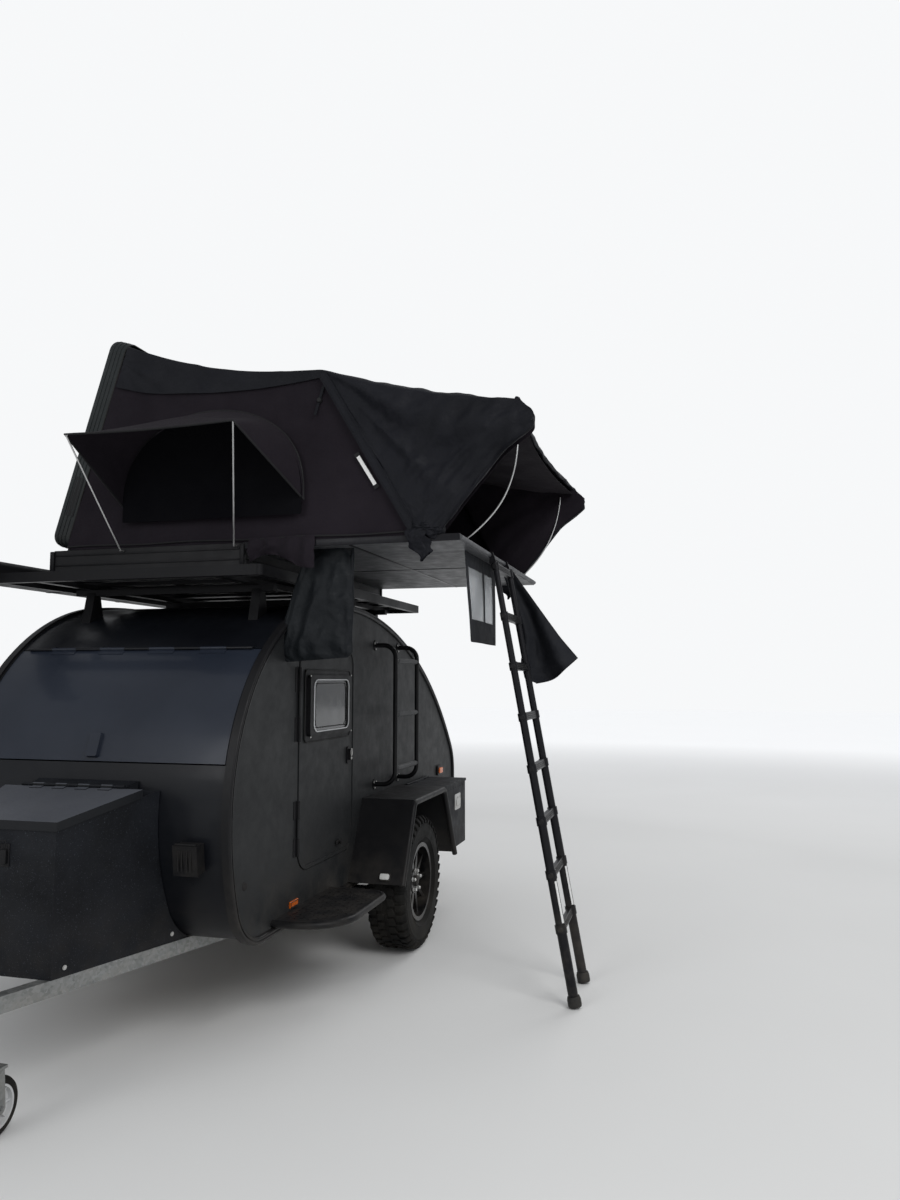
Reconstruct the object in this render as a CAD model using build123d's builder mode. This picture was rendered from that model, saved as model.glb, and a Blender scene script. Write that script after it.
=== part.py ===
from build123d import *
from math import cos, degrees, radians, sin, sqrt, tan
import os

# A small off-road teardrop trailer with a pitched roof tent.
# Millimetres. +X is forward, +Y is the left side, +Z is up, and the origin is the middle of the tow ball.
# Lengths called X below are measured ahead of the axle, and heights called Z above the ground.

# Datums
AXLE_X = -2950
GROUND_Z = -430

# Wheels and axle
TYRE_R = 372
TYRE_WIDTH = 225
TYRE_Y = 872
TYRE_SHOULDER = 26
TYRE_CREST_IN = 24
TYRE_SHOULDER_IN = 3
TYRE_BULGE_UP = 88
TYRE_WALL = 14
TYRE_BEAD_OUT = 6
TREAD_DEPTH = 9
TREAD_PITCHES = 20
TREAD_SLOT_W = 18
TREAD_SLOT_DEPTH = 8
TREAD_GROOVE = 14
RIM_R = 203
RIM_INSET = 18
RIM_LIP = 15
RIM_LIP_WIDTH = 12
RIM_WALL = 8
SPOKES = 10
SPOKE_WIDTH_HUB = 34
SPOKE_WIDTH_RIM = 20
SPOKE_DEPTH = 30
SPOKE_FACE_INSET = 34
HUB_R = 78
HUB_CAP_R = 32
HUB_CAP_OUT = 10
HUB_CAP_TAPER = 4
HUB_NECK = 20
HUB_CHAMFER = 8
DRUM_WALL = 10
SPOKE_LAP = 20
SPOKE_INSET = 4
DRUM_R = 122
DRUM_WIDTH = 62
AXLE_TUBE = 70
AXLE_TUBE_X = 165
AXLE_TUBE_Z = 325
AXLE_TUBE_END_Y = 695
ARM_THICKNESS = 34
ARM_R = 40
STUB_R = 20
STUB_CLEARANCE = 0.5
BACKPLATE = 5
BACKPLATE_R = 130
RUNNING_GAP = 6
SADDLE_OVERHANG = 30

# Body shell: the side outline is a chain of tangent arcs, read forward from the front foot
BODY_HALF_WIDTH = 675
BODY_BOTTOM_Z = 400
BODY_START_X = 1442
BODY_ARCS = (
    # name, radius, sweep in degrees
    ("front corner", 260, 70.0),
    ("nose", 1140, 22.5),
    ("brow", 930, 45.0),
    ("roof front", 1090, 36.5),
    ("roof", 3260, 31.5),
    ("tail", 2710, 21.5),
    ("tail corner", 320, 43.0),
)
REAR_CORNER_R = 120
WALL = 30
SKIN = 30
TRIM_DEPTH = 12
TRIM_LIP = 32
TRIM_PROUD = 15
TRIM_WRAP = 40
TRIM_ROUND = 9
TRIM_GROOVE = (13, 19)
TRIM_GROOVE_DEPTH = 4
TRIM_GAP = 1
SEAM = 6
SLIDE_GAP = 5

# Where the skins meet, as headings in degrees along the outline
FRONT_FOOT_HEADING = 30
HATCH_LOW_HEADING = 103.5
HATCH_HIGH_HEADING = 140
TAILGATE_HIGH_HEADING = 206
TAILGATE_LOW_HEADING = 262
TAIL_FOOT_HEADING = 315
SKIN_HINGE_PROUD = 9
SKIN_HINGE_R = 7
SKIN_HINGE_LEAF = 30
SKIN_HINGE_HALF = 600
SKIN_KNUCKLES = 9
SKIN_LATCH = (60, 110)
SKIN_LATCH_PROUD = 16
SKIN_LATCH_R = 10
SKIN_LATCH_UP = 70
SKIN_LATCH_TAPER = 12.0
TAIL_HANDLE = (170, 56)
KNUCKLE_GAP = 1
PIN_SHARE = 0.4
PIN_CLEARANCE = 0.3
LEAF_T = 3
LEAF_SUNK = 2

# Chassis
RAIL_WIDTH = 50
RAIL_HEIGHT = 60
RAIL_WALL = 5
RAIL_TOP_Z = 442
RAIL_IN = 85
RAIL_HALF_SPREAD = BODY_HALF_WIDTH - RAIL_IN
RAIL_KINK_X = 883
RAIL_NOSE_X = 2760
RAIL_NOSE_Y = 28
RAIL_TAIL_X = -1690
RAIL_SLOPE = (RAIL_HALF_SPREAD - RAIL_NOSE_Y) / (RAIL_NOSE_X - RAIL_KINK_X)
CROSS_MEMBERS_X = (883, 400, -500, -1200, -1665)
NOSE_PLATE = 330
NOSE_PLATE_T = 8
FLOOR = 40

# Coupling head and handbrake
BALL_R = 25
BALL_CLEARANCE = 0.3
SOCKET_LENGTH = 24
SOCKET_WALL = 11
NECK_R = 24
NECK_START = 15
NECK_DROP = 6
NECK_TAPER = 4
COUPLING_BASE = 120
COUPLING_BASE_IN = 10
COUPLING_REAR_X = 2560
COUPLING_WIDTH = 46
LEVER_PIVOT = 60
LEVER_LENGTH = 250
LEVER_R = 9
LEVER_LEAN = 24
LEVER_LUG = (70, 16, 40)
LEVER_PIVOT_UP = 30

# Doors and their windows
DOOR_REAR_X = 350
DOOR_FRONT_X = 1075
DOOR_LOW_Z = 620
DOOR_HIGH_Z = 1720
DOOR_CORNER_R = 110
DOOR_GAP = 6
DOOR_RIM = 18
DOOR_RIM_PROUD = 4
DOOR_HINGE_R = 8
DOOR_HINGE_PROUD = 10
DOOR_HINGE_OUT = 12
DOOR_HINGES_Z = ((700, 960), (1240, 1600))
WINDOW_CENTRE_X = 722
WINDOW_CENTRE_Z = 1410
WINDOW_FRAME_W = 590
WINDOW_FRAME_H = 352
WINDOW_PANE_W = 460
WINDOW_PANE_H = 258
WINDOW_PANE_R = 40
WINDOW_FRAME_PROUD = 24
WINDOW_PANE = 5
DOOR_LEAF = 34
LATCH_X = 432
LATCH_Z = 1126
LATCH_PLATE = (50, 92, 8)
LATCH_PLATE_R = 12
LATCH_PADDLE = (24, 62, 14)
LATCH_PADDLE_R = 8
LATCH_PADDLE_SHIFT = (2, 4)
WINDOW_STEP = 24
WINDOW_FRAME_R = 22

# Fenders, side boxes and steps
FENDER_PLATE = 3
FENDER_OUT_Y = 985
FENDER_PROFILE = (
    # X, Z of the outer corners, front foot to rear foot
    (402, 430),
    (190, 846),
    (-440, 846),
    (-705, 400),
)
FENDER_TUBE_R = 17
FENDER_BEND = 45
BOX_FRONT_TOP_X = -470
BOX_LID_FRONT_X = -575
BOX_REAR_X = -1125
BOX_TOP_Z = 846
BOX_BOTTOM_Z = 412
BOX_OUT_Y = 950
BOX_WALL = 3
BOX_LID = 18
BOX_FENDER_GAP = 6
BOX_RIM = 22
BOX_LIP = 6
BOX_HINGE_R = 6
BOX_LEAF = 24
STEP_REAR_X = 655
STEP_FRONT_X = 1345
STEP_OUT_Y = 1010
STEP_Z = 452
STEP_TUBE_R = 17
STEP_FRONT_R = 210
STEP_REAR_R = 90
STEP_DECK = 4

# Ladder on the left wall
GRAB_X = (0, -430)
GRAB_LOW_Z = 920
GRAB_HIGH_Z = 1745
GRAB_OUT = 130
GRAB_R = 14
GRAB_BEND_R = 75
GRAB_RUNGS_Z = (1012, 1332, 1652)
GRAB_FLANGE_R = 32
GRAB_FLANGE = 5

# Toolbox on the drawbar
TOOLBOX_FRONT_X = 2204
TOOLBOX_SLANT = 16.0
TOOLBOX_FRONT_HALF = 223
TOOLBOX_SKIN_GAP = 10
TOOLBOX_FRONT_TOP_Z = 980
TOOLBOX_LID_SLOPE = 12.0
TOOLBOX_WALL = 4
TOOLBOX_LID = 34
TOOLBOX_LID_OVER = 6
TOOLBOX_LID_REAR_X = 1835
TOOLBOX_LID_LOW_Z = 854
TOOLBOX_TAPER_X = 1000
TOOLBOX_HINGE_R = 7
TOOLBOX_HINGE_HALF = 250

# Roof rack and the rolled awning
RACK_LOW_Z = 2000
RACK_HALF = 700
RACK_FRONT_X = 1550
RACK_REAR_X = -830
RACK_SLATS = 11
RACK_SLAT_W = 70
RACK_SLAT_H = 22
RACK_RAIL_W = 34
RACK_RAIL_H = 48
RACK_STRINGER = 40
RACK_CORNER_R = 30
CROSSBAR_X = (1120, 300, -520)
CROSSBAR_HALF = 560
CROSSBAR_W = 40
CROSSBAR_H = 30
FOOT_HALF = 470
FOOT_LENGTH = 150
FOOT_WIDTH = 50
FOOT_REACH = 250
AWNING_Y = -790
AWNING_Z = 2062
AWNING_W = 118
AWNING_H = 112
AWNING_FRONT_X = 1930
AWNING_LENGTH = 2500
AWNING_ROUND = 26
AWNING_BRACKETS = 3
AWNING_BRACKET_IN = 150
AWNING_BRACKET_W = 60
AWNING_BRACKET_T = 6

# Roof tent
TENT_FRONT_X = 1330
TENT_REAR_X = -600
TENT_RIGHT_Y = -560
TENT_FOLD_Y = 495
TENT_LEFT_Y = 1545
TENT_RAIL = 26
TENT_RAIL_W = 45
TENT_RAIL_IN = 200
TENT_RAIL_SHORT = 30
TENT_TRAY_R = 20
TENT_TRAY_H = 106
TENT_TRAY_WALL = 4
TENT_FLOOR = 30
TENT_EDGE_R = 12
TENT_HINGE_R = 8
TENT_HINGE_INSET = 120
SHELL_HEIGHT = 1080
SHELL_DEPTH = 100
SHELL_WALL = 5
SHELL_LEAN = 17.0
SHELL_ROUND = 60
SHELL_FOOT_OUT = 17
SHELL_FOOT_UP = 40
SHELL_GROOVES = (26, 48, 70)
SHELL_GROOVE_W = 8
SHELL_GROOVE_DEPTH = 2
SHELL_EDGE_R = 18
SHELL_LEAF_IN = 20
RIDGE_Y = 884
RIDGE_Z = 2985
PORCH_Y = 1880
PORCH_Z = 2760
CANOPY = 10
CANOPY_CUT = 60
CANOPY_FOOT_Y = 1500

# Tent ladder, leaning from the folded-out floor to the ground
LADDER_X = 550
LADDER_HALF = 180
LADDER_FOOT_Y = 1950
LADDER_TOP_Z = 2125
LADDER_TOP_Y = 1572
LADDER_FIRST = 130
LADDER_COLLAR = 4
LADDER_FOOT_LIFT = 6
LADDER_SHOE = 40
LADDER_HOOK = 10
LADDER_MOUTH = 200
LADDER_RUNGS = 8
LADDER_RAIL_R = (24, 15)
LADDER_RUNG_W = 40
LADDER_RUNG_H = 22

# Window awning and loose cloth
HOOD_TOP_Z = 2830
HOOD_TIP_X = 1700
HOOD_TIP_Z = 2662
HOOD_FOOT_Z = 2400
HOOD_RIGHT_Y = -230
HOOD_LEFT_Y = 640
HOOD_CLOTH = 8
HOOD_CUT = 20
ROD_R = 4
ROD_OFFSET = 26
ROD_INSET = 12
ROD_FOOT_Y = (460, -150)
BAG_BACK = 60
BAG_THICKNESS = 70
BAG_OUTLINE = ((826, 2149.7), (1030, 2149.7), (1045, 1660), (870, 1625), (705, 1690), (760, 1950))
CLOTH_THICKNESS = 10
ORGANIZER_OUTLINE = ((880, 2149.7), (400, 2149.7), (400, 1725), (900, 1725))
ORGANIZER_IN = 60
FLAP_X = 250
FLAP_OUTLINE = ((1557.3, 2165), (1650, 2095), (1925, 1645), (1650, 1515), (1610, 1630))

# Lamps and steadies
REFLECTOR_X = 1111
REFLECTOR_Z = 490
REFLECTOR_SIZE = (86, 8, 28)
REFLECTOR_ROUND = 3
TAIL_LAMP_T = 40
TAIL_LAMP_Y = 560
TAIL_LAMP_Z = 640
TAIL_LAMP_W = 110
TAIL_LAMP_H = 220
TAIL_LAMP_R = 16
TAIL_LENS = 8
TAIL_LENS_IN = 6
STEADY_X = (1100, -1200)
STEADY_LENGTH = 420
STEADY_PAD_L = 60
STEADY_PAD_T = 10
STEADY_LEG_W = 34
STEADY_LEG_H = 24
STEADY_FOOT_T = 12
STEADY_FOOT_W = 80
STEADY_FOOT_H = 60

# Socket box and mattress
SOCKET_HEADING = 82.5
SOCKET_IN = 163
SOCKET_W = 105
SOCKET_H = 118
SOCKET_PROUD = 62
SOCKET_LID_T = 12
SOCKET_LID_OVER = 3
MATTRESS_REAR_X = -760
MATTRESS_FRONT_X = 1240
MATTRESS_H = 120
MATTRESS_CORNER_R = 60
MATTRESS_SIDE = 12
SOFT_GAP = 0.3

# Jockey wheel
JOCKEY_X = 2480
JOCKEY_OUT = 52
JOCKEY_WHEEL_R = 100
JOCKEY_WHEEL_W = 60
JOCKEY_OUTER_R = 24
JOCKEY_INNER_R = 20
JOCKEY_TRAIL = 45
JOCKEY_CLEARANCE = 0.5
JOCKEY_OUTER_Z = (330, 800)
JOCKEY_FORK_PLATE = 5
JOCKEY_FORK_CROWN = 10
JOCKEY_FORK_NOSE = 24
JOCKEY_FORK_TOP_Z = 235
JOCKEY_STEM_TOP_Z = 640
JOCKEY_AXLE_R = 8
JOCKEY_AXLE_OVER = 6
JOCKEY_FORK_EYE = 20
JOCKEY_CLAMP_H = 90
JOCKEY_CRANK = 130
JOCKEY_CRANK_W = 16
JOCKEY_CAP = 24
JOCKEY_CAP_OVER = 4
JOCKEY_SPINDLE = (8, 30)
JOCKEY_GRIP = (11, 80)
JOCKEY_CLAMP_HALF = 27
JOCKEY_CLAMP_WALL = 9
JOCKEY_TYRE = 24
JOCKEY_WEB = 12
JOCKEY_HUB_R = 22
JOCKEY_RIM = 8

os.makedirs("parts", exist_ok=True)


def side_plane(y):
    """Upright plane along the trailer: its x is X, its y is the height, and it faces right."""
    return Plane(origin=(AXLE_X, y, GROUND_Z), x_dir=(1, 0, 0), z_dir=(0, -1, 0))


def cross_plane(x):
    """Upright plane across the trailer: its x is Y, its y is the height, and it faces forward."""
    return Plane(origin=(AXLE_X + x, 0, GROUND_Z), x_dir=(0, 1, 0), z_dir=(1, 0, 0))


def level(z):
    """Level plane at a height above the ground: its x is X and its y is Y."""
    return Plane(origin=(AXLE_X, 0, GROUND_Z + z), x_dir=(1, 0, 0), z_dir=(0, 0, 1))


def at(x, y, z):
    """A point from its X ahead of the axle, its Y and its height above the ground."""
    return (AXLE_X + x, y, GROUND_Z + z)


def save(piece, name):
    """Label a finished piece and write it."""
    piece.label = name
    export_step(piece, f"parts/{name}.step")


def mirrored(piece):
    """The same piece on the other side of the trailer."""
    with BuildPart() as twin:
        mirror(piece, about=Plane.XZ)
    return twin.part


def save_pair(piece, name):
    """Write a left piece and its right twin."""
    save(piece, f"{name}_left")
    save(mirrored(piece), f"{name}_right")


def save_both(piece, name):
    """Write a left piece and its right twin as one node."""
    with BuildPart() as both:
        add(piece)
        mirror(piece, about=Plane.XZ)
    save(both.part, name)


def tube(points, radius, bends):
    """A round bar through the points, with a bend of its own radius at each inner corner."""
    corners = [Vector(*point) for point in points]
    start = corners[0]
    with BuildPart() as bar:
        for index, bend in enumerate(bends, start=1):
            into = (corners[index] - corners[index - 1]).normalized()
            out = (corners[index + 1] - corners[index]).normalized()
            turn = into.get_angle(out)
            cut = bend * tan(radians(turn / 2))
            first = corners[index] - into * cut
            axis = into.cross(out).normalized()
            with BuildSketch(Plane(origin=start, z_dir=into)):
                Circle(radius)
            extrude(amount=(first - start).length)
            with BuildSketch(Plane(origin=first, z_dir=into)):
                Circle(radius)
            revolve(axis=Axis(first + axis.cross(into) * bend, axis), revolution_arc=turn)
            start = corners[index] + out * cut
        into = (corners[-1] - start).normalized()
        with BuildSketch(Plane(origin=start, z_dir=into)):
            Circle(radius)
        extrude(amount=(corners[-1] - start).length)
    return bar.part


def hinge_half(frame, length, radius, leaf, drop, moving, count=3, sunk=LEAF_SUNK):
    """Half of a hinge on the frame's z: the moving half's leaf is on +x and the other's on -x."""
    step = length / count
    side = 1 if moving else -1
    with BuildPart() as half:
        for index in range(1 if moving else 0, count, 2):
            with BuildSketch(frame.offset(index * step)):
                Circle(radius)
                with Locations((side * leaf / 2, (LEAF_T - sunk) / 2 - drop)):
                    Rectangle(leaf, LEAF_T + sunk)
                with Locations((side * radius / 2, -drop / 2)):
                    Rectangle(radius, drop)
                Circle(radius, mode=Mode.ADD)
                if moving:
                    Circle(radius * PIN_SHARE + PIN_CLEARANCE, mode=Mode.SUBTRACT)
            extrude(amount=step - KNUCKLE_GAP)
        if not moving:
            with BuildSketch(frame):
                Circle(radius * PIN_SHARE)
            extrude(amount=length - KNUCKLE_GAP)
    return half.part


def skin_hinge(heading, half_length, side, moving):
    """Half of a hinge across the skin at a heading; side 1 puts the moving leaf behind the seam."""
    x, z = outline_point(heading, SKIN_OUT - SKIN_HINGE_PROUD)
    along = radians(heading)
    frame = Plane(
        origin=at(x, -side * half_length, z),
        x_dir=(side * cos(along), 0, side * sin(along)),
        z_dir=(0, side, 0),
    )
    return hinge_half(
        frame,
        2 * half_length,
        SKIN_HINGE_R,
        SKIN_HINGE_LEAF,
        SKIN_HINGE_PROUD,
        moving,
        SKIN_KNUCKLES,
    )


def skin_latch(heading, width, height):
    """A rounded latch body that stands on the skin at a heading, on the middle of the trailer."""
    x, z = outline_point(heading, SKIN_OUT)
    outward = (sin(radians(heading)), 0, -cos(radians(heading)))
    with BuildPart() as body:
        with BuildSketch(Plane(origin=at(x, 0, z), x_dir=(0, 1, 0), z_dir=outward)):
            RectangleRounded(width, height, SKIN_LATCH_R)
        extrude(amount=SKIN_LATCH_PROUD, taper=SKIN_LATCH_TAPER)
        with BuildSketch(Plane(origin=at(x, 0, z), x_dir=(0, 1, 0), z_dir=outward)):
            RectangleRounded(width, height, SKIN_LATCH_R)
        extrude(amount=-SKIN / 2)
    return body.part


def arc_centres():
    """Centre, radius and headings of each arc of the side outline, and where the tail ends."""
    x, z, heading = BODY_START_X, BODY_BOTTOM_Z, 0.0
    centres = []
    for _, radius, sweep in BODY_ARCS:
        cx = x - radius * sin(radians(heading))
        cz = z + radius * cos(radians(heading))
        centres.append((cx, cz, radius, heading, heading + sweep))
        heading += sweep
        x = cx + radius * sin(radians(heading))
        z = cz - radius * cos(radians(heading))
    corner = (x + REAR_CORNER_R, BODY_BOTTOM_Z + REAR_CORNER_R, REAR_CORNER_R, 270.0, 360.0)
    return centres + [corner], x, z


ARCS, TAIL_X, TAIL_Z = arc_centres()


def outline_point(heading, inset=0.0):
    """Point of the side outline at a heading, moved inward by the inset."""
    for cx, cz, radius, first, last in ARCS:
        if first <= heading <= last:
            turn = radians(heading)
            return (cx + (radius - inset) * sin(turn), cz - (radius - inset) * cos(turn))
    raise ValueError("heading outside the outline")


def outline_edges(inset, start=0.0, end=360.0):
    """Draw the outline from one heading to another inside the current BuildLine."""
    for cx, cz, radius, first, last in ARCS:
        low = max(start, first)
        high = min(end, last)
        if high - low > 0.01:
            CenterArc((cx, cz), radius - inset, low - 90, high - low)
    if start < 270 < end:
        Line((TAIL_X + inset, TAIL_Z), (TAIL_X + inset, BODY_BOTTOM_Z + REAR_CORNER_R))


def outline_face(inset):
    """The closed side outline as a flat face, moved inward by the inset."""
    with BuildSketch() as face:
        with BuildLine():
            outline_edges(inset)
            Line(outline_point(360, inset), outline_point(0, inset))
        make_face()
    return face.sketch


def skin_panel(start, end, outer, inner, half_width):
    """A curved panel between two headings, as wide as twice half_width."""
    with BuildPart() as panel:
        with BuildSketch(side_plane(half_width)):
            with BuildLine():
                outline_edges(outer, start, end)
                outline_edges(inner, start, end)
                Line(outline_point(start, outer), outline_point(start, inner))
                Line(outline_point(end, outer), outline_point(end, inner))
            make_face()
        extrude(amount=2 * half_width)
    return panel.part


def gap_heading(heading, gap, side):
    """Heading a given distance along the skin from a seam."""
    for _, _, radius, first, last in ARCS:
        if first <= heading <= last:
            return heading + side * degrees(gap / radius)
    return heading


INNER = BODY_HALF_WIDTH - WALL
SKIN_OUT = TRIM_DEPTH
SKIN_IN = TRIM_DEPTH + SKIN

# Side walls, with the door opening
with BuildPart() as wall:
    with BuildSketch(side_plane(BODY_HALF_WIDTH)):
        add(outline_face(TRIM_DEPTH))
        with Locations(((DOOR_REAR_X + DOOR_FRONT_X) / 2, (DOOR_LOW_Z + DOOR_HIGH_Z) / 2)):
            RectangleRounded(
                DOOR_FRONT_X - DOOR_REAR_X + 2 * DOOR_GAP,
                DOOR_HIGH_Z - DOOR_LOW_Z + 2 * DOOR_GAP,
                DOOR_CORNER_R + DOOR_GAP,
                mode=Mode.SUBTRACT,
            )
    extrude(amount=WALL)
save_both(wall.part, "side_walls")

# Edge trims: a rounded profile that wraps over the edge of each side wall
with BuildPart() as trim:
    with BuildSketch(side_plane(BODY_HALF_WIDTH + TRIM_PROUD)):
        add(outline_face(0))
        add(outline_face(TRIM_DEPTH), mode=Mode.SUBTRACT)
    extrude(amount=TRIM_WRAP)
    with BuildSketch(side_plane(BODY_HALF_WIDTH + TRIM_PROUD)):
        add(outline_face(TRIM_DEPTH))
        add(outline_face(TRIM_LIP), mode=Mode.SUBTRACT)
    extrude(amount=TRIM_PROUD)
    fillet(trim.edges().group_by(Axis.Y)[-1], TRIM_ROUND)
    with BuildSketch(side_plane(BODY_HALF_WIDTH + TRIM_PROUD)):
        add(outline_face(TRIM_GROOVE[0]))
        add(outline_face(TRIM_GROOVE[1]), mode=Mode.SUBTRACT)
    extrude(amount=TRIM_GROOVE_DEPTH, mode=Mode.SUBTRACT)
save_both(trim.part, "edge_trims")

# Curved skins between the walls
front_skin = skin_panel(FRONT_FOOT_HEADING, HATCH_LOW_HEADING, SKIN_OUT, SKIN_IN, INNER)
save(front_skin, "front_skin")
roof_start = gap_heading(HATCH_HIGH_HEADING, SEAM, 1)
roof_end = gap_heading(TAILGATE_HIGH_HEADING, SEAM, -1)
with BuildPart() as roof_skin:
    add(skin_panel(roof_start, roof_end, SKIN_OUT, SKIN_IN, INNER))
    add(skin_hinge(HATCH_HIGH_HEADING, SKIN_HINGE_HALF, -1, False))
    add(skin_hinge(TAILGATE_HIGH_HEADING, SKIN_HINGE_HALF, 1, False))
save(roof_skin.part, "roof_skin")
tail_skin = skin_panel(TAILGATE_LOW_HEADING, TAIL_FOOT_HEADING, SKIN_OUT, SKIN_IN, INNER)
save(tail_skin, "tail_skin")
hatch_start = gap_heading(HATCH_LOW_HEADING, SEAM, 1)
with BuildPart() as front_hatch:
    add(skin_panel(hatch_start, HATCH_HIGH_HEADING, SKIN_OUT, SKIN_IN, INNER - SLIDE_GAP))
    add(skin_hinge(HATCH_HIGH_HEADING, SKIN_HINGE_HALF, -1, True))
    add(skin_latch(gap_heading(hatch_start, SKIN_LATCH_UP, 1), *SKIN_LATCH))
save(front_hatch.part, "front_hatch")
tailgate_end = gap_heading(TAILGATE_LOW_HEADING, SEAM, -1)
with BuildPart() as tailgate:
    add(skin_panel(TAILGATE_HIGH_HEADING, tailgate_end, SKIN_OUT, SKIN_IN, INNER - SLIDE_GAP))
    add(skin_hinge(TAILGATE_HIGH_HEADING, SKIN_HINGE_HALF, 1, True))
    add(skin_latch(gap_heading(tailgate_end, SKIN_LATCH_UP, -1), *TAIL_HANDLE))
save(tailgate.part, "tailgate")


def shifted(points, distance):
    """The same open outline moved to its left by a distance, with mitred corners."""
    moved = []
    last = len(points) - 1
    for index, (x, y) in enumerate(points):
        before = Vector(*points[max(index - 1, 0)])
        after = Vector(*points[min(index + 1, last)])
        here = Vector(x, y)
        into = (here - before).normalized() if index > 0 else (after - here).normalized()
        out = (after - here).normalized() if index < last else into
        normal = Vector(-into.Y - out.Y, into.X + out.X).normalized()
        stretch = normal.X * -into.Y + normal.Y * into.X
        moved.append((x + normal.X * distance / stretch, y + normal.Y * distance / stretch))
    return moved


def band(points, distance):
    """Closed outline between an open one and the same moved to its left."""
    return points + shifted(points, distance)[::-1]


# Floor
body_length = sum(radius * 2 * sin(radians(turn / 2)) for name, radius, turn in BODY_ARCS)
with BuildPart() as floor:
    with BuildSketch(side_plane(INNER)):
        add(outline_face(SKIN_IN))
        with Locations((0, RAIL_TOP_Z + FLOOR / 2)):
            Rectangle(2 * body_length, FLOOR, mode=Mode.INTERSECT)
    extrude(amount=2 * INNER)
save(floor.part, "floor")

# Chassis: two rails that meet at the nose, open towards each other, and cross members
rail_line = [(RAIL_NOSE_X, RAIL_NOSE_Y), (RAIL_KINK_X, RAIL_HALF_SPREAD), (RAIL_TAIL_X, RAIL_HALF_SPREAD)]
rail_outer = shifted(rail_line, -RAIL_WIDTH / 2)
with BuildPart() as rail:
    with BuildSketch(level(RAIL_TOP_Z - RAIL_HEIGHT)):
        with BuildLine():
            Polyline(*band(rail_outer, RAIL_WIDTH), close=True)
        make_face()
    extrude(amount=RAIL_HEIGHT)
    with BuildSketch(level(RAIL_TOP_Z - RAIL_HEIGHT + RAIL_WALL)):
        with BuildLine():
            Polyline(*band(shifted(rail_outer, RAIL_WALL), RAIL_WIDTH), close=True)
        make_face()
    extrude(amount=RAIL_HEIGHT - 2 * RAIL_WALL, mode=Mode.SUBTRACT)
with BuildPart() as chassis:
    add(rail.part)
    mirror(rail.part, about=Plane.XZ)
    for x in CROSS_MEMBERS_X:
        with Locations(at(x, 0, RAIL_TOP_Z - RAIL_HEIGHT / 2)):
            Box(RAIL_WIDTH, 2 * RAIL_HALF_SPREAD - RAIL_WIDTH + 2 * RAIL_WALL, RAIL_HEIGHT - 2 * RAIL_WALL)
    with Locations(at(RAIL_NOSE_X - NOSE_PLATE / 2, 0, RAIL_TOP_Z + NOSE_PLATE_T / 2)):
        Box(NOSE_PLATE, 2 * (RAIL_NOSE_Y + RAIL_WIDTH / 2), NOSE_PLATE_T)
    for x in STEADY_X:
        pad_y = RAIL_HALF_SPREAD - max(0, x - RAIL_KINK_X) * RAIL_SLOPE
        steady_top = RAIL_TOP_Z - RAIL_HEIGHT
        leg_x = x + STEADY_PAD_L / 2 - STEADY_LENGTH / 2
        foot_x = x + STEADY_PAD_L / 2 - STEADY_LENGTH
        for side in (1, -1):
            with Locations(at(x, side * pad_y, steady_top - STEADY_PAD_T / 2)):
                Box(STEADY_PAD_L, RAIL_WIDTH, STEADY_PAD_T)
            with Locations(at(leg_x, side * pad_y, steady_top - STEADY_PAD_T - STEADY_LEG_H / 2)):
                Box(STEADY_LENGTH, STEADY_LEG_W, STEADY_LEG_H)
            with Locations(at(foot_x, side * pad_y, steady_top - STEADY_PAD_T - STEADY_LEG_H)):
                Box(STEADY_FOOT_T, STEADY_FOOT_W, STEADY_FOOT_H)
save(chassis.part, "chassis")


# Axle: square torsion tube on two saddles, with a trailing arm, brake plate and stub at each end
ARM_OUT_Y = AXLE_TUBE_END_Y + ARM_THICKNESS
DRUM_IN_Y = ARM_OUT_Y + BACKPLATE + RUNNING_GAP
RIM_HALF = TYRE_WIDTH / 2 - RIM_INSET
DISC_Y = TYRE_Y + RIM_HALF - SPOKE_FACE_INSET
with BuildPart() as axle:
    with Locations(at(AXLE_TUBE_X, 0, AXLE_TUBE_Z)):
        Box(AXLE_TUBE, 2 * AXLE_TUBE_END_Y, AXLE_TUBE)
    saddle_height = RAIL_TOP_Z - RAIL_HEIGHT - AXLE_TUBE_Z - AXLE_TUBE / 2
    saddle_z = RAIL_TOP_Z - RAIL_HEIGHT - saddle_height / 2
    for side in (1, -1):
        with Locations(at(AXLE_TUBE_X, side * RAIL_HALF_SPREAD, saddle_z)):
            Box(AXLE_TUBE + 2 * SADDLE_OVERHANG, RAIL_WIDTH, saddle_height)
        with BuildSketch(side_plane(side * AXLE_TUBE_END_Y)):
            with Locations((AXLE_TUBE_X, AXLE_TUBE_Z), (0, TYRE_R)):
                Circle(ARM_R)
            make_hull()
        extrude(amount=-side * ARM_THICKNESS)
        with BuildSketch(side_plane(side * ARM_OUT_Y)):
            with Locations((0, TYRE_R)):
                Circle(BACKPLATE_R)
        extrude(amount=-side * BACKPLATE)
        with BuildSketch(side_plane(side * ARM_OUT_Y)):
            with Locations((0, TYRE_R)):
                Circle(STUB_R)
        extrude(amount=-side * (DISC_Y - ARM_OUT_Y - SPOKE_DEPTH - RUNNING_GAP))
save(axle.part, "axle")

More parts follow.
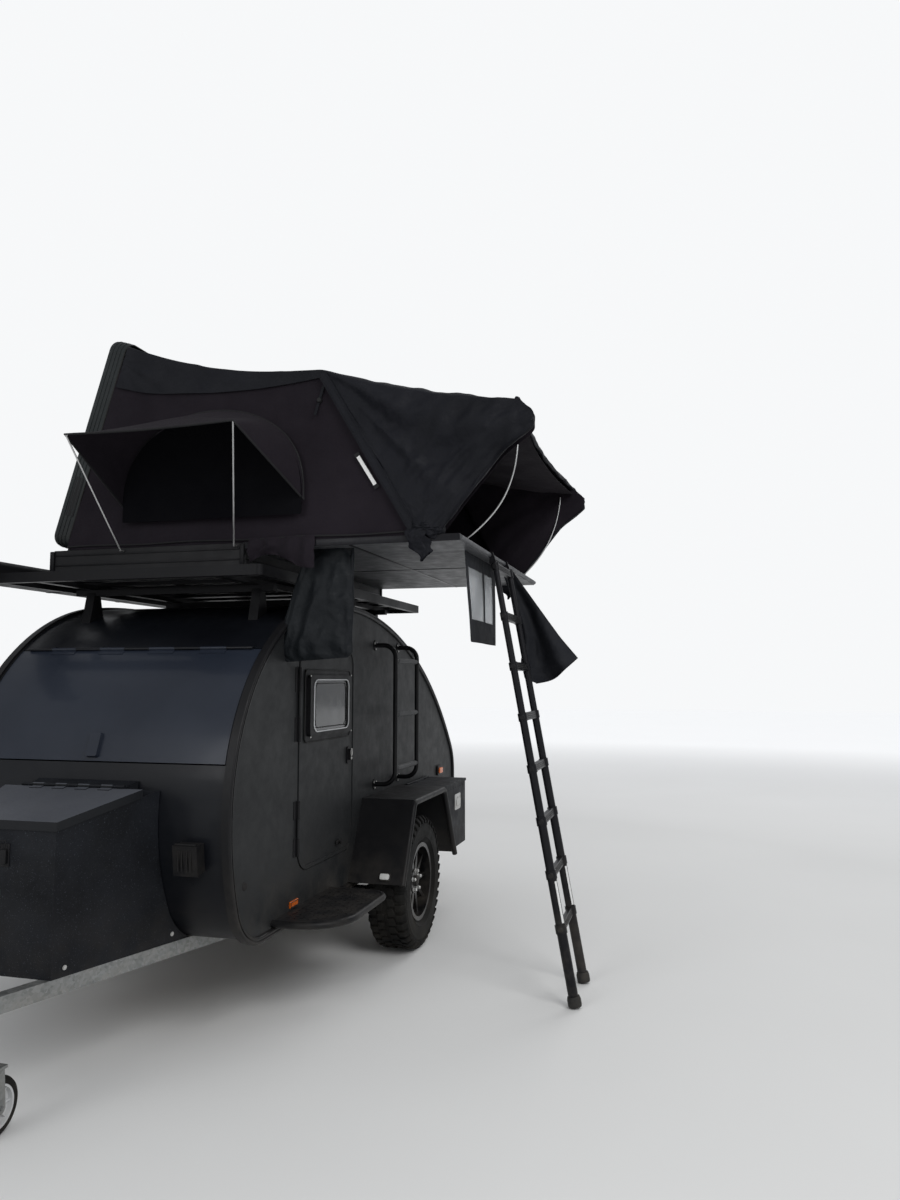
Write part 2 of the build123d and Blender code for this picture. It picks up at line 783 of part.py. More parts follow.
# Wheels: a revolved rim with a drum and hub, ten slender spokes, and a tyre on its bead seats
WHEEL_AXIS = Axis(at(0, 0, TYRE_R), (0, 1, 0))
wheel_plane = Plane(origin=at(0, TYRE_Y, TYRE_R), x_dir=(0, 1, 0), z_dir=(-1, 0, 0))
DRUM_IN = DRUM_IN_Y - TYRE_Y
DISC = DISC_Y - TYRE_Y
with BuildPart() as rim:
    with BuildSketch(wheel_plane):
        with BuildLine():
            Polyline(
                (-RIM_HALF, RIM_R + RIM_LIP),
                (-RIM_HALF, RIM_R - RIM_WALL),
                (RIM_HALF, RIM_R - RIM_WALL),
                (RIM_HALF, RIM_R + RIM_LIP),
                (RIM_HALF - RIM_LIP_WIDTH, RIM_R + RIM_LIP),
                (RIM_HALF - RIM_LIP_WIDTH, RIM_R),
                (RIM_LIP_WIDTH - RIM_HALF, RIM_R),
                (RIM_LIP_WIDTH - RIM_HALF, RIM_R + RIM_LIP),
                close=True,
            )
        make_face()
    revolve(axis=WHEEL_AXIS)
    with BuildSketch(wheel_plane):
        with BuildLine():
            Polyline(
                (DRUM_IN, DRUM_R),
                (DRUM_IN + DRUM_WIDTH, DRUM_R),
                (DRUM_IN + DRUM_WIDTH, HUB_CAP_R + HUB_NECK),
                (DISC - SPOKE_DEPTH, HUB_CAP_R + HUB_NECK),
                (DISC - SPOKE_DEPTH, HUB_R),
                (DISC, HUB_R - HUB_CHAMFER),
                (DISC, HUB_CAP_R),
                (DISC + HUB_CAP_OUT, HUB_CAP_R - HUB_CAP_TAPER),
                (DISC + HUB_CAP_OUT, 0),
                (DISC - SPOKE_DEPTH, 0),
                (DISC - SPOKE_DEPTH, STUB_R + STUB_CLEARANCE),
                (DRUM_IN + DRUM_WIDTH - DRUM_WALL, STUB_R + STUB_CLEARANCE),
                (DRUM_IN + DRUM_WIDTH - DRUM_WALL, DRUM_R - DRUM_WALL),
                (DRUM_IN, DRUM_R - DRUM_WALL),
                close=True,
            )
        make_face()
    revolve(axis=WHEEL_AXIS)
    spoke_back = at(0, TYRE_Y + DISC - SPOKE_DEPTH, TYRE_R)
    with BuildSketch(Plane(origin=spoke_back, x_dir=(1, 0, 0), z_dir=(0, 1, 0))):
        with PolarLocations(0, SPOKES):
            Polygon(
                (HUB_R - SPOKE_LAP, -SPOKE_WIDTH_HUB / 2),
                (RIM_R - RIM_WALL / 2, -SPOKE_WIDTH_RIM / 2),
                (RIM_R - RIM_WALL / 2, SPOKE_WIDTH_RIM / 2),
                (HUB_R - SPOKE_LAP, SPOKE_WIDTH_HUB / 2),
                align=None,
            )
    extrude(amount=SPOKE_DEPTH - SPOKE_INSET)
save_pair(rim.part, "rim")

TYRE_HALF = TYRE_WIDTH / 2
BEAD_HALF = RIM_HALF - RIM_LIP_WIDTH
bead_r = RIM_R + RIM_LIP + 1
bulge_r = RIM_R + TYRE_BULGE_UP
tread_r = TYRE_R - TREAD_DEPTH
shoulder_r = TYRE_R - TYRE_SHOULDER
half_outline = [
    (TREAD_GROOVE / 2, tread_r),
    (TREAD_GROOVE / 2, TYRE_R),
    (TYRE_HALF - TYRE_CREST_IN, TYRE_R),
    (TYRE_HALF - TYRE_SHOULDER_IN, shoulder_r),
    (TYRE_HALF, bulge_r),
    (BEAD_HALF + TYRE_BEAD_OUT, bead_r),
    (BEAD_HALF, bead_r),
    (BEAD_HALF, RIM_R),
    (BEAD_HALF - TYRE_WALL, RIM_R),
    (TYRE_HALF - 2 * TYRE_WALL, tread_r - TYRE_WALL),
]
tyre_outline = half_outline + [(-y, r) for y, r in half_outline[::-1]]
with BuildPart() as tyre:
    with BuildSketch(wheel_plane):
        with BuildLine():
            Polyline(*tyre_outline, close=True)
        make_face()
    revolve(axis=WHEEL_AXIS)
    for side in (1, -1):
        row_plane = Plane(
            origin=at(0, TYRE_Y + side * TREAD_GROOVE / 2, TYRE_R),
            x_dir=(1, 0, 0),
            z_dir=(0, side, 0),
        )
        with BuildSketch(row_plane):
            with PolarLocations(TYRE_R, TREAD_PITCHES, start_angle=90 / TREAD_PITCHES * side):
                Rectangle(2 * TREAD_SLOT_DEPTH, TREAD_SLOT_W)
        extrude(amount=TYRE_HALF, mode=Mode.SUBTRACT)
save_pair(tyre.part, "tyre")

# Coupling head: a tube from the nose plate to a socket over the tow ball, with its handbrake lever
SOCKET_R = BALL_R + BALL_CLEARANCE
with BuildPart() as coupling:
    with Locations((0, 0, 0)):
        Cylinder(SOCKET_R + SOCKET_WALL, SOCKET_LENGTH, align=(Align.CENTER, Align.CENTER, Align.MAX))
        Sphere(SOCKET_R + SOCKET_WALL, arc_size1=0)
    neck_length = -AXLE_X - COUPLING_REAR_X
    body_z = GROUND_Z + RAIL_TOP_Z + NOSE_PLATE_T
    neck_x = AXLE_X + RAIL_NOSE_X + NECK_START
    with BuildSketch(Plane.YZ.offset(-neck_length)):
        with Locations((0, body_z + NECK_R)):
            Circle(NECK_R)
    extrude(amount=neck_length + neck_x)
    with BuildSketch(Plane.YZ.offset(neck_x)):
        with Locations((0, body_z + NECK_R)):
            Circle(NECK_R)
    with BuildSketch(Plane.YZ.offset(-SOCKET_R)):
        with Locations((0, SOCKET_R - NECK_DROP)):
            Circle(NECK_R - NECK_TAPER)
    loft()
    with Locations((-neck_length + COUPLING_BASE / 2, 0, body_z + NECK_R / 2)):
        Box(COUPLING_BASE, 2 * (RAIL_NOSE_Y + RAIL_WIDTH / 2 - COUPLING_BASE_IN), NECK_R)
    with Locations((0, 0, 0)):
        Cylinder(SOCKET_R, SOCKET_LENGTH, align=(Align.CENTER, Align.CENTER, Align.MAX), mode=Mode.SUBTRACT)
        Sphere(SOCKET_R, mode=Mode.SUBTRACT)
    lever_x = AXLE_X + COUPLING_REAR_X + LEVER_PIVOT
    lever_z = body_z + 2 * NECK_R
    with Locations((lever_x, 0, lever_z - NECK_R / 2)):
        lug_l, lug_w, lug_h = LEVER_LUG
        Box(lug_l, lug_w, NECK_R / 2 + lug_h, align=(Align.CENTER, Align.CENTER, Align.MIN))
    reach = LEVER_LENGTH * cos(radians(LEVER_LEAN))
    rise = LEVER_LENGTH * sin(radians(LEVER_LEAN))
    pivot_z = lever_z + LEVER_PIVOT_UP
    add(tube([(lever_x, 0, pivot_z), (lever_x + reach, 0, pivot_z + rise)], LEVER_R, ()))
save(coupling.part, "coupling")

# Doors: panel with a raised border, cut for its window, and its half of the two long hinges
door_centre = ((DOOR_REAR_X + DOOR_FRONT_X) / 2, (DOOR_LOW_Z + DOOR_HIGH_Z) / 2)
door_size = (DOOR_FRONT_X - DOOR_REAR_X, DOOR_HIGH_Z - DOOR_LOW_Z)
hinge_x = DOOR_FRONT_X + DOOR_HINGE_OUT
hinge_y = BODY_HALF_WIDTH + DOOR_HINGE_PROUD


def door_hinge_half(low, high, drop, moving):
    """Half of a long upright door hinge between two heights, its leaf at a drop below the pin."""
    frame = Plane(origin=at(hinge_x, hinge_y, high), x_dir=(-1, 0, 0), z_dir=(0, 0, -1))
    sunk = LEAF_SUNK if moving else 0
    return hinge_half(frame, high - low, DOOR_HINGE_R, DOOR_LEAF, drop, moving, sunk=sunk)


with BuildPart() as door:
    with BuildSketch(side_plane(BODY_HALF_WIDTH)):
        with Locations(door_centre):
            RectangleRounded(*door_size, DOOR_CORNER_R)
        with Locations((WINDOW_CENTRE_X, WINDOW_CENTRE_Z)):
            RectangleRounded(WINDOW_PANE_W, WINDOW_PANE_H, WINDOW_PANE_R, mode=Mode.SUBTRACT)
    extrude(amount=WALL)
    with BuildSketch(side_plane(BODY_HALF_WIDTH + DOOR_RIM_PROUD)):
        with Locations(door_centre):
            RectangleRounded(*door_size, DOOR_CORNER_R)
            RectangleRounded(
                door_size[0] - 2 * DOOR_RIM,
                door_size[1] - 2 * DOOR_RIM,
                DOOR_CORNER_R - DOOR_RIM,
                mode=Mode.SUBTRACT,
            )
    extrude(amount=DOOR_RIM_PROUD)
    for low, high in DOOR_HINGES_Z:
        add(door_hinge_half(low, high, DOOR_HINGE_PROUD - DOOR_RIM_PROUD, True))
save_pair(door.part, "door")

# The walls' halves of the door hinges, with their pins
with BuildPart() as door_hinges:
    for low, high in DOOR_HINGES_Z:
        add(door_hinge_half(low, high, DOOR_HINGE_PROUD, False))
save_both(door_hinges.part, "door_hinges")

# Windows in the doors: a stepped frame and its pane
with BuildPart() as window_frame:
    for size, out in ((0, DOOR_RIM_PROUD), (WINDOW_STEP, WINDOW_FRAME_PROUD)):
        with BuildSketch(side_plane(BODY_HALF_WIDTH + out)):
            with Locations((WINDOW_CENTRE_X, WINDOW_CENTRE_Z)):
                RectangleRounded(WINDOW_FRAME_W - 2 * size, WINDOW_FRAME_H - 2 * size, WINDOW_FRAME_R)
                RectangleRounded(WINDOW_PANE_W, WINDOW_PANE_H, WINDOW_PANE_R, mode=Mode.SUBTRACT)
        extrude(amount=out)
save_pair(window_frame.part, "window_frame")
with BuildPart() as window_pane:
    with BuildSketch(side_plane(BODY_HALF_WIDTH + WINDOW_FRAME_PROUD - WINDOW_PANE)):
        with Locations((WINDOW_CENTRE_X, WINDOW_CENTRE_Z)):
            RectangleRounded(WINDOW_PANE_W, WINDOW_PANE_H, WINDOW_PANE_R)
    extrude(amount=WINDOW_PANE)
save_pair(window_pane.part, "window_pane")

# Door latches: a plate with a paddle
plate_w, plate_h, plate_t = LATCH_PLATE
paddle_w, paddle_h, paddle_t = LATCH_PADDLE
with BuildPart() as latch:
    with BuildSketch(side_plane(BODY_HALF_WIDTH + plate_t)):
        with Locations((LATCH_X, LATCH_Z)):
            RectangleRounded(plate_w, plate_h, LATCH_PLATE_R)
    extrude(amount=plate_t)
    with BuildSketch(side_plane(BODY_HALF_WIDTH + plate_t + paddle_t)):
        with Locations((LATCH_X + LATCH_PADDLE_SHIFT[0], LATCH_Z + LATCH_PADDLE_SHIFT[1])):
            RectangleRounded(paddle_w, paddle_h, LATCH_PADDLE_R)
    extrude(amount=paddle_t)
save_pair(latch.part, "door_latch")

# Space that the edge trims take on the outside of the left wall
with BuildPart() as trim_space:
    with BuildSketch(side_plane(BODY_HALF_WIDTH + TRIM_PROUD + TRIM_GAP)):
        add(outline_face(-TRIM_GAP))
        add(outline_face(TRIM_LIP + TRIM_GAP), mode=Mode.SUBTRACT)
    extrude(amount=TRIM_PROUD + TRIM_GAP)

# Fenders: a bent plate between the wall and a tube along its outer edge
fender_line = [tuple(point) for point in FENDER_PROFILE]
fender_plate = shifted(fender_line, -(FENDER_TUBE_R - FENDER_PLATE))
with BuildPart() as fender:
    with BuildSketch(side_plane(FENDER_OUT_Y)):
        with BuildLine():
            Polyline(*band(fender_plate, -FENDER_PLATE), close=True)
        make_face()
    extrude(amount=FENDER_OUT_Y - BODY_HALF_WIDTH)
    fender_bends = [FENDER_BEND] * (len(fender_line) - 2)
    add(tube([at(x, FENDER_OUT_Y, z) for x, z in fender_line], FENDER_TUBE_R, fender_bends))
    add(trim_space.part, mode=Mode.SUBTRACT)
save_both(fender.part, "fenders")

# Side boxes behind the wheels: hollow, with a slanted front that follows the fender, and a lid on top
leg_low = fender_line[3]
leg_high = fender_line[2]
leg_slope = (leg_high[0] - leg_low[0]) / (leg_high[1] - leg_low[1])


def behind_leg(z, gap):
    """X of the line behind the fender's rear leg at a height."""
    return leg_low[0] + (z - leg_low[1]) * leg_slope - gap


box_top = BOX_TOP_Z - BOX_LID
box_gap = FENDER_TUBE_R + BOX_FENDER_GAP


def box_face(inset):
    """Side outline of the side box, moved inward."""
    low = BOX_BOTTOM_Z + inset
    high = box_top - inset
    slant = box_gap + inset * sqrt(1 + leg_slope**2)
    with BuildSketch() as face:
        with BuildLine():
            Polyline(
                (BOX_REAR_X + inset, low),
                (behind_leg(low, slant), low),
                (behind_leg(high, slant), high),
                (BOX_REAR_X + inset, high),
                close=True,
            )
        make_face()
    return face.sketch


box_mouth = (BOX_LID_FRONT_X - BOX_REAR_X - 2 * BOX_RIM, BOX_OUT_Y - BODY_HALF_WIDTH - 2 * BOX_RIM)
box_mouth_centre = ((BOX_LID_FRONT_X + BOX_REAR_X) / 2, (BOX_OUT_Y + BODY_HALF_WIDTH) / 2)


def side_box_solid(inset):
    """The side box moved inward all round, with a notch below that clears the edge trim."""
    notch_y = BODY_HALF_WIDTH + TRIM_PROUD + TRIM_GAP + inset
    notch_z = BODY_BOTTOM_Z + TRIM_LIP + TRIM_GAP + inset
    with BuildPart() as solid:
        with BuildSketch(side_plane(BOX_OUT_Y - inset)):
            add(box_face(inset))
        extrude(amount=BOX_OUT_Y - BODY_HALF_WIDTH - 2 * inset)
        with Locations(at(BOX_REAR_X - BOX_RIM, BODY_HALF_WIDTH - BOX_RIM, BOX_BOTTOM_Z - BOX_RIM)):
            Box(
                FENDER_PROFILE[2][0] - BOX_REAR_X,
                notch_y - BODY_HALF_WIDTH + BOX_RIM,
                notch_z - BOX_BOTTOM_Z + BOX_RIM,
                align=(Align.MIN, Align.MIN, Align.MIN),
                mode=Mode.SUBTRACT,
            )
    return solid.part


box_hinge_y = BODY_HALF_WIDTH + BOX_HINGE_R + SLIDE_GAP
box_hinge = Plane(
    origin=at(BOX_REAR_X + BOX_RIM, box_hinge_y, BOX_TOP_Z + BOX_HINGE_R / 2),
    x_dir=(0, 1, 0),
    z_dir=(1, 0, 0),
)
box_hinge_length = BOX_LID_FRONT_X - BOX_REAR_X - 2 * BOX_RIM
box_hinge_drop = BOX_HINGE_R / 2 + BOX_LID
with BuildPart() as side_box:
    add(side_box_solid(0))
    add(side_box_solid(BOX_WALL), mode=Mode.SUBTRACT)
    with BuildSketch(level(box_top - 2 * BOX_WALL)):
        with Locations(box_mouth_centre):
            Rectangle(*box_mouth)
    extrude(amount=4 * BOX_WALL, mode=Mode.SUBTRACT)
    add(hinge_half(box_hinge, box_hinge_length, BOX_HINGE_R, BOX_HINGE_R, box_hinge_drop, False))
save_both(side_box.part, "side_boxes")
box_lid_y = box_hinge_y + BOX_HINGE_R + KNUCKLE_GAP
with BuildPart() as box_lid:
    with BuildSketch(level(box_top)):
        with Locations((BOX_LID_FRONT_X, box_lid_y)):
            Rectangle(
                BOX_LID_FRONT_X - BOX_REAR_X + BOX_LIP,
                BOX_OUT_Y + BOX_LIP - box_lid_y,
                align=(Align.MAX, Align.MIN),
            )
    extrude(amount=BOX_LID)
    fillet(box_lid.edges().group_by(Axis.Z)[-1], 3)
    add(hinge_half(box_hinge, box_hinge_length, BOX_HINGE_R, BOX_LEAF, BOX_HINGE_R / 2, True))
save_pair(box_lid.part, "box_lid")

# Steps under the doors: a bent tube round a thin deck
step_radius = STEP_TUBE_R
step_line = [
    (STEP_REAR_X + step_radius, BODY_HALF_WIDTH),
    (STEP_REAR_X + step_radius, STEP_OUT_Y - step_radius),
    (STEP_FRONT_X - step_radius, STEP_OUT_Y - step_radius),
    (STEP_FRONT_X - step_radius, BODY_HALF_WIDTH),
]
with BuildPart() as step:
    add(tube([at(x, y, STEP_Z) for x, y in step_line], STEP_TUBE_R, (STEP_REAR_R, STEP_FRONT_R)))
    with BuildSketch(level(STEP_Z + STEP_TUBE_R - STEP_DECK - 4)):
        with BuildLine():
            FilletPolyline(*step_line, radius=(STEP_REAR_R, STEP_FRONT_R))
            Line(step_line[0], step_line[-1])
        make_face()
    extrude(amount=STEP_DECK)
save_both(step.part, "steps")

# Ladder on the left wall: two bent posts with flanges, and rungs between them
grab_y = BODY_HALF_WIDTH + GRAB_OUT
with BuildPart() as wall_ladder:
    for x in GRAB_X:
        post = [
            at(x, BODY_HALF_WIDTH, GRAB_LOW_Z),
            at(x, grab_y, GRAB_LOW_Z),
            at(x, grab_y, GRAB_HIGH_Z),
            at(x, BODY_HALF_WIDTH, GRAB_HIGH_Z),
        ]
        add(tube(post, GRAB_R, (GRAB_BEND_R, GRAB_BEND_R)))
        with BuildSketch(side_plane(BODY_HALF_WIDTH)):
            with Locations((x, GRAB_LOW_Z), (x, GRAB_HIGH_Z)):
                Circle(GRAB_FLANGE_R)
        extrude(amount=-GRAB_FLANGE)
    for z in GRAB_RUNGS_Z:
        with Locations(at(sum(GRAB_X) / 2, grab_y, z)):
            Cylinder(GRAB_R - 2, GRAB_X[0] - GRAB_X[1], rotation=(0, 90, 0))
save(wall_ladder.part, "wall_ladder")

# Toolbox on the drawbar: a wedge whose sides follow the rails and whose back follows the nose
toolbox_top_slope = tan(radians(TOOLBOX_LID_SLOPE))


def toolbox_top(x):
    """Height of the toolbox's upper edge at an X."""
    return TOOLBOX_FRONT_TOP_Z + (TOOLBOX_FRONT_X - x) * toolbox_top_slope


def toolbox_solid(inset, low, rise, front=TOOLBOX_FRONT_X, back_x=TOOLBOX_TAPER_X):
    """The wedge between two heights, moved inward all round, cut off behind at back_x."""
    front_x = front - inset
    half = TOOLBOX_FRONT_HALF - inset
    reach = front_x - TOOLBOX_TAPER_X
    spread = reach * tan(radians(TOOLBOX_SLANT))
    with BuildPart() as wedge:
        with BuildSketch(side_plane(half + spread)):
            with BuildLine():
                Polyline(
                    (front_x, low),
                    (front_x, toolbox_top(front_x) + rise),
                    (back_x, toolbox_top(back_x) + rise),
                    (back_x, low),
                    close=True,
                )
            make_face()
            add(outline_face(SKIN_OUT - SLIDE_GAP - inset), mode=Mode.SUBTRACT)
        extrude(amount=2 * (half + spread))
        with BuildSketch(level(low)):
            with BuildLine():
                Polyline(
                    (front_x, half),
                    (TOOLBOX_TAPER_X, half + spread),
                    (TOOLBOX_TAPER_X, -half - spread),
                    (front_x, -half),
                    close=True,
                )
            make_face()
        extrude(amount=toolbox_top(TOOLBOX_TAPER_X) + TOOLBOX_LID - low, mode=Mode.INTERSECT)
    return wedge.part


toolbox_hinge_x = TOOLBOX_LID_REAR_X - SLIDE_GAP / 2
lid_slope = radians(TOOLBOX_LID_SLOPE)
toolbox_hinge = Plane(
    origin=at(
        toolbox_hinge_x + TOOLBOX_HINGE_R * sin(lid_slope),
        TOOLBOX_HINGE_HALF,
        toolbox_top(toolbox_hinge_x) + TOOLBOX_LID + TOOLBOX_HINGE_R * cos(lid_slope),
    ),
    x_dir=(cos(lid_slope), 0, -sin(lid_slope)),
    z_dir=(0, -1, 0),
)


def toolbox_hinge_half(moving):
    """Half of the toolbox lid's hinge."""
    return hinge_half(
        toolbox_hinge,
        2 * TOOLBOX_HINGE_HALF,
        TOOLBOX_HINGE_R,
        SKIN_HINGE_LEAF,
        TOOLBOX_HINGE_R,
        moving,
        SKIN_KNUCKLES,
    )


with BuildPart() as toolbox:
    add(toolbox_solid(0, RAIL_TOP_Z, 0))
    add(toolbox_solid(0, TOOLBOX_LID_LOW_Z, TOOLBOX_LID, front=TOOLBOX_LID_REAR_X - SLIDE_GAP))
    add(toolbox_solid(TOOLBOX_WALL, RAIL_TOP_Z + TOOLBOX_WALL, TOOLBOX_WALL), mode=Mode.SUBTRACT)
    add(toolbox_hinge_half(False))
save(toolbox.part, "toolbox")
with BuildPart() as toolbox_lid:
    add(toolbox_solid(-TOOLBOX_LID_OVER, TOOLBOX_LID_LOW_Z, TOOLBOX_LID, back_x=TOOLBOX_LID_REAR_X))
    add(toolbox_solid(-2 * TOOLBOX_LID_OVER, RAIL_TOP_Z, 0), mode=Mode.SUBTRACT)
    add(toolbox_hinge_half(True))
save(toolbox_lid.part, "toolbox_lid")

# Socket box on the front skin
socket_x, socket_z = outline_point(SOCKET_HEADING, SKIN_OUT)
with BuildPart() as socket_box:
    with BuildSketch(side_plane(BODY_HALF_WIDTH - SOCKET_IN + SOCKET_W / 2)):
        with Locations((socket_x, socket_z)):
            Rectangle(2 * (SOCKET_PROUD - SOCKET_LID_T), SOCKET_H, rotation=SOCKET_HEADING - 90)
        add(outline_face(SKIN_OUT), mode=Mode.SUBTRACT)
    extrude(amount=SOCKET_W)
    with BuildSketch(side_plane(BODY_HALF_WIDTH - SOCKET_IN + SOCKET_W / 2 + SOCKET_LID_OVER)):
        with Locations((socket_x, socket_z)):
            Rectangle(2 * SOCKET_PROUD, SOCKET_H + 2 * SOCKET_LID_OVER, rotation=SOCKET_HEADING - 90)
            Rectangle(
                2 * (SOCKET_PROUD - SOCKET_LID_T),
                SOCKET_H + 4 * SOCKET_LID_OVER,
                rotation=SOCKET_HEADING - 90,
                mode=Mode.SUBTRACT,
            )
        add(outline_face(SKIN_OUT), mode=Mode.SUBTRACT)
    extrude(amount=SOCKET_W + 2 * SOCKET_LID_OVER)
save(socket_box.part, "socket_box")

# Mattress in the cabin, seen through the windows
with BuildPart() as mattress:
    with BuildSketch(level(RAIL_TOP_Z + FLOOR + SOFT_GAP)):
        with Locations(((MATTRESS_REAR_X + MATTRESS_FRONT_X) / 2, 0)):
            RectangleRounded(
                MATTRESS_FRONT_X - MATTRESS_REAR_X,
                2 * (INNER - MATTRESS_SIDE),
                MATTRESS_CORNER_R,
            )
    extrude(amount=MATTRESS_H)
save(mattress.part, "mattress")

# Roof rack: three crossbars on feet shaped to the roof, a frame with two stringers on them, and its slats
with BuildPart() as crossbars:
    for x in CROSSBAR_X:
        with Locations(at(x, 0, RACK_LOW_Z - CROSSBAR_H / 2)):
            Box(CROSSBAR_W, 2 * CROSSBAR_HALF, CROSSBAR_H)
        for side in (1, -1):
            with BuildSketch(side_plane(side * FOOT_HALF + FOOT_WIDTH / 2)):
                with BuildLine():
                    Polyline(
                        (x - CROSSBAR_W / 2, RACK_LOW_Z - CROSSBAR_H / 2),
                        (x - FOOT_LENGTH / 2, RACK_LOW_Z - FOOT_REACH),
                        (x + FOOT_LENGTH / 2, RACK_LOW_Z - FOOT_REACH),
                        (x + CROSSBAR_W / 2, RACK_LOW_Z - CROSSBAR_H / 2),
                        close=True,
                    )
                make_face()
                add(outline_face(SKIN_OUT), mode=Mode.SUBTRACT)
            extrude(amount=FOOT_WIDTH)
save(crossbars.part, "rack_crossbars")
rack_length = RACK_FRONT_X - RACK_REAR_X
rack_mid_x = (RACK_FRONT_X + RACK_REAR_X) / 2
slat_half = RACK_HALF - RACK_RAIL_W
slat_low = RACK_LOW_Z + RACK_RAIL_H - RACK_SLAT_H
with BuildPart() as rack:
    with BuildSketch(level(RACK_LOW_Z)):
        with Locations((rack_mid_x, 0)):
            RectangleRounded(rack_length, 2 * RACK_HALF, RACK_CORNER_R)
            Rectangle(rack_length - 2 * RACK_RAIL_W, 2 * slat_half, mode=Mode.SUBTRACT)
    extrude(amount=RACK_RAIL_H)
    for side in (1, -1):
        with Locations(at(rack_mid_x, side * FOOT_HALF, RACK_LOW_Z)):
            Box(
                rack_length - RACK_RAIL_W,
                RACK_STRINGER,
                RACK_RAIL_H - RACK_SLAT_H,
                align=(Align.CENTER, Align.CENTER, Align.MIN),
            )
save(rack.part, "roof_rack")
slat_pitch = (rack_length - 2 * RACK_RAIL_W - RACK_SLAT_W) / (RACK_SLATS - 1)
with BuildPart() as slats:
    with BuildSketch(level(slat_low)):
        with Locations((rack_mid_x, 0)):
            with GridLocations(slat_pitch, 0, RACK_SLATS, 1):
                Rectangle(RACK_SLAT_W, 2 * slat_half)
    extrude(amount=RACK_SLAT_H)
save(slats.part, "rack_slats")

# Rolled awning in its case along the right side of the rack
with BuildPart() as awning_case:
    with BuildSketch(cross_plane(AWNING_FRONT_X)):
        with Locations((AWNING_Y, AWNING_Z)):
            RectangleRounded(AWNING_W, AWNING_H, AWNING_ROUND)
    extrude(amount=-AWNING_LENGTH)
    first_x = min(AWNING_FRONT_X, RACK_FRONT_X) - AWNING_BRACKET_IN
    last_x = max(AWNING_FRONT_X - AWNING_LENGTH, RACK_REAR_X) + AWNING_BRACKET_IN
    bracket_y = (AWNING_Y + AWNING_W / 2 - RACK_HALF) / 2
    with Locations(at((first_x + last_x) / 2, bracket_y, AWNING_Z - AWNING_H / 4)):
        with GridLocations((first_x - last_x) / (AWNING_BRACKETS - 1), 0, AWNING_BRACKETS, 1):
            Box(AWNING_BRACKET_W, -AWNING_Y - AWNING_W / 2 - RACK_HALF, AWNING_BRACKET_T)
save(awning_case.part, "awning_case")

# Roof tent: tray on two mounting rails
rack_top = RACK_LOW_Z + RACK_RAIL_H
tray_low = rack_top + TENT_RAIL
tray_top = tray_low + TENT_TRAY_H
tent_length = TENT_FRONT_X - TENT_REAR_X
tent_mid_x = (TENT_FRONT_X + TENT_REAR_X) / 2
tray_width = TENT_FOLD_Y - TENT_RIGHT_Y
tray_mid_y = (TENT_FOLD_Y + TENT_RIGHT_Y) / 2
with BuildPart() as tent_tray:
    with BuildSketch(level(tray_low)):
        with Locations((tent_mid_x, tray_mid_y)):
            RectangleRounded(tent_length, tray_width, TENT_TRAY_R)
    extrude(amount=TENT_TRAY_H)
    with BuildSketch(level(tray_low + TENT_TRAY_WALL)):
        with Locations((tent_mid_x, tray_mid_y)):
            RectangleRounded(
                tent_length - 2 * TENT_TRAY_WALL,
                tray_width - 2 * TENT_TRAY_WALL,
                TENT_TRAY_R - TENT_TRAY_WALL,
            )
    extrude(amount=TENT_TRAY_H - TENT_TRAY_WALL - TENT_FLOOR, mode=Mode.SUBTRACT)
    with BuildSketch(level(rack_top)):
        with Locations((tent_mid_x, tray_mid_y)):
            with GridLocations(0, tray_width - 2 * TENT_RAIL_IN, 1, 2):
                Rectangle(tent_length - 2 * TENT_RAIL_SHORT, TENT_RAIL_W)
    extrude(amount=TENT_RAIL)
save(tent_tray.part, "tent_tray")

# Folded-out half of the tent's floor, hinged to the tray, with a tube along its outer edge
with BuildPart() as tent_floor:
    with BuildSketch(level(tray_top - TENT_FLOOR)):
        with Locations((tent_mid_x, TENT_FOLD_Y)):
            Rectangle(tent_length, TENT_LEFT_Y - TENT_FOLD_Y, align=(Align.CENTER, Align.MIN))
    extrude(amount=TENT_FLOOR)
    with Locations(at(tent_mid_x, TENT_LEFT_Y, tray_top - TENT_FLOOR / 2)):
        Cylinder(TENT_EDGE_R, tent_length, rotation=(0, 90, 0))
save(tent_floor.part, "tent_floor")

# Tent shell, standing open on its hinge along the tray's right edge
lean = radians(SHELL_LEAN)
shell_foot = (TENT_RIGHT_Y - SHELL_FOOT_OUT, tray_top + SHELL_FOOT_UP)


def shell_point(depth, height):
    """Y and height of a point of the open shell: depth inward from its skin, height along its lean."""
    return (
        shell_foot[0] + height * sin(lean) + depth * cos(lean),
        shell_foot[1] + height * cos(lean) - depth * sin(lean),
    )


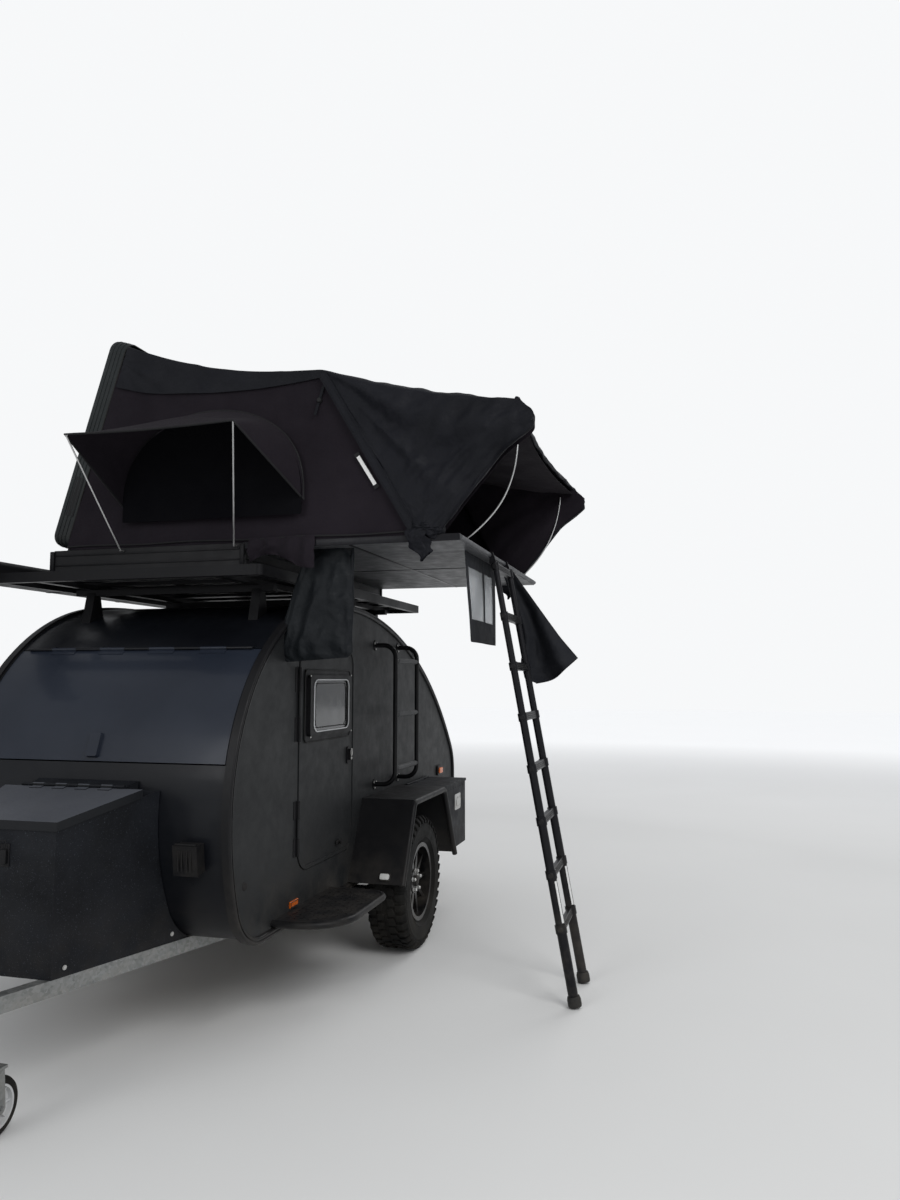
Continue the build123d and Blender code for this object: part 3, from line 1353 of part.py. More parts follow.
shell_mid = shell_point(0, SHELL_HEIGHT / 2)
shell_plane = Plane(origin=at(tent_mid_x, *shell_mid), x_dir=(1, 0, 0), z_dir=(0, -cos(lean), sin(lean)))
with BuildPart() as tent_shell:
    with BuildSketch(shell_plane):
        RectangleRounded(tent_length, SHELL_HEIGHT, SHELL_ROUND)
    extrude(amount=-SHELL_DEPTH)
    outward = Axis(shell_plane.origin, shell_plane.z_dir)
    fillet(tent_shell.faces().sort_by(outward)[-1].edges(), SHELL_EDGE_R)
    with BuildSketch(shell_plane.offset(-SHELL_WALL)):
        RectangleRounded(
            tent_length - 2 * SHELL_WALL,
            SHELL_HEIGHT - 2 * SHELL_WALL,
            SHELL_ROUND - SHELL_WALL,
        )
    extrude(amount=-SHELL_DEPTH, mode=Mode.SUBTRACT)
    for depth in SHELL_GROOVES:
        with BuildSketch(shell_plane.offset(-depth)):
            RectangleRounded(tent_length, SHELL_HEIGHT, SHELL_ROUND)
            RectangleRounded(
                tent_length - 2 * SHELL_GROOVE_DEPTH,
                SHELL_HEIGHT - 2 * SHELL_GROOVE_DEPTH,
                SHELL_ROUND - SHELL_GROOVE_DEPTH,
                mode=Mode.SUBTRACT,
            )
        extrude(amount=-SHELL_GROOVE_W, mode=Mode.SUBTRACT)
    with BuildSketch(cross_plane(tent_mid_x + tent_length / 2 - TENT_HINGE_INSET)):
        with Locations((TENT_RIGHT_Y - TENT_HINGE_R - 1, tray_top)):
            Circle(TENT_HINGE_R)
        with Locations(shell_point(SHELL_LEAF_IN, SHELL_WALL)):
            Circle(SHELL_WALL)
        make_hull()
        with Locations((TENT_RIGHT_Y, tray_top)):
            Rectangle(LEAF_T, 2 * TENT_HINGE_R, align=(Align.MAX, Align.MAX))
    extrude(amount=2 * TENT_HINGE_INSET - tent_length)
save(tent_shell.part, "tent_shell")

# Canopy: tent walls, roof and porch as one open fabric shell over the floor
canopy_low = tray_top + SOFT_GAP
rim_depth = SHELL_DEPTH + SOFT_GAP
rim_low = (canopy_low - shell_point(rim_depth, 0)[1]) / cos(lean)
canopy_line = [
    shell_point(rim_depth, rim_low),
    shell_point(rim_depth, SHELL_HEIGHT),
    (RIDGE_Y, RIDGE_Z),
    (PORCH_Y, PORCH_Z),
]
canopy_foot = (CANOPY_FOOT_Y, canopy_low)
with BuildPart() as tent_canopy:
    with BuildSketch(cross_plane(TENT_FRONT_X - SOFT_GAP)):
        with BuildLine():
            Polyline(*canopy_line, canopy_foot, close=True)
        make_face()
    extrude(amount=-(tent_length - 2 * SOFT_GAP))
    with BuildSketch(cross_plane(TENT_FRONT_X - SOFT_GAP - CANOPY)):
        with BuildLine():
            inner_line = shifted(canopy_line, -CANOPY)
            porch_slope = (RIDGE_Z - PORCH_Z) / (PORCH_Y - RIDGE_Y)
            Polyline(
                (inner_line[0][0], canopy_low - CANOPY_CUT),
                *inner_line[:3],
                (PORCH_Y + CANOPY_CUT, inner_line[3][1] - CANOPY_CUT * porch_slope),
                (CANOPY_FOOT_Y + CANOPY_CUT, canopy_low - CANOPY_CUT),
                close=True,
            )
        make_face()
    extrude(amount=-(tent_length - 2 * SOFT_GAP - 2 * CANOPY), mode=Mode.SUBTRACT)
save(tent_canopy.part, "tent_canopy")

# Window awning on the canopy's front wall: a hood with two gussets, held out by two rods
hood_top = (TENT_FRONT_X + SOFT_GAP, HOOD_TOP_Z)
hood_tip = (HOOD_TIP_X, HOOD_TIP_Z)
hood_foot = (TENT_FRONT_X + SOFT_GAP, HOOD_FOOT_Z)
hood_slope = (HOOD_TOP_Z - HOOD_TIP_Z) / (hood_tip[0] - hood_top[0])
with BuildPart() as window_awning:
    with BuildSketch(side_plane(HOOD_LEFT_Y)):
        with BuildLine():
            Polyline(hood_top, hood_tip, hood_foot, close=True)
        make_face()
    extrude(amount=HOOD_LEFT_Y - HOOD_RIGHT_Y)
    with BuildSketch(side_plane(HOOD_LEFT_Y - HOOD_CLOTH)):
        with BuildLine():
            Polyline(
                (hood_top[0] - HOOD_CUT, hood_top[1] + HOOD_CUT * hood_slope - HOOD_CLOTH),
                (hood_tip[0] + HOOD_CUT, hood_tip[1] - HOOD_CUT * hood_slope - HOOD_CLOTH),
                (hood_foot[0] - HOOD_CUT, hood_foot[1] - 3 * HOOD_CUT),
                close=True,
            )
        make_face()
    extrude(amount=HOOD_LEFT_Y - HOOD_RIGHT_Y - 2 * HOOD_CLOTH, mode=Mode.SUBTRACT)
save(window_awning.part, "window_awning")
with BuildPart() as awning_rods:
    rod_tip_z = HOOD_TIP_Z + 2 * ROD_R * hood_slope - HOOD_CLOTH - ROD_R - SOFT_GAP
    for y, foot_y in ((HOOD_LEFT_Y - ROD_INSET, ROD_FOOT_Y[0]), (HOOD_RIGHT_Y + ROD_INSET, ROD_FOOT_Y[1])):
        rod_foot = at(TENT_FRONT_X, foot_y, tray_top - TENT_FLOOR / 2)
        rod_tip = at(HOOD_TIP_X - 2 * ROD_R, y, rod_tip_z)
        with BuildLine() as rod_line:
            Polyline(rod_foot, (rod_foot[0] + ROD_OFFSET, rod_foot[1], rod_foot[2]), rod_tip)
        with BuildSketch(Plane(origin=rod_line.line @ 0, z_dir=rod_line.line % 0)):
            Circle(ROD_R)
        sweep(transition=Transition.RIGHT)
save(awning_rods.part, "awning_rods")

# Loose cloth at the tent's edge: a hanging bag, a pocket organizer and a flap
with BuildPart() as hanging_bag:
    with BuildSketch(cross_plane(TENT_FRONT_X - BAG_BACK)):
        with BuildLine():
            Polyline(*BAG_OUTLINE, close=True)
        make_face()
    extrude(amount=-BAG_THICKNESS)
cloth_y = TENT_LEFT_Y - ORGANIZER_IN
with BuildPart() as organizer:
    with BuildSketch(side_plane(cloth_y + CLOTH_THICKNESS)):
        with BuildLine():
            Polyline(*ORGANIZER_OUTLINE, close=True)
        make_face()
    extrude(amount=CLOTH_THICKNESS)
with BuildPart() as door_flap:
    with BuildSketch(cross_plane(FLAP_X)):
        with BuildLine():
            Polyline(*FLAP_OUTLINE, close=True)
        make_face()
    extrude(amount=-CLOTH_THICKNESS)
    add(hanging_bag.part)
    add(organizer.part)
save(door_flap.part, "loose_cloth")

# Telescopic ladder, leaning on the tent's outer edge
ladder_length = ((LADDER_FOOT_Y - LADDER_TOP_Y) ** 2 + LADDER_TOP_Z**2) ** 0.5
ladder_plane = Plane(
    origin=at(LADDER_X, LADDER_FOOT_Y, 0),
    x_dir=(1, 0, 0),
    z_dir=(0, LADDER_TOP_Y - LADDER_FOOT_Y, LADDER_TOP_Z),
)
edge_tube = (TENT_LEFT_Y, tray_top - TENT_FLOOR / 2)
ladder_step = (ladder_length - LADDER_FIRST) / LADDER_RUNGS
with BuildPart() as tent_ladder:
    for index in range(LADDER_RUNGS):
        radius = LADDER_RAIL_R[0] - index * (LADDER_RAIL_R[0] - LADDER_RAIL_R[1]) / (LADDER_RUNGS - 1)
        low = LADDER_FIRST + index * ladder_step if index else LADDER_FOOT_LIFT
        high = LADDER_FIRST + (index + 1) * ladder_step
        with BuildSketch(ladder_plane.offset(low)):
            with Locations((-LADDER_HALF, 0), (LADDER_HALF, 0)):
                Circle(radius)
        extrude(amount=high - low)
        with BuildSketch(ladder_plane.offset(high - LADDER_RUNG_W)):
            with Locations((-LADDER_HALF, 0), (LADDER_HALF, 0)):
                Circle(radius + LADDER_COLLAR)
            Rectangle(2 * LADDER_HALF, LADDER_RUNG_H)
        extrude(amount=LADDER_RUNG_W)
    with BuildSketch(ladder_plane.offset(LADDER_FOOT_LIFT)):
        with Locations((-LADDER_HALF, 0), (LADDER_HALF, 0)):
            Circle(LADDER_RAIL_R[0] + LADDER_COLLAR)
    extrude(amount=LADDER_SHOE)
    for x in (LADDER_X - LADDER_HALF, LADDER_X + LADDER_HALF):
        with BuildSketch(cross_plane(x + LADDER_HOOK / 2)):
            with Locations(edge_tube):
                Circle(TENT_EDGE_R + LADDER_HOOK)
            with Locations((LADDER_TOP_Y, LADDER_TOP_Z - LADDER_RAIL_R[1])):
                Circle(LADDER_RAIL_R[1] - 2)
            make_hull()
            with Locations(edge_tube):
                Circle(TENT_EDGE_R, mode=Mode.SUBTRACT)
                Rectangle(LADDER_MOUTH, LADDER_MOUTH, align=(Align.MAX, Align.CENTER), mode=Mode.SUBTRACT)
        extrude(amount=-LADDER_HOOK)
save(tent_ladder.part, "tent_ladder")

# Jockey wheel: clamp and outer tube on the left rail, a sliding stem, a swivelling fork and a wheel


def rail_side(x):
    """Y of the left rail's outer face at an X on the drawbar."""
    return rail_outer[0][1] + (rail_outer[0][0] - x) * RAIL_SLOPE


jockey_y = rail_side(JOCKEY_X) + JOCKEY_OUT
jockey_low, jockey_high = JOCKEY_OUTER_Z
with BuildPart() as jockey_clamp:
    with BuildSketch(level(jockey_low)):
        with Locations((JOCKEY_X, jockey_y)):
            Circle(JOCKEY_OUTER_R)
            Circle(JOCKEY_INNER_R + JOCKEY_CLEARANCE, mode=Mode.SUBTRACT)
    extrude(amount=jockey_high - jockey_low)
    with BuildSketch(level(jockey_high)):
        with Locations((JOCKEY_X, jockey_y)):
            Circle(JOCKEY_OUTER_R + JOCKEY_CAP_OVER)
    extrude(amount=JOCKEY_CAP)
    crank_z = jockey_high + JOCKEY_CAP + JOCKEY_SPINDLE[1]
    with Locations(at(JOCKEY_X, jockey_y, jockey_high + JOCKEY_CAP)):
        Cylinder(*JOCKEY_SPINDLE, align=(Align.CENTER, Align.CENTER, Align.MIN))
    with Locations(at(JOCKEY_X + JOCKEY_CRANK / 2, jockey_y, crank_z)):
        Box(
            JOCKEY_CRANK + JOCKEY_CRANK_W,
            JOCKEY_CRANK_W,
            JOCKEY_SPINDLE[0],
            align=(Align.CENTER, Align.CENTER, Align.MAX),
        )
    with Locations(at(JOCKEY_X + JOCKEY_CRANK, jockey_y, crank_z)):
        Cylinder(*JOCKEY_GRIP, align=(Align.CENTER, Align.CENTER, Align.MIN))
    clamp_z = RAIL_TOP_Z - RAIL_HEIGHT / 2
    with BuildSketch(level(clamp_z - JOCKEY_CLAMP_H / 2)):
        with Locations((JOCKEY_X, jockey_y)):
            Circle(JOCKEY_OUTER_R + JOCKEY_CLAMP_WALL)
        Polygon(
            (JOCKEY_X - JOCKEY_CLAMP_HALF, jockey_y),
            (JOCKEY_X - JOCKEY_CLAMP_HALF, rail_side(JOCKEY_X - JOCKEY_CLAMP_HALF)),
            (JOCKEY_X + JOCKEY_CLAMP_HALF, rail_side(JOCKEY_X + JOCKEY_CLAMP_HALF)),
            (JOCKEY_X + JOCKEY_CLAMP_HALF, jockey_y),
            align=None,
        )
        with Locations((JOCKEY_X, jockey_y)):
            Circle(JOCKEY_OUTER_R, mode=Mode.SUBTRACT)
    extrude(amount=JOCKEY_CLAMP_H)
save(jockey_clamp.part, "jockey_clamp")
with BuildPart() as jockey_stem:
    with BuildSketch(level(JOCKEY_FORK_TOP_Z + JOCKEY_CLEARANCE)):
        with Locations((JOCKEY_X, jockey_y)):
            Circle(JOCKEY_INNER_R)
            Circle(JOCKEY_INNER_R - 3, mode=Mode.SUBTRACT)
    extrude(amount=JOCKEY_STEM_TOP_Z - JOCKEY_FORK_TOP_Z)
save(jockey_stem.part, "jockey_stem")
jockey_wheel_x = JOCKEY_X - JOCKEY_TRAIL
fork_half = JOCKEY_WHEEL_W / 2 + RUNNING_GAP
with BuildPart() as jockey_fork:
    with Locations(at(JOCKEY_X + JOCKEY_FORK_NOSE, jockey_y, JOCKEY_FORK_TOP_Z)):
        Box(
            JOCKEY_FORK_NOSE + JOCKEY_TRAIL + JOCKEY_FORK_NOSE,
            2 * (fork_half + JOCKEY_FORK_PLATE),
            JOCKEY_FORK_CROWN,
            align=(Align.MAX, Align.CENTER, Align.MAX),
        )
    for side in (1, -1):
        with BuildSketch(side_plane(jockey_y + side * fork_half)):
            with Locations((jockey_wheel_x, JOCKEY_WHEEL_R)):
                Circle(JOCKEY_FORK_EYE)
            eye_z = JOCKEY_FORK_TOP_Z - JOCKEY_FORK_CROWN - 4
            with Locations((JOCKEY_X, eye_z), (jockey_wheel_x, eye_z)):
                Circle(JOCKEY_FORK_CROWN)
            make_hull()
        extrude(amount=-side * JOCKEY_FORK_PLATE)
    with Locations(at(jockey_wheel_x, jockey_y, JOCKEY_WHEEL_R)):
        Cylinder(JOCKEY_AXLE_R, 2 * (fork_half + JOCKEY_FORK_PLATE + JOCKEY_AXLE_OVER), rotation=(90, 0, 0))
save(jockey_fork.part, "jockey_fork")
jockey_axis = at(jockey_wheel_x, jockey_y, JOCKEY_WHEEL_R)
jockey_half = JOCKEY_WHEEL_W / 2
jockey_rim_r = JOCKEY_WHEEL_R - JOCKEY_TYRE
with BuildPart() as jockey_wheel:
    with BuildSketch(Plane(origin=jockey_axis, x_dir=(0, 1, 0), z_dir=(-1, 0, 0))):
        with BuildLine():
            Polyline(
                (-jockey_half, JOCKEY_AXLE_R + JOCKEY_CLEARANCE),
                (jockey_half, JOCKEY_AXLE_R + JOCKEY_CLEARANCE),
                (jockey_half, JOCKEY_HUB_R),
                (JOCKEY_WEB / 2, JOCKEY_HUB_R),
                (JOCKEY_WEB / 2, jockey_rim_r - JOCKEY_RIM),
                (jockey_half, jockey_rim_r - JOCKEY_RIM),
                (jockey_half, jockey_rim_r),
                (jockey_half - JOCKEY_RIM / 2, JOCKEY_WHEEL_R - JOCKEY_TYRE / 3),
                (jockey_half - JOCKEY_TYRE / 2, JOCKEY_WHEEL_R),
                (JOCKEY_TYRE / 2 - jockey_half, JOCKEY_WHEEL_R),
                (JOCKEY_RIM / 2 - jockey_half, JOCKEY_WHEEL_R - JOCKEY_TYRE / 3),
                (-jockey_half, jockey_rim_r),
                (-jockey_half, jockey_rim_r - JOCKEY_RIM),
                (-JOCKEY_WEB / 2, jockey_rim_r - JOCKEY_RIM),
                (-JOCKEY_WEB / 2, JOCKEY_HUB_R),
                (-jockey_half, JOCKEY_HUB_R),
                close=True,
            )
        make_face()
    revolve(axis=Axis(jockey_axis, (0, 1, 0)))
save(jockey_wheel.part, "jockey_wheel")

# Lamps and reflectors, seated on the panels that carry them
with BuildPart() as side_lamps:
    for side in (1, -1):
        with Locations(at(REFLECTOR_X, side * (BODY_HALF_WIDTH + REFLECTOR_SIZE[1] / 2), REFLECTOR_Z)):
            Box(*REFLECTOR_SIZE)
        outer_edges = side_lamps.faces().sort_by(Axis.Y)[-1 if side > 0 else 0].edges()
        fillet(outer_edges, REFLECTOR_ROUND)
save(side_lamps.part, "side_reflectors")
with BuildPart() as rear_lamps:
    for side in (1, -1):
        lamp_back = at(TAIL_X + SKIN_OUT, side * TAIL_LAMP_Y, TAIL_LAMP_Z)
        for inset, reach in ((0, TAIL_LAMP_T - TAIL_LENS), (TAIL_LENS_IN, TAIL_LAMP_T)):
            with BuildSketch(Plane(origin=lamp_back, x_dir=(0, 1, 0), z_dir=(-1, 0, 0))):
                RectangleRounded(TAIL_LAMP_W - 2 * inset, TAIL_LAMP_H - 2 * inset, TAIL_LAMP_R - inset)
            extrude(amount=reach)
save(rear_lamps.part, "rear_lamps")
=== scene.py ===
# %% [markdown]
# # A small teardrop camping trailer
# This lesson dresses the exact CAD model of a teardrop trailer with finishes, lights and fine pieces.
# The CAD nodes come in as the frame. They hold the true sizes, so nothing here moves or reshapes them.

import bpy
import bmesh
from math import cos, pi, radians, sin, tan
from mathutils import Matrix, Vector, noise


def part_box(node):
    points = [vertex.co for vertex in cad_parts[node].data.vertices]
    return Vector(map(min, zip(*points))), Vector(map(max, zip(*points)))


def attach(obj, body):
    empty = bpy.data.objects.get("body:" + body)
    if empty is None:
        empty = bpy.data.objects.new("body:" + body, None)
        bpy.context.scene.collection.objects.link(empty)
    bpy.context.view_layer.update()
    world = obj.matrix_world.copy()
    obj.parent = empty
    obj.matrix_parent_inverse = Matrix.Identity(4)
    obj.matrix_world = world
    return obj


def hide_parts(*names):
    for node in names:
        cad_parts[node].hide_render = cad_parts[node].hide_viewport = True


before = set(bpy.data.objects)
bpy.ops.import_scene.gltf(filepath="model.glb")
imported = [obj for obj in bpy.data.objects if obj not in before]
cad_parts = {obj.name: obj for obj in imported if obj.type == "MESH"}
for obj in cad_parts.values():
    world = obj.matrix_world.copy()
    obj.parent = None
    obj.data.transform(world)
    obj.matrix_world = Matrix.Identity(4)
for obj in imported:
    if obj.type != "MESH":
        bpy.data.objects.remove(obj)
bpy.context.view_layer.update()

# %% [markdown]
# The tow ball is the origin of the frame. A trailer is easier to measure from its axle and from the ground,
# so one helper turns such a place into the frame, in metres: X ahead of the axle, Y to the left, Z up.

# %% Places on the trailer
AXLE_X = -2.95
GROUND_Z = -0.43


def at(x, y, z):
    """A point measured ahead of the axle and above the ground."""
    return Vector((AXLE_X + x, y, GROUND_Z + z))


# %% [markdown]
# The picture was taken from low down by the left front corner, looking a little up at the tent.
# The camera stands there with a wide lens, and its height of view is the long side of the picture.

# %% Camera
CAMERA_PLACE = (2.114, 2.505, 1.112)
CAMERA_HEADING = radians(15.06)
CAMERA_PITCH = radians(5.1)
CAMERA_LENS_MM = 26.61
SENSOR_HEIGHT_MM = 36.0
camera_data = bpy.data.cameras.new("camera")
camera_data.sensor_fit = "VERTICAL"
camera_data.sensor_height = SENSOR_HEIGHT_MM
camera_data.lens = CAMERA_LENS_MM
camera = bpy.data.objects.new("camera", camera_data)
camera.location = CAMERA_PLACE
camera_aim = Vector((
    -cos(CAMERA_HEADING) * cos(CAMERA_PITCH),
    -sin(CAMERA_HEADING) * cos(CAMERA_PITCH),
    sin(CAMERA_PITCH),
))
camera.rotation_euler = camera_aim.to_track_quat("-Z", "Y").to_euler()
bpy.context.collection.objects.link(camera)
bpy.context.scene.camera = camera
bpy.context.scene.view_settings.view_transform = "Standard"

# %% [markdown]
# A dark vehicle shows its form by what it mirrors, so the lamps are large and soft, and the sky is pale.
# The lamps stay at a plain level. The background is white because the sky shows white to the camera and
# through glass, while it lights the trailer less than that.

# %% Lamps and sky
LAMPS = (
    # name, place, aim, width, watts
    ("key_lamp", (3.5, 7.5, 7.0), (-2.4, 0.0, 0.8), 5.0, 430),
    ("front_lamp", (7.0, -2.5, 4.5), (-2.0, 0.0, 0.9), 4.0, 150),
    ("back_lamp", (-9.0, 3.0, 6.5), (-3.0, 0.0, 1.2), 5.0, 170),
)
for name, place, aim, width, watts in LAMPS:
    lamp_data = bpy.data.lights.new(name, "AREA")
    lamp_data.size = width
    lamp_data.energy = watts
    lamp = bpy.data.objects.new(name, lamp_data)
    lamp.location = place
    lamp.rotation_euler = (Vector(aim) - Vector(place)).to_track_quat("-Z", "Y").to_euler()
    bpy.context.collection.objects.link(lamp)

sky = bpy.data.worlds.new("sky")
sky.use_nodes = True
bpy.context.scene.world = sky
sky_nodes, sky_links = sky.node_tree.nodes, sky.node_tree.links
sky_light = sky_nodes["Background"]
sky_seen = sky_nodes.new("ShaderNodeBackground")
for background, colour, strength in (
    (sky_light, (0.95, 0.97, 1.0, 1.0), 0.5),
    (sky_seen, (0.93, 0.94, 0.95, 1.0), 1.0),
):
    background.inputs["Color"].default_value = colour
    background.inputs["Strength"].default_value = strength
rays = sky_nodes.new("ShaderNodeLightPath")
seen_mask = sky_nodes.new("ShaderNodeMath")
seen_mask.operation = "MAXIMUM"
sky_links.new(rays.outputs["Is Camera Ray"], seen_mask.inputs[0])
sky_links.new(rays.outputs["Is Transmission Ray"], seen_mask.inputs[1])
sky_mix = sky_nodes.new("ShaderNodeMixShader")
sky_links.new(seen_mask.outputs[0], sky_mix.inputs["Fac"])
sky_links.new(sky_light.outputs[0], sky_mix.inputs[1])
sky_links.new(sky_seen.outputs[0], sky_mix.inputs[2])
sky_links.new(sky_mix.outputs[0], sky_nodes["World Output"].inputs["Surface"])

# %% [markdown]
# ## Patterns that many finishes share
# Real surfaces are never one even colour. Paint drifts slowly in tone, has a fine grain, and gathers dust
# near the road. Each effect is a node group that is built once, and each finish gives it its own values.

# %% Group maker
def new_group(name, inputs, outputs):
    """An empty shader group with its sockets. Returns the tree and its input and output nodes."""
    tree = bpy.data.node_groups.new(name, "ShaderNodeTree")
    for label, kind, value in inputs:
        socket = tree.interface.new_socket(name=label, in_out="INPUT", socket_type=f"NodeSocket{kind}")
        if value is not None:
            socket.default_value = value
    for label, kind in outputs:
        tree.interface.new_socket(name=label, in_out="OUTPUT", socket_type=f"NodeSocket{kind}")
    return tree, tree.nodes.new("NodeGroupInput"), tree.nodes.new("NodeGroupOutput")


def feed(tree, socket, value):
    """Give a socket its value: a number, a colour of three numbers, or a link from another socket."""
    if isinstance(value, (int, float)):
        socket.default_value = value
    elif isinstance(value, tuple):
        socket.default_value = (*value, 1.0)
    else:
        tree.links.new(value, socket)


def add_noise(tree, vector, size, detail=3.0, rough=0.5):
    """A noise texture whose size comes from a group input or is a number."""
    texture = tree.nodes.new("ShaderNodeTexNoise")
    texture.inputs["Detail"].default_value = detail
    texture.inputs["Roughness"].default_value = rough
    tree.links.new(vector, texture.inputs["Vector"])
    feed(tree, texture.inputs["Scale"], size)
    return texture.outputs["Fac"]


def add_range(tree, value, low, high, to_low=0.0, to_high=1.0):
    """The value moved from one range to another, and held inside it."""
    node = tree.nodes.new("ShaderNodeMapRange")
    tree.links.new(value, node.inputs["Value"])
    for label, number in (("From Min", low), ("From Max", high), ("To Min", to_low), ("To Max", to_high)):
        feed(tree, node.inputs[label], number)
    return node.outputs["Result"]


def add_mix(tree, mask, first, second):
    """A colour between two others, by a mask."""
    node = tree.nodes.new("ShaderNodeMix")
    node.data_type = "RGBA"
    tree.links.new(mask, node.inputs["Factor"])
    feed(tree, node.inputs["A"], first)
    feed(tree, node.inputs["B"], second)
    return node.outputs["Result"]


def add_math(tree, operation, first, second):
    """One sum of two values, each a socket or a number."""
    node = tree.nodes.new("ShaderNodeMath")
    node.operation = operation
    feed(tree, node.inputs[0], first)
    feed(tree, node.inputs[1], second)
    return node.outputs[0]


# %% [markdown]
# The coating group mixes two tones slowly over the panel, puts small specks on it, and gives a grain for
# the bump. Powder coat, moulded plastic and bed liner differ only in the sizes and strengths they give it.

# %% Coating group
coating, coat_in, coat_out = new_group(
    "coating",
    (
        ("Vector", "Vector", None),
        ("Tone A", "Color", (0.1, 0.1, 0.1, 1.0)),
        ("Tone B", "Color", (0.12, 0.12, 0.12, 1.0)),
        ("Speck", "Color", (0.2, 0.2, 0.2, 1.0)),
        ("Patch Size", "Float", 2.0),
        ("Grain Size", "Float", 300.0),
        ("Speck Share", "Float", 0.0),
        ("Rough Low", "Float", 0.4),
        ("Rough High", "Float", 0.5),
    ),
    (("Color", "Color"), ("Roughness", "Float"), ("Height", "Float")),
)
SPECK_EDGE = 0.78
coat = coat_in.outputs
patch = add_noise(coating, coat["Vector"], coat["Patch Size"], 4.0)
patch_mask = add_range(coating, patch, 0.35, 0.65)
tone = add_mix(coating, patch_mask, coat["Tone A"], coat["Tone B"])
grain = add_noise(coating, coat["Vector"], coat["Grain Size"], 2.0)
speck_edge = add_math(coating, "SUBTRACT", SPECK_EDGE, coat["Speck Share"])
speck_mask = add_math(coating, "GREATER_THAN", grain, speck_edge)
speckled = add_mix(coating, speck_mask, tone, coat["Speck"])
fine_patch = add_noise(coating, coat["Vector"], 14.0, 5.0, 0.6)
shine = add_range(coating, fine_patch, 0.3, 0.7, coat["Rough Low"], coat["Rough High"])
for label, value in (("Color", speckled), ("Roughness", shine), ("Height", grain)):
    coating.links.new(value, coat_out.inputs[label])

# %% [markdown]
# Road dust lies thickest low down and where the wheels throw it, and breaks up into patches above.
# The group reads the height of the surface in the frame, and the dust fades out up to the given top.

# %% Road dust group
dusting, dust_in, dust_out = new_group(
    "road_dust",
    (
        ("Vector", "Vector", None),
        ("Color", "Color", (0.1, 0.1, 0.1, 1.0)),
        ("Roughness", "Float", 0.5),
        ("Amount", "Float", 0.4),
        ("Top", "Float", 0.3),
    ),
    (("Color", "Color"), ("Roughness", "Float")),
)
DUST_COLOUR = (0.30, 0.26, 0.21)
DUST_ROUGHNESS = 0.9
dust = dust_in.outputs
split = dusting.nodes.new("ShaderNodeSeparateXYZ")
dusting.links.new(dust["Vector"], split.inputs[0])
low_mask = add_range(dusting, split.outputs["Z"], dust["Top"], GROUND_Z)
clouds = add_range(dusting, add_noise(dusting, dust["Vector"], 7.0, 6.0, 0.65), 0.38, 0.72)
dust_mask = add_math(dusting, "MULTIPLY", add_math(dusting, "MULTIPLY", low_mask, clouds), dust["Amount"])
dusted = add_mix(dusting, dust_mask, dust["Color"], DUST_COLOUR)
dry = add_range(dusting, dust_mask, 0.0, 1.0, dust["Roughness"], DUST_ROUGHNESS)
dusting.links.new(dusted, dust_out.inputs["Color"])
dusting.links.new(dry, dust_out.inputs["Roughness"])

# %% [markdown]
# ## Painted, coated and moulded finishes
# One helper joins the two groups to the shader, so every finish below is only its own list of values.
# The shader itself stays in the material, with the numbers that are the same all over set on it.

# %% Finish maker
def set_inputs(node, values):
    """Set a node's inputs by name, each to a number or a colour."""
    for label, value in values.items():
        feed(node.id_data, node.inputs[label], value)


def place_group(material, tree, values):
    """The group in this material, with its own values."""
    node = material.node_tree.nodes.new("ShaderNodeGroup")
    node.node_tree = tree
    set_inputs(node, values)
    return node


def new_material(name):
    """A material with its shader and the Object coordinates of the piece."""
    material = bpy.data.materials.new(name)
    material.use_nodes = True
    nodes = material.node_tree.nodes
    place = nodes.new("ShaderNodeTexCoord").outputs["Object"]
    return material, nodes["Principled BSDF"], place


def add_bump(material, target, height, strength, distance):
    """A bump from a height, into the normal of the shader or of another bump."""
    bump = material.node_tree.nodes.new("ShaderNodeBump")
    set_inputs(bump, {"Strength": strength, "Distance": distance})
    material.node_tree.links.new(height, bump.inputs["Height"])
    material.node_tree.links.new(bump.outputs["Normal"], target.inputs["Normal"])
    return bump


def dust_over(material, place, colour, roughness, amount, top):
    """Road dust over a finish, into the shader's colour and roughness."""
    links, shader = material.node_tree.links, material.node_tree.nodes["Principled BSDF"]
    dirt = place_group(material, dusting, {"Amount": amount, "Top": top})
    for label, value in (("Vector", place), ("Color", colour), ("Roughness", roughness)):
        links.new(value, dirt.inputs[label])
    links.new(dirt.outputs["Color"], shader.inputs["Base Color"])
    links.new(dirt.outputs["Roughness"], shader.inputs["Roughness"])


def coated(
    name, tones, rough, grain, patch=2.0, specks=0.0, dust=0.25, dust_top=0.35,
    metal=0.0, coat=0.0, shine=0.2,
):
    """A painted, coated or moulded finish: tones = (tone A, tone B, speck), grain = (size, depth)."""
    material, shader, place = new_material(name)
    surface = place_group(material, coating, {
        "Tone A": tones[0],
        "Tone B": tones[1],
        "Speck": tones[2],
        "Patch Size": patch,
        "Grain Size": grain[0],
        "Speck Share": specks,
        "Rough Low": rough[0],
        "Rough High": rough[1],
    })
    material.node_tree.links.new(place, surface.inputs["Vector"])
    dust_over(material, place, surface.outputs["Color"], surface.outputs["Roughness"], dust, dust_top)
    set_inputs(shader, {
        "Metallic": metal, "Coat Weight": coat, "Coat Roughness": 0.12, "Specular IOR Level": shine,
    })
    add_bump(material, shader, surface.outputs["Height"], 0.35, grain[1])
    return material


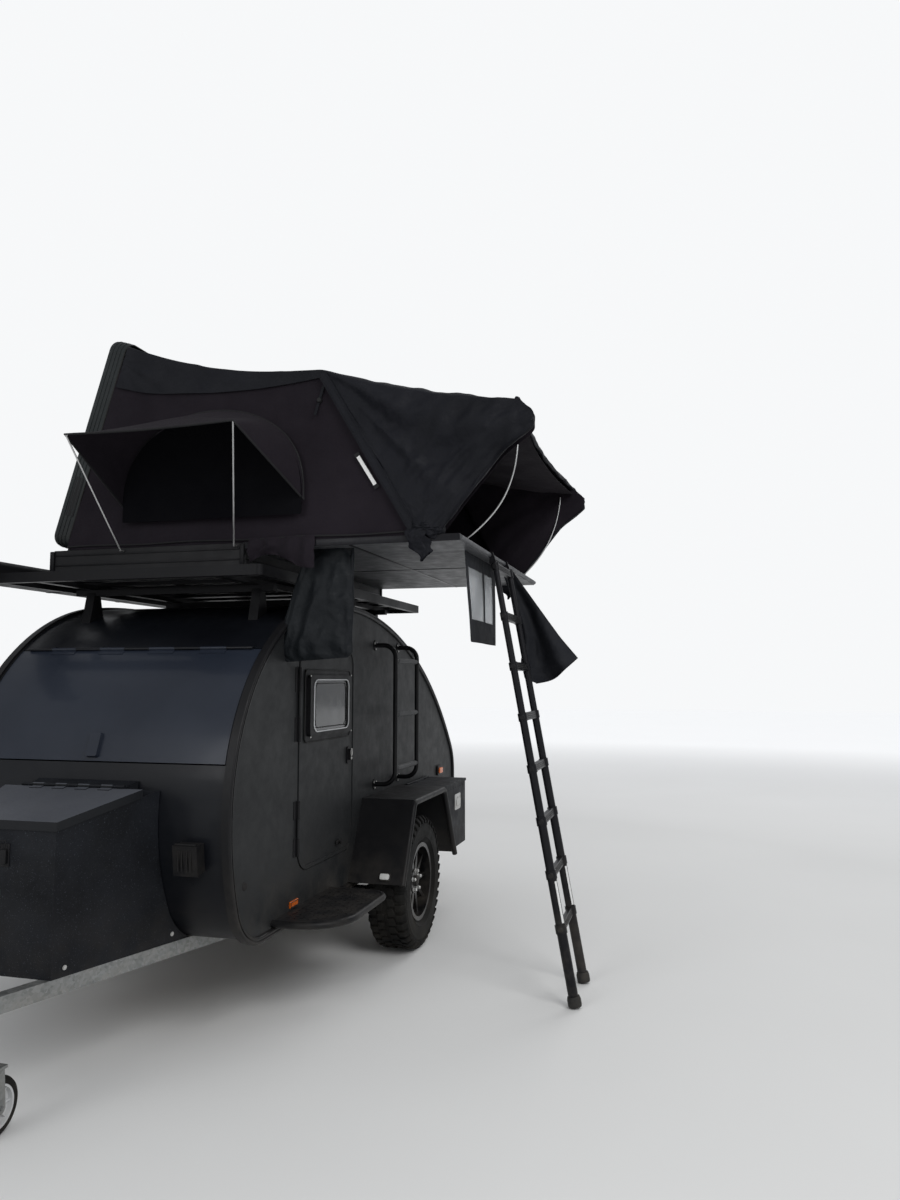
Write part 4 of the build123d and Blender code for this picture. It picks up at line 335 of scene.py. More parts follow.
def painted_side_shade(material, tone):
    """Painted shade: the faces that don't look up get a darker tone."""
    tree = material.node_tree
    painted = tree.nodes["Principled BSDF"].inputs["Base Color"]
    facing = tree.nodes.new("ShaderNodeSeparateXYZ")
    tree.links.new(tree.nodes.new("ShaderNodeTexCoord").outputs["Normal"], facing.inputs[0])
    upward = add_math(tree, "GREATER_THAN", facing.outputs["Z"], 0.6)
    tree.links.new(add_mix(tree, upward, tone, painted.links[0].from_socket), painted)


# %% [markdown]
# The walls and doors are composite panels in a dark graphite grey with a fine orange-peel texture. The
# curved skins between them are nearly black and smoother. The front hatch is a near-black panel as well, and
# its tone is a shade bluer and lighter as a painted reflection of the sky.

# %% Body finishes
wall_grey = coated(
    "wall_grey", ((0.0115, 0.0125, 0.0135), (0.016, 0.017, 0.018), (0.04, 0.04, 0.045)),
    (0.44, 0.58), (420.0, 0.0004), dust=0.22, dust_top=0.35,
)
skin_black = coated(
    "skin_black", ((0.0035, 0.004, 0.006), (0.006, 0.007, 0.0095), (0.020, 0.020, 0.024)),
    (0.30, 0.44), (260.0, 0.0003), dust=0.1, dust_top=0.3, coat=0.10,
)
# The hatch is near-black paint. Its bluer, lighter tones are a painted reflection of the sky.
hatch_painted_sky_reflection = coated(
    "hatch_painted_sky_reflection", ((0.014, 0.018, 0.028), (0.020, 0.025, 0.037), (0.035, 0.04, 0.05)),
    (0.28, 0.40), (260.0, 0.0003), dust=0.15, dust_top=0.5, coat=0.2,
)
edge_rubber = coated(
    "edge_rubber", ((0.006, 0.006, 0.007), (0.010, 0.010, 0.011), (0.05, 0.047, 0.044)),
    (0.34, 0.5), (520.0, 0.0004), dust=0.25, dust_top=0.4,
)

# %% [markdown]
# Steel parts are powder coated satin black. The toolbox and the side boxes carry a rough sprayed liner:
# larger grain, and small pale specks where it is scuffed. The toolbox lid is a mid grey on top, and its
# faces that don't look up get a darker painted shade.

# %% Coated steel
powder_black = coated(
    "powder_black", ((0.005, 0.005, 0.006), (0.009, 0.009, 0.010), (0.05, 0.048, 0.046)),
    (0.38, 0.55), (600.0, 0.0004), specks=0.02, dust=0.2, dust_top=0.3,
)
liner_black = coated(
    "liner_black", ((0.0035, 0.0042, 0.006), (0.0075, 0.0088, 0.012), (0.035, 0.04, 0.05)),
    (0.5, 0.75), (230.0, 0.0022), patch=5.0, specks=0.10, dust=0.15, dust_top=0.3,
)
lid_grey = coated(
    "lid_grey", ((0.060, 0.065, 0.077), (0.078, 0.083, 0.096), (0.12, 0.12, 0.13)),
    (0.38, 0.55), (380.0, 0.0004), dust=0.15, dust_top=0.8,
)
# Painted shade on the lid: its faces that don't look up take this near-black tone.
painted_side_shade(lid_grey, (0.008, 0.009, 0.011))
moulded_black = coated(
    "moulded_black", ((0.005, 0.005, 0.006), (0.009, 0.009, 0.010), (0.05, 0.05, 0.05)),
    (0.42, 0.6), (480.0, 0.0006), dust=0.35, dust_top=0.5,
)
shell_black = coated(
    "shell_black", ((0.012, 0.015, 0.016), (0.020, 0.024, 0.025), (0.06, 0.06, 0.06)),
    (0.4, 0.56), (360.0, 0.0009), patch=3.0, dust=0.15, dust_top=2.6,
)
rim_black = coated(
    "rim_black", ((0.006, 0.006, 0.007), (0.011, 0.011, 0.012), (0.07, 0.07, 0.07)),
    (0.26, 0.42), (500.0, 0.0003), specks=0.01, dust=0.25, dust_top=0.4, metal=0.3, coat=0.3,
)

# %% [markdown]
# Hot-dip zinc crystallises in flat grains, the spangle, each with its own grey and shine. A Voronoi
# texture has just that look: one random value per cell. White bloom and dust dull it near the road.

# %% Galvanised steel
def zinc(name, tones, size, dust):
    """Galvanised steel with spangle of a given size."""
    material, shader, place = new_material(name)
    tree = material.node_tree
    cells = tree.nodes.new("ShaderNodeTexVoronoi")
    cells.inputs["Scale"].default_value = size
    tree.links.new(place, cells.inputs["Vector"])
    shade = tree.nodes.new("ShaderNodeSeparateColor")
    tree.links.new(cells.outputs["Color"], shade.inputs[0])
    bloom = add_range(tree, add_noise(tree, place, 9.0, 6.0, 0.7), 0.45, 0.7)
    spangle = add_mix(tree, shade.outputs[0], tones[0], tones[1])
    bloomed = add_mix(tree, bloom, spangle, tones[2])
    gloss = add_range(tree, shade.outputs[1], 0.0, 1.0, 0.36, 0.58)
    dust_over(material, place, bloomed, gloss, dust, 0.2)
    metal = add_range(tree, bloom, 0.0, 1.0, 0.85, 0.5)
    tree.links.new(metal, shader.inputs["Metallic"])
    add_bump(material, shader, shade.outputs[2], 0.1, 0.0003)
    return material


galvanised = zinc("galvanised", ((0.20, 0.21, 0.21), (0.31, 0.32, 0.32), (0.28, 0.28, 0.27)), 90.0, 0.5)
bolt_zinc = zinc("bolt_zinc", ((0.50, 0.50, 0.50), (0.62, 0.62, 0.60), (0.45, 0.44, 0.42)), 500.0, 0.3)

# %% [markdown]
# Drawn metal has fine lines along its length: a noise that is stretched along the part. The sprung rods are
# bright steel. The tent's ladder is anodised black, and the roof rack is black as well.

# %% Drawn metal
ALONG_X = (4, 60, 60)
ALONG_Z = (60, 60, 4)


def brushed(name, tones, rough, stretch, metal=0.9, dust=0.2, shine=0.5):
    """Drawn metal. Its lines run along the axis whose stretch is the smallest."""
    material, shader, place = new_material(name)
    tree = material.node_tree
    mapping = tree.nodes.new("ShaderNodeMapping")
    mapping.inputs["Scale"].default_value = stretch
    tree.links.new(place, mapping.inputs["Vector"])
    lines = add_noise(tree, mapping.outputs[0], 6.0, 4.0, 0.6)
    patches = add_noise(tree, place, 5.0, 4.0, 0.6)
    tone = add_mix(tree, add_range(tree, lines, 0.3, 0.7), tones[0], tones[1])
    gloss = add_range(tree, patches, 0.3, 0.7, rough[0], rough[1])
    dust_over(material, place, tone, gloss, dust, 0.4)
    set_inputs(shader, {"Metallic": metal, "Specular IOR Level": shine})
    add_bump(material, shader, lines, 0.15, 0.0003)
    return material


rod_steel = brushed("rod_steel", ((0.42, 0.42, 0.42), (0.58, 0.58, 0.58)), (0.25, 0.4), ALONG_Z)
anodised_black = brushed(
    "anodised_black", ((0.007, 0.007, 0.009), (0.013, 0.013, 0.015)), (0.3, 0.42), ALONG_Z,
    metal=0.3, shine=0.2,
)
rack_black = brushed(
    "rack_black", ((0.005, 0.005, 0.006), (0.010, 0.010, 0.011)), (0.35, 0.5), ALONG_X,
    metal=0.2, shine=0.15,
)

# %% [markdown]
# Tyre rubber is dull and slightly brown where dust sits in it. Dust is strongest on the tread and low down.

# %% Rubber
tyre_rubber = coated(
    "tyre_rubber", ((0.005, 0.005, 0.005), (0.009, 0.009, 0.0085), (0.035, 0.033, 0.030)),
    (0.6, 0.8), (700.0, 0.0006), patch=6.0, specks=0.02, dust=0.10, dust_top=0.1, shine=0.12,
)
rung_grey = coated(
    "rung_grey", ((0.075, 0.077, 0.080), (0.100, 0.102, 0.105), (0.15, 0.15, 0.15)),
    (0.5, 0.7), (600.0, 0.0004), dust=0.3, dust_top=0.8,
)
pale_plastic = coated(
    "pale_plastic", ((0.46, 0.47, 0.48), (0.56, 0.57, 0.58), (0.40, 0.39, 0.37)),
    (0.35, 0.5), (500.0, 0.0003), dust=0.4, dust_top=0.3,
)
seal_rubber = coated(
    "seal_rubber", ((0.012, 0.012, 0.012), (0.020, 0.020, 0.020), (0.05, 0.05, 0.05)),
    (0.5, 0.65), (700.0, 0.0003), dust=0.2,
)

# %% [markdown]
# The window panes are dark smoked acrylic. The shader does the work: full transmission, a smoked colour,
# and a roughness that a faint film of dust lifts in patches.

# %% Glass and lenses
def clear(name, colour, rough, transmission=1.0, ior=1.49, film=0.12):
    """Clear or coloured plastic with a faint film of dust that lifts its roughness."""
    material, shader, place = new_material(name)
    tree = material.node_tree
    smear = add_range(tree, add_noise(tree, place, 8.0, 6.0, 0.7), 0.35, 0.75, rough, rough + film)
    tone = add_mix(tree, add_noise(tree, place, 3.0), colour, tuple(value * 0.86 for value in colour))
    tree.links.new(smear, shader.inputs["Roughness"])
    tree.links.new(tone, shader.inputs["Base Color"])
    set_inputs(shader, {"Transmission Weight": transmission, "IOR": ior})
    return material


smoked_pane = clear("smoked_pane", (0.16, 0.17, 0.18), 0.04)
orange_lens = clear("orange_lens", (0.80, 0.16, 0.01), 0.18, transmission=0.25)
red_lens = clear("red_lens", (0.45, 0.01, 0.01), 0.12, transmission=0.25)
white_lens = clear("white_lens", (0.86, 0.86, 0.84), 0.15, transmission=0.2)
blank_white = coated(
    "blank_white", ((0.70, 0.70, 0.69), (0.78, 0.78, 0.77), (0.6, 0.6, 0.6)),
    (0.35, 0.5), (300.0, 0.0002), dust=0.25,
)

# %% [markdown]
# The cabin's floor boards are film-faced plywood, and the tent's floor is a dark grey laminate.

# %% Boards
floor_board = coated(
    "floor_board", ((0.16, 0.13, 0.10), (0.22, 0.18, 0.14), (0.10, 0.08, 0.06)),
    (0.5, 0.7), (120.0, 0.0006), patch=9.0, specks=0.05, dust=0.6, dust_top=0.1,
)
tent_board = coated(
    "tent_board", ((0.050, 0.052, 0.057), (0.070, 0.072, 0.077), (0.10, 0.10, 0.11)),
    (0.35, 0.55), (200.0, 0.0003), dust=0.1,
)

# %% [markdown]
# ## Finishes on the CAD nodes
# Each CAD node keeps its mesh and takes the finish that the real part has, in its own material slots.

# %% Dress the CAD nodes
NODE_FINISHES = {
    wall_grey: ("side_walls", "door_left", "door_right"),
    skin_black: ("front_skin", "roof_skin", "tail_skin", "tailgate"),
    hatch_painted_sky_reflection: ("front_hatch",),
    edge_rubber: ("edge_trims",),
    powder_black: ("fenders", "steps", "wall_ladder", "axle", "door_hinges"),
    rack_black: ("roof_rack", "rack_slats", "rack_crossbars"),
    liner_black: ("toolbox", "side_boxes", "box_lid_left", "box_lid_right"),
    lid_grey: ("toolbox_lid",),
    moulded_black: (
        "window_frame_left", "window_frame_right", "door_latch_left", "door_latch_right", "socket_box",
        "awning_case", "tent_tray", "rear_lamps",
    ),
    shell_black: ("tent_shell",),
    rim_black: ("rim_left", "rim_right"),
    galvanised: ("chassis", "coupling", "jockey_clamp", "jockey_stem", "jockey_fork"),
    anodised_black: ("tent_ladder",),
    rod_steel: ("awning_rods",),
    tyre_rubber: ("tyre_left", "tyre_right", "jockey_wheel"),
    smoked_pane: ("window_pane_left", "window_pane_right"),
    orange_lens: ("side_reflectors",),
    floor_board: ("floor",),
    tent_board: ("tent_floor",),
}
for material, names in NODE_FINISHES.items():
    for name in names:
        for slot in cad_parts[name].material_slots:
            slot.material = material
dressed = sum(len(names) for names in NODE_FINISHES.values())
print("dressed", dressed, "of", len(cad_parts), "CAD nodes, and soft pieces stand for the others")

# %% [markdown]
# ## The stage
# A wide pale floor catches the shadow and grounds the trailer. Far out it glows, so that it runs into the
# white background. Only the camera, mirrors and glass see the glow, and it lights nothing.

# %% Floor
GLOW_FROM, GLOW_TO = 5.0, 17.0
GLOW_STRENGTH = 0.56
bpy.ops.object.select_all(action="DESELECT")
bpy.ops.mesh.primitive_plane_add(size=80.0, location=(-3.0, 0.0, GROUND_Z))
studio_floor = bpy.context.object
studio_floor.name = "studio_floor"
floor_paint, floor_shader, floor_place = new_material("floor_paint")
tree = floor_paint.node_tree
floor_tone = add_mix(tree, add_noise(tree, floor_place, 0.6), (0.74, 0.74, 0.73), (0.80, 0.80, 0.79))
tree.links.new(floor_tone, floor_shader.inputs["Base Color"])
set_inputs(floor_shader, {"Roughness": 0.8, "Emission Color": (0.97, 0.98, 1.0)})
reach = tree.nodes.new("ShaderNodeVectorMath")
reach.operation = "LENGTH"
tree.links.new(floor_place, reach.inputs[0])
far_floor = add_range(tree, reach.outputs["Value"], GLOW_FROM, GLOW_TO, 0.0, GLOW_STRENGTH)
rays = tree.nodes.new("ShaderNodeLightPath").outputs
mirrored = add_math(tree, "MAXIMUM", rays["Is Glossy Ray"], rays["Is Transmission Ray"])
floor_seen = add_math(tree, "MAXIMUM", rays["Is Camera Ray"], mirrored)
floor_glow = add_math(tree, "MULTIPLY", far_floor, floor_seen)
tree.links.new(floor_glow, floor_shader.inputs["Emission Strength"])
studio_floor.data.materials.append(floor_paint)

# %% [markdown]
# ## Helpers for modelling by hand
# Every new piece starts as a primitive, is shaped in edit mode, and then gets a name, a finish and the body
# that it rides on. An operator works on whatever is selected, so each helper deselects everything first.

# %% Modelling helpers
def deselect():
    """Nothing selected, and no edit mode."""
    if bpy.context.mode != "OBJECT":
        bpy.ops.object.mode_set(mode="OBJECT")
    bpy.ops.object.select_all(action="DESELECT")


def choose(obj):
    """Only this object selected and active."""
    deselect()
    obj.select_set(True)
    bpy.context.view_layer.objects.active = obj


def apply_modifier(obj, kind, **values):
    """Add a modifier with these values and apply it."""
    choose(obj)
    modifier = obj.modifiers.new(kind.lower(), kind)
    for key, value in values.items():
        setattr(modifier, key, value)
    bpy.ops.object.modifier_apply(modifier=modifier.name)
    return obj


def joined(objects):
    """Several pieces made one mesh."""
    deselect()
    for obj in objects:
        obj.select_set(True)
    bpy.context.view_layer.objects.active = objects[0]
    bpy.ops.object.join()
    return bpy.context.object


def finished(parts, name, material, body="root", smooth=35.0):
    """Name, finish and body for a piece, or for a list of parts that become one piece."""
    obj = joined(parts) if isinstance(parts, list) else parts
    choose(obj)
    bpy.ops.object.transform_apply(location=True, rotation=True, scale=True)
    obj.name = name
    obj.data.name = name
    obj.data.materials.clear()
    obj.data.materials.append(material)
    bpy.ops.object.shade_smooth_by_angle(angle=radians(smooth))
    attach(obj, body)
    return obj


def tidy_normals(obj):
    """Merge doubled points and turn every face outwards."""
    choose(obj)
    bpy.ops.object.mode_set(mode="EDIT")
    bpy.ops.mesh.select_all(action="SELECT")
    bpy.ops.mesh.remove_doubles(threshold=0.00005)
    bpy.ops.mesh.normals_make_consistent(inside=False)
    bpy.ops.object.mode_set(mode="OBJECT")
    return obj


def plate(outline, depth, bevel=0.0, segments=2):
    """A flat piece: a filled circle whose corners move to the outline, extruded, with its edges rounded."""
    deselect()
    bpy.ops.mesh.primitive_circle_add(vertices=len(outline), fill_type="NGON")
    obj = bpy.context.object
    for corner, place in zip(obj.data.vertices, outline):
        corner.co = place
    bpy.ops.object.mode_set(mode="EDIT")
    bpy.ops.mesh.select_all(action="SELECT")
    bpy.ops.mesh.extrude_region_move(TRANSFORM_OT_translate={"value": Vector(depth)})
    bpy.ops.mesh.select_all(action="SELECT")
    bpy.ops.mesh.normals_make_consistent(inside=False)
    bpy.ops.object.mode_set(mode="OBJECT")
    if bevel:
        apply_modifier(obj, "BEVEL", width=bevel, segments=segments, limit_method="ANGLE")
    return obj


def block(low, high, bevel=0.002, segments=2):
    """A box between two corners with rounded edges."""
    corners = ((low[0], low[1]), (high[0], low[1]), (high[0], high[1]), (low[0], high[1]))
    return plate([(*corner, low[2]) for corner in corners], (0, 0, high[2] - low[2]), bevel, segments)


def rounded_outline(width, height, radius, steps=5):
    """Corners of a rectangle with round corners, centred, as (across, up) pairs."""
    points = []
    for sign_x, sign_y, start in ((1, 1, 0), (-1, 1, 90), (-1, -1, 180), (1, -1, 270)):
        for step in range(steps + 1):
            turn = radians(start + 90 * step / steps)
            points.append((
                sign_x * (width / 2 - radius) + radius * cos(turn),
                sign_y * (height / 2 - radius) + radius * sin(turn),
            ))
    return points


def pipe(points, radius, closed=False, smooth=False, sides=4):
    """A round bar along points: a curve with a round section, turned into a mesh."""
    deselect()
    curve = bpy.data.curves.new("pipe", "CURVE")
    curve.dimensions = "3D"
    curve.bevel_depth = radius
    curve.bevel_resolution = sides // 2
    curve.use_fill_caps = True
    spline = curve.splines.new("NURBS" if smooth else "POLY")
    spline.points.add(len(points) - 1)
    for target, place in zip(spline.points, points):
        target.co = (*place, 1.0)
    spline.use_cyclic_u = closed
    if smooth:
        spline.order_u = 3
        spline.use_endpoint_u = True
    obj = bpy.data.objects.new("pipe", curve)
    bpy.context.collection.objects.link(obj)
    choose(obj)
    bpy.ops.object.convert(target="MESH")
    return bpy.context.object


def ribbon(points, across, thickness):
    """A flat strap along points: a strip as wide as the across vector, given its thickness."""
    deselect()
    bpy.ops.mesh.primitive_grid_add(x_subdivisions=1, y_subdivisions=len(points) - 1, size=2.0)
    obj = bpy.context.object
    for point in obj.data.vertices:
        step = round((point.co.y + 1) / 2 * (len(points) - 1))
        point.co = Vector(points[step]) + Vector(across) * (point.co.x / 2)
    apply_modifier(obj, "SOLIDIFY", thickness=thickness, offset=0.0)
    return tidy_normals(obj)


def knob_shape(centre, axis, profile, sides=20):
    """A turned piece: an edge profile of (radius, along) pairs, spun about the axis through the centre."""
    deselect()
    axis = Vector(axis).normalized()
    side = axis.orthogonal().normalized()
    bpy.ops.mesh.primitive_circle_add(vertices=3, fill_type="NOTHING")
    obj = bpy.context.object
    bpy.ops.object.mode_set(mode="EDIT")
    shape = bmesh.from_edit_mesh(obj.data)
    bmesh.ops.delete(shape, geom=shape.verts[:], context="VERTS")
    chain = [shape.verts.new(Vector(centre) + side * radius + axis * along) for radius, along in profile]
    for first, second in zip(chain, chain[1:]):
        shape.edges.new((first, second))
    bmesh.update_edit_mesh(obj.data)
    bpy.ops.mesh.select_all(action="SELECT")
    bpy.ops.mesh.spin(steps=sides, angle=2 * pi, center=centre, axis=axis)
    bpy.ops.mesh.select_all(action="SELECT")
    bpy.ops.mesh.remove_doubles(threshold=0.00005)
    bpy.ops.mesh.normals_make_consistent(inside=False)
    bpy.ops.object.mode_set(mode="OBJECT")
    return obj


def bolt(centre, axis, radius, height=None):
    """A six-sided bolt head with a chamfer, on a washer."""
    height = height or radius * 0.7
    rim, thick = radius * 1.5, radius * 0.15
    washer = knob_shape(centre, axis, [(0, 0), (rim, 0), (rim, thick), (0, thick)], 16)
    profile = [(0, 0), (radius, 0), (radius, height * 0.8), (radius * 0.8, height), (0, height)]
    head = knob_shape(Vector(centre) + Vector(axis).normalized() * thick, axis, profile, 6)
    return joined([washer, head])


# %% [markdown]
# ## Cloth finishes
# Tent cloth is a fine weave with a coarser ripstop thread every few millimetres. The weave group reads the
# place on the piece along all three axes, so that it runs on over walls and roof alike without a UV map.

# %% Weave group
weaving, weave_in, weave_out = new_group(
    "ripstop_weave",
    (
        ("Vector", "Vector", None),
        ("Thread Size", "Float", 2500.0),
        ("Grid Size", "Float", 160.0),
        ("Crumple Size", "Float", 9.0),
    ),
    (("Thread", "Float"), ("Grid", "Float"), ("Crumple", "Float")),
)
GRID_EDGE = 0.86
FACES_AXIS = 0.8
weave_axes = weaving.nodes.new("ShaderNodeSeparateXYZ")
weaving.links.new(weave_in.outputs["Vector"], weave_axes.inputs[0])
weave_facing = weaving.nodes.new("ShaderNodeSeparateXYZ")
weaving.links.new(weaving.nodes.new("ShaderNodeTexCoord").outputs["Normal"], weave_facing.inputs[0])
thread_sum, grid_line = None, None
for axis_name in "XYZ":
    turned = add_math(weaving, "ABSOLUTE", weave_facing.outputs[axis_name], 0.0)
    lies_along = add_math(weaving, "LESS_THAN", turned, FACES_AXIS)
    along_axis = weave_axes.outputs[axis_name]
    fine = add_math(weaving, "MULTIPLY", along_axis, weave_in.outputs["Thread Size"])
    wave = add_math(weaving, "ABSOLUTE", add_math(weaving, "SINE", fine, 0.0), 0.0)
    thread_sum = wave if thread_sum is None else add_math(weaving, "ADD", thread_sum, wave)
    coarse = add_math(weaving, "MULTIPLY", along_axis, weave_in.outputs["Grid Size"])
    line = add_math(weaving, "GREATER_THAN", add_math(weaving, "FRACT", coarse, 0.0), GRID_EDGE)
    line = add_math(weaving, "MULTIPLY", line, lies_along)
    grid_line = line if grid_line is None else add_math(weaving, "MAXIMUM", grid_line, line)
crumple = add_noise(weaving, weave_in.outputs["Vector"], weave_in.outputs["Crumple Size"], 4.0, 0.55)
for label, value in (("Thread", thread_sum), ("Grid", grid_line), ("Crumple", crumple)):
    weaving.links.new(value, weave_out.inputs[label])


# %% Cloth maker
def woven(name, tones, rough, crumple=0.012, grid=160.0, sheen=0.0, crumple_size=9.0, shine=0.15):
    """A cloth finish: tones = (dark, light), rough = (low, high), crumple = creases' depth in metres."""
    material, shader, place = new_material(name)
    tree = material.node_tree
    weave = place_group(material, weaving, {"Grid Size": grid, "Crumple Size": crumple_size})
    tree.links.new(place, weave.inputs["Vector"])
    drift = add_range(tree, add_noise(tree, place, 1.7, 4.0, 0.6), 0.35, 0.65)
    tone = add_mix(tree, drift, tones[0], tones[1])
    thread_tone = tuple(value * 1.5 for value in tones[1])
    gridded = add_mix(tree, add_math(tree, "MULTIPLY", weave.outputs["Grid"], 0.35), tone, thread_tone)
    tree.links.new(gridded, shader.inputs["Base Color"])
    gloss = add_range(tree, weave.outputs["Crumple"], 0.3, 0.7, rough[0], rough[1])
    tree.links.new(gloss, shader.inputs["Roughness"])
    set_inputs(shader, {"Sheen Weight": sheen, "Sheen Roughness": 0.5, "Specular IOR Level": shine})
    threads = add_bump(material, shader, weave.outputs["Thread"], 0.25, 0.0004)
    add_bump(material, threads, weave.outputs["Crumple"], 0.6, crumple)
    return material


tent_wall_cloth = woven(
    "tent_wall_cloth", ((0.0095, 0.0075, 0.0105), (0.0145, 0.0115, 0.0155)), (0.75, 0.9),
    sheen=0.02, shine=0.1,
)
fly_cloth = woven(
    "fly_cloth", ((0.004, 0.0045, 0.0065), (0.008, 0.0085, 0.012)), (0.50, 0.66), 0.022, shine=0.14,
)
# The window mesh is black, and its tones are pushed darker still as a painted shade under the window hood.
mesh_cloth_painted_shade = woven(
    "mesh_cloth_painted_shade", ((0.002, 0.002, 0.003), (0.004, 0.004, 0.005)), (0.85, 0.95), 0.004, grid=500.0, shine=0.05,
)
bag_cloth = woven(
    "bag_cloth", ((0.005, 0.006, 0.008), (0.009, 0.011, 0.013)), (0.40, 0.58), 0.024,
    crumple_size=12.0, shine=0.16,
)
flap_cloth = woven("flap_cloth", ((0.007, 0.008, 0.010), (0.012, 0.013, 0.017)), (0.6, 0.8), 0.016, shine=0.2)
strap_cloth = woven(
    "strap_cloth", ((0.008, 0.008, 0.009), (0.015, 0.015, 0.016)), (0.6, 0.8), 0.001, grid=700.0, shine=0.2,
)
pad_cloth = woven("pad_cloth", ((0.22, 0.22, 0.24), (0.28, 0.28, 0.30)), (0.8, 0.95), 0.01, sheen=0.15)

# %% [markdown]
# ## The roof tent
# The tent is one continuous cloth, stretched from the rim of the open shell over a ridge bow to a porch
# bow. Each station is a line up the wall, from a foot on the floor to a head on the roof. The cloth runs up
# the front wall, over the roof and down the back wall at every station, and sags between the bows.

# %% Tent measures
TENT_FRONT_X = 1.328
TENT_REAR_X = -0.598
TENT_FLOOR_Z = 2.182
RIDGE = 0.55
STATIONS = (
    # share of the way, foot (Y, Z), head (Y, Z)
    (0.0, (-0.482, TENT_FLOOR_Z), (-0.168, 3.196)),
    (RIDGE, (1.345, TENT_FLOOR_Z), (0.884, 2.980)),
    (1.0, (1.452, TENT_FLOOR_Z), (1.812, 2.762)),
)
ROOF_SAG = (0.055, 0.035)
WALL_PULL = 0.022
WALL_END = 0.30
PORCH_PROFILE = (
    (1.452, TENT_FLOOR_Z), (1.560, 2.319), (1.722, 2.519), (1.872, 2.630), (1.876, 2.700), (1.812, 2.762),
)


def mix(first, second, share):
    """A number or point between two others."""
    if isinstance(first, tuple):
        return tuple(mix(a, b, share) for a, b in zip(first, second))
    return first + (second - first) * share


def hump(share):
    """0 at both ends and 1 in the middle."""
    return sin(pi * min(max(share, 0.0), 1.0))


def station(share):
    """Foot and head of the wall line at a share of the way from shell to porch, and its place in its bay."""
    for (low, foot_a, head_a), (high, foot_b, head_b), sag in zip(STATIONS, STATIONS[1:], ROOF_SAG):
        if share <= high + 1e-6:
            inner = (share - low) / (high - low)
            return mix(foot_a, foot_b, inner), mix(head_a, head_b, inner), inner, sag
    raise ValueError("share beyond the porch")


SHELL_CORNER = Vector((TENT_FRONT_X, -0.2, 3.12))
PORCH_CORNER = Vector((TENT_FRONT_X, 1.78, 2.75))


def along_line(line, share):
    """A point at a share of the way along a few corners."""
    step = min(share * (len(line) - 1), len(line) - 1.0001)
    return mix(line[int(step)], line[int(step) + 1], step - int(step))


def porch_bulge(inner, up):
    """How far the porch's bowed edge stands off the straight wall line, faded towards the ridge."""
    bowed = along_line(PORCH_PROFILE, up)
    straight = mix(PORCH_PROFILE[0], PORCH_PROFILE[-1], up)
    return tuple((a - b) * inner ** 2.5 for a, b in zip(bowed, straight))


def creases(place, corner, reach, depth, count):
    """Folds that fan out from a corner where the cloth is pulled, and fade with distance."""
    away = place - corner
    distance = away.length
    turn = abs(away.y) + 1e-6
    angle = (away.z / turn if turn > abs(away.z) else 2.0 - turn / (abs(away.z) + 1e-6))
    return depth * sin(count * angle + 3.0 * noise.noise(place * 1.3)) * max(0.0, 1.0 - distance / reach)


def crumples(place, size):
    """Sharp creases in cloth: ridged noise, drawn out along the slope from the ridge to the porch."""
    drawn = Vector((place.x * size, (place.y + place.z) * size * 0.5, (place.z - place.y) * size * 1.6))
    return 0.6 - 1.6 * abs(noise.noise(drawn)) - 0.7 * abs(noise.noise(drawn * 2.3))


def tent_point(share, turn, out=0.0, low=0.0):
    """A point of the tent's cloth: share from shell to porch, turn from the front foot over the roof to the
    back foot, out from its surface, and low = how far up the walls it starts."""
    foot, head, inner, sag = station(share)
    front_x, rear_x = TENT_FRONT_X + out, TENT_REAR_X - out
    if turn < WALL_END or turn > 1 - WALL_END:
        up = (turn if turn < 0.5 else 1 - turn) / WALL_END
        up = low + (1 - low) * up
        y, z = mix(foot, head, up)
        z -= sag * hump(inner) * up
        if share > RIDGE:
            bulge = porch_bulge(inner, up)
            y, z = y + bulge[0], z + bulge[1]
        pull = WALL_PULL * hump(up) * hump(inner) ** 0.5
        place = Vector((front_x - pull if turn < 0.5 else rear_x + pull, y, z))
        ripple = 0.006 * noise.noise(place * 2.6) + 0.004 * noise.noise(place * 7.0)
        pulled_from = SHELL_CORNER if inner < 0.5 and share < 0.4 else PORCH_CORNER
        ripple += creases(place, pulled_from, 0.9, 0.006, 11.0)
        ripple += 0.016 * crumples(place, 3.6) * min(1.0, 0.3 + share)
        place.x += (ripple if turn < 0.5 else -ripple) * hump(up) ** 0.5
        return place
    along = (turn - WALL_END) / (1 - 2 * WALL_END)
    y, z = head
    x = mix(front_x, rear_x, along)
    z -= sag * hump(inner) * (1.0 + 0.25 * hump(along))
    y -= 0.05 * hump(along) * max(0.0, (share - 0.8) / 0.2) ** 2
    z -= 0.045 * hump(along) * max(0.0, 1.0 - share / 0.15)
    place = Vector((x, y, z + out))
    ripple = 0.010 * noise.noise(place * 2.0) + 0.005 * noise.noise(place * 6.0)
    place.z += ripple * (0.3 + 0.7 * hump(inner))
    place.z += creases(place, Vector((TENT_FRONT_X, -0.2, 3.2)), 1.0, 0.010, 9.0) * hump(inner) ** 0.5
    place.z += 0.020 * crumples(place, 3.4) * hump(inner) ** 0.5
    return place


def in_frame(place):
    """A tent point moved into the frame."""
    return at(place.x, place.y, place.z)


# %% [markdown]
# A grid is a ready sheet of cloth. Its points are moved to their places by a function, which is how a
# sculptor would push it over a frame, and a subdivision rounds what the coarse grid leaves as corners.

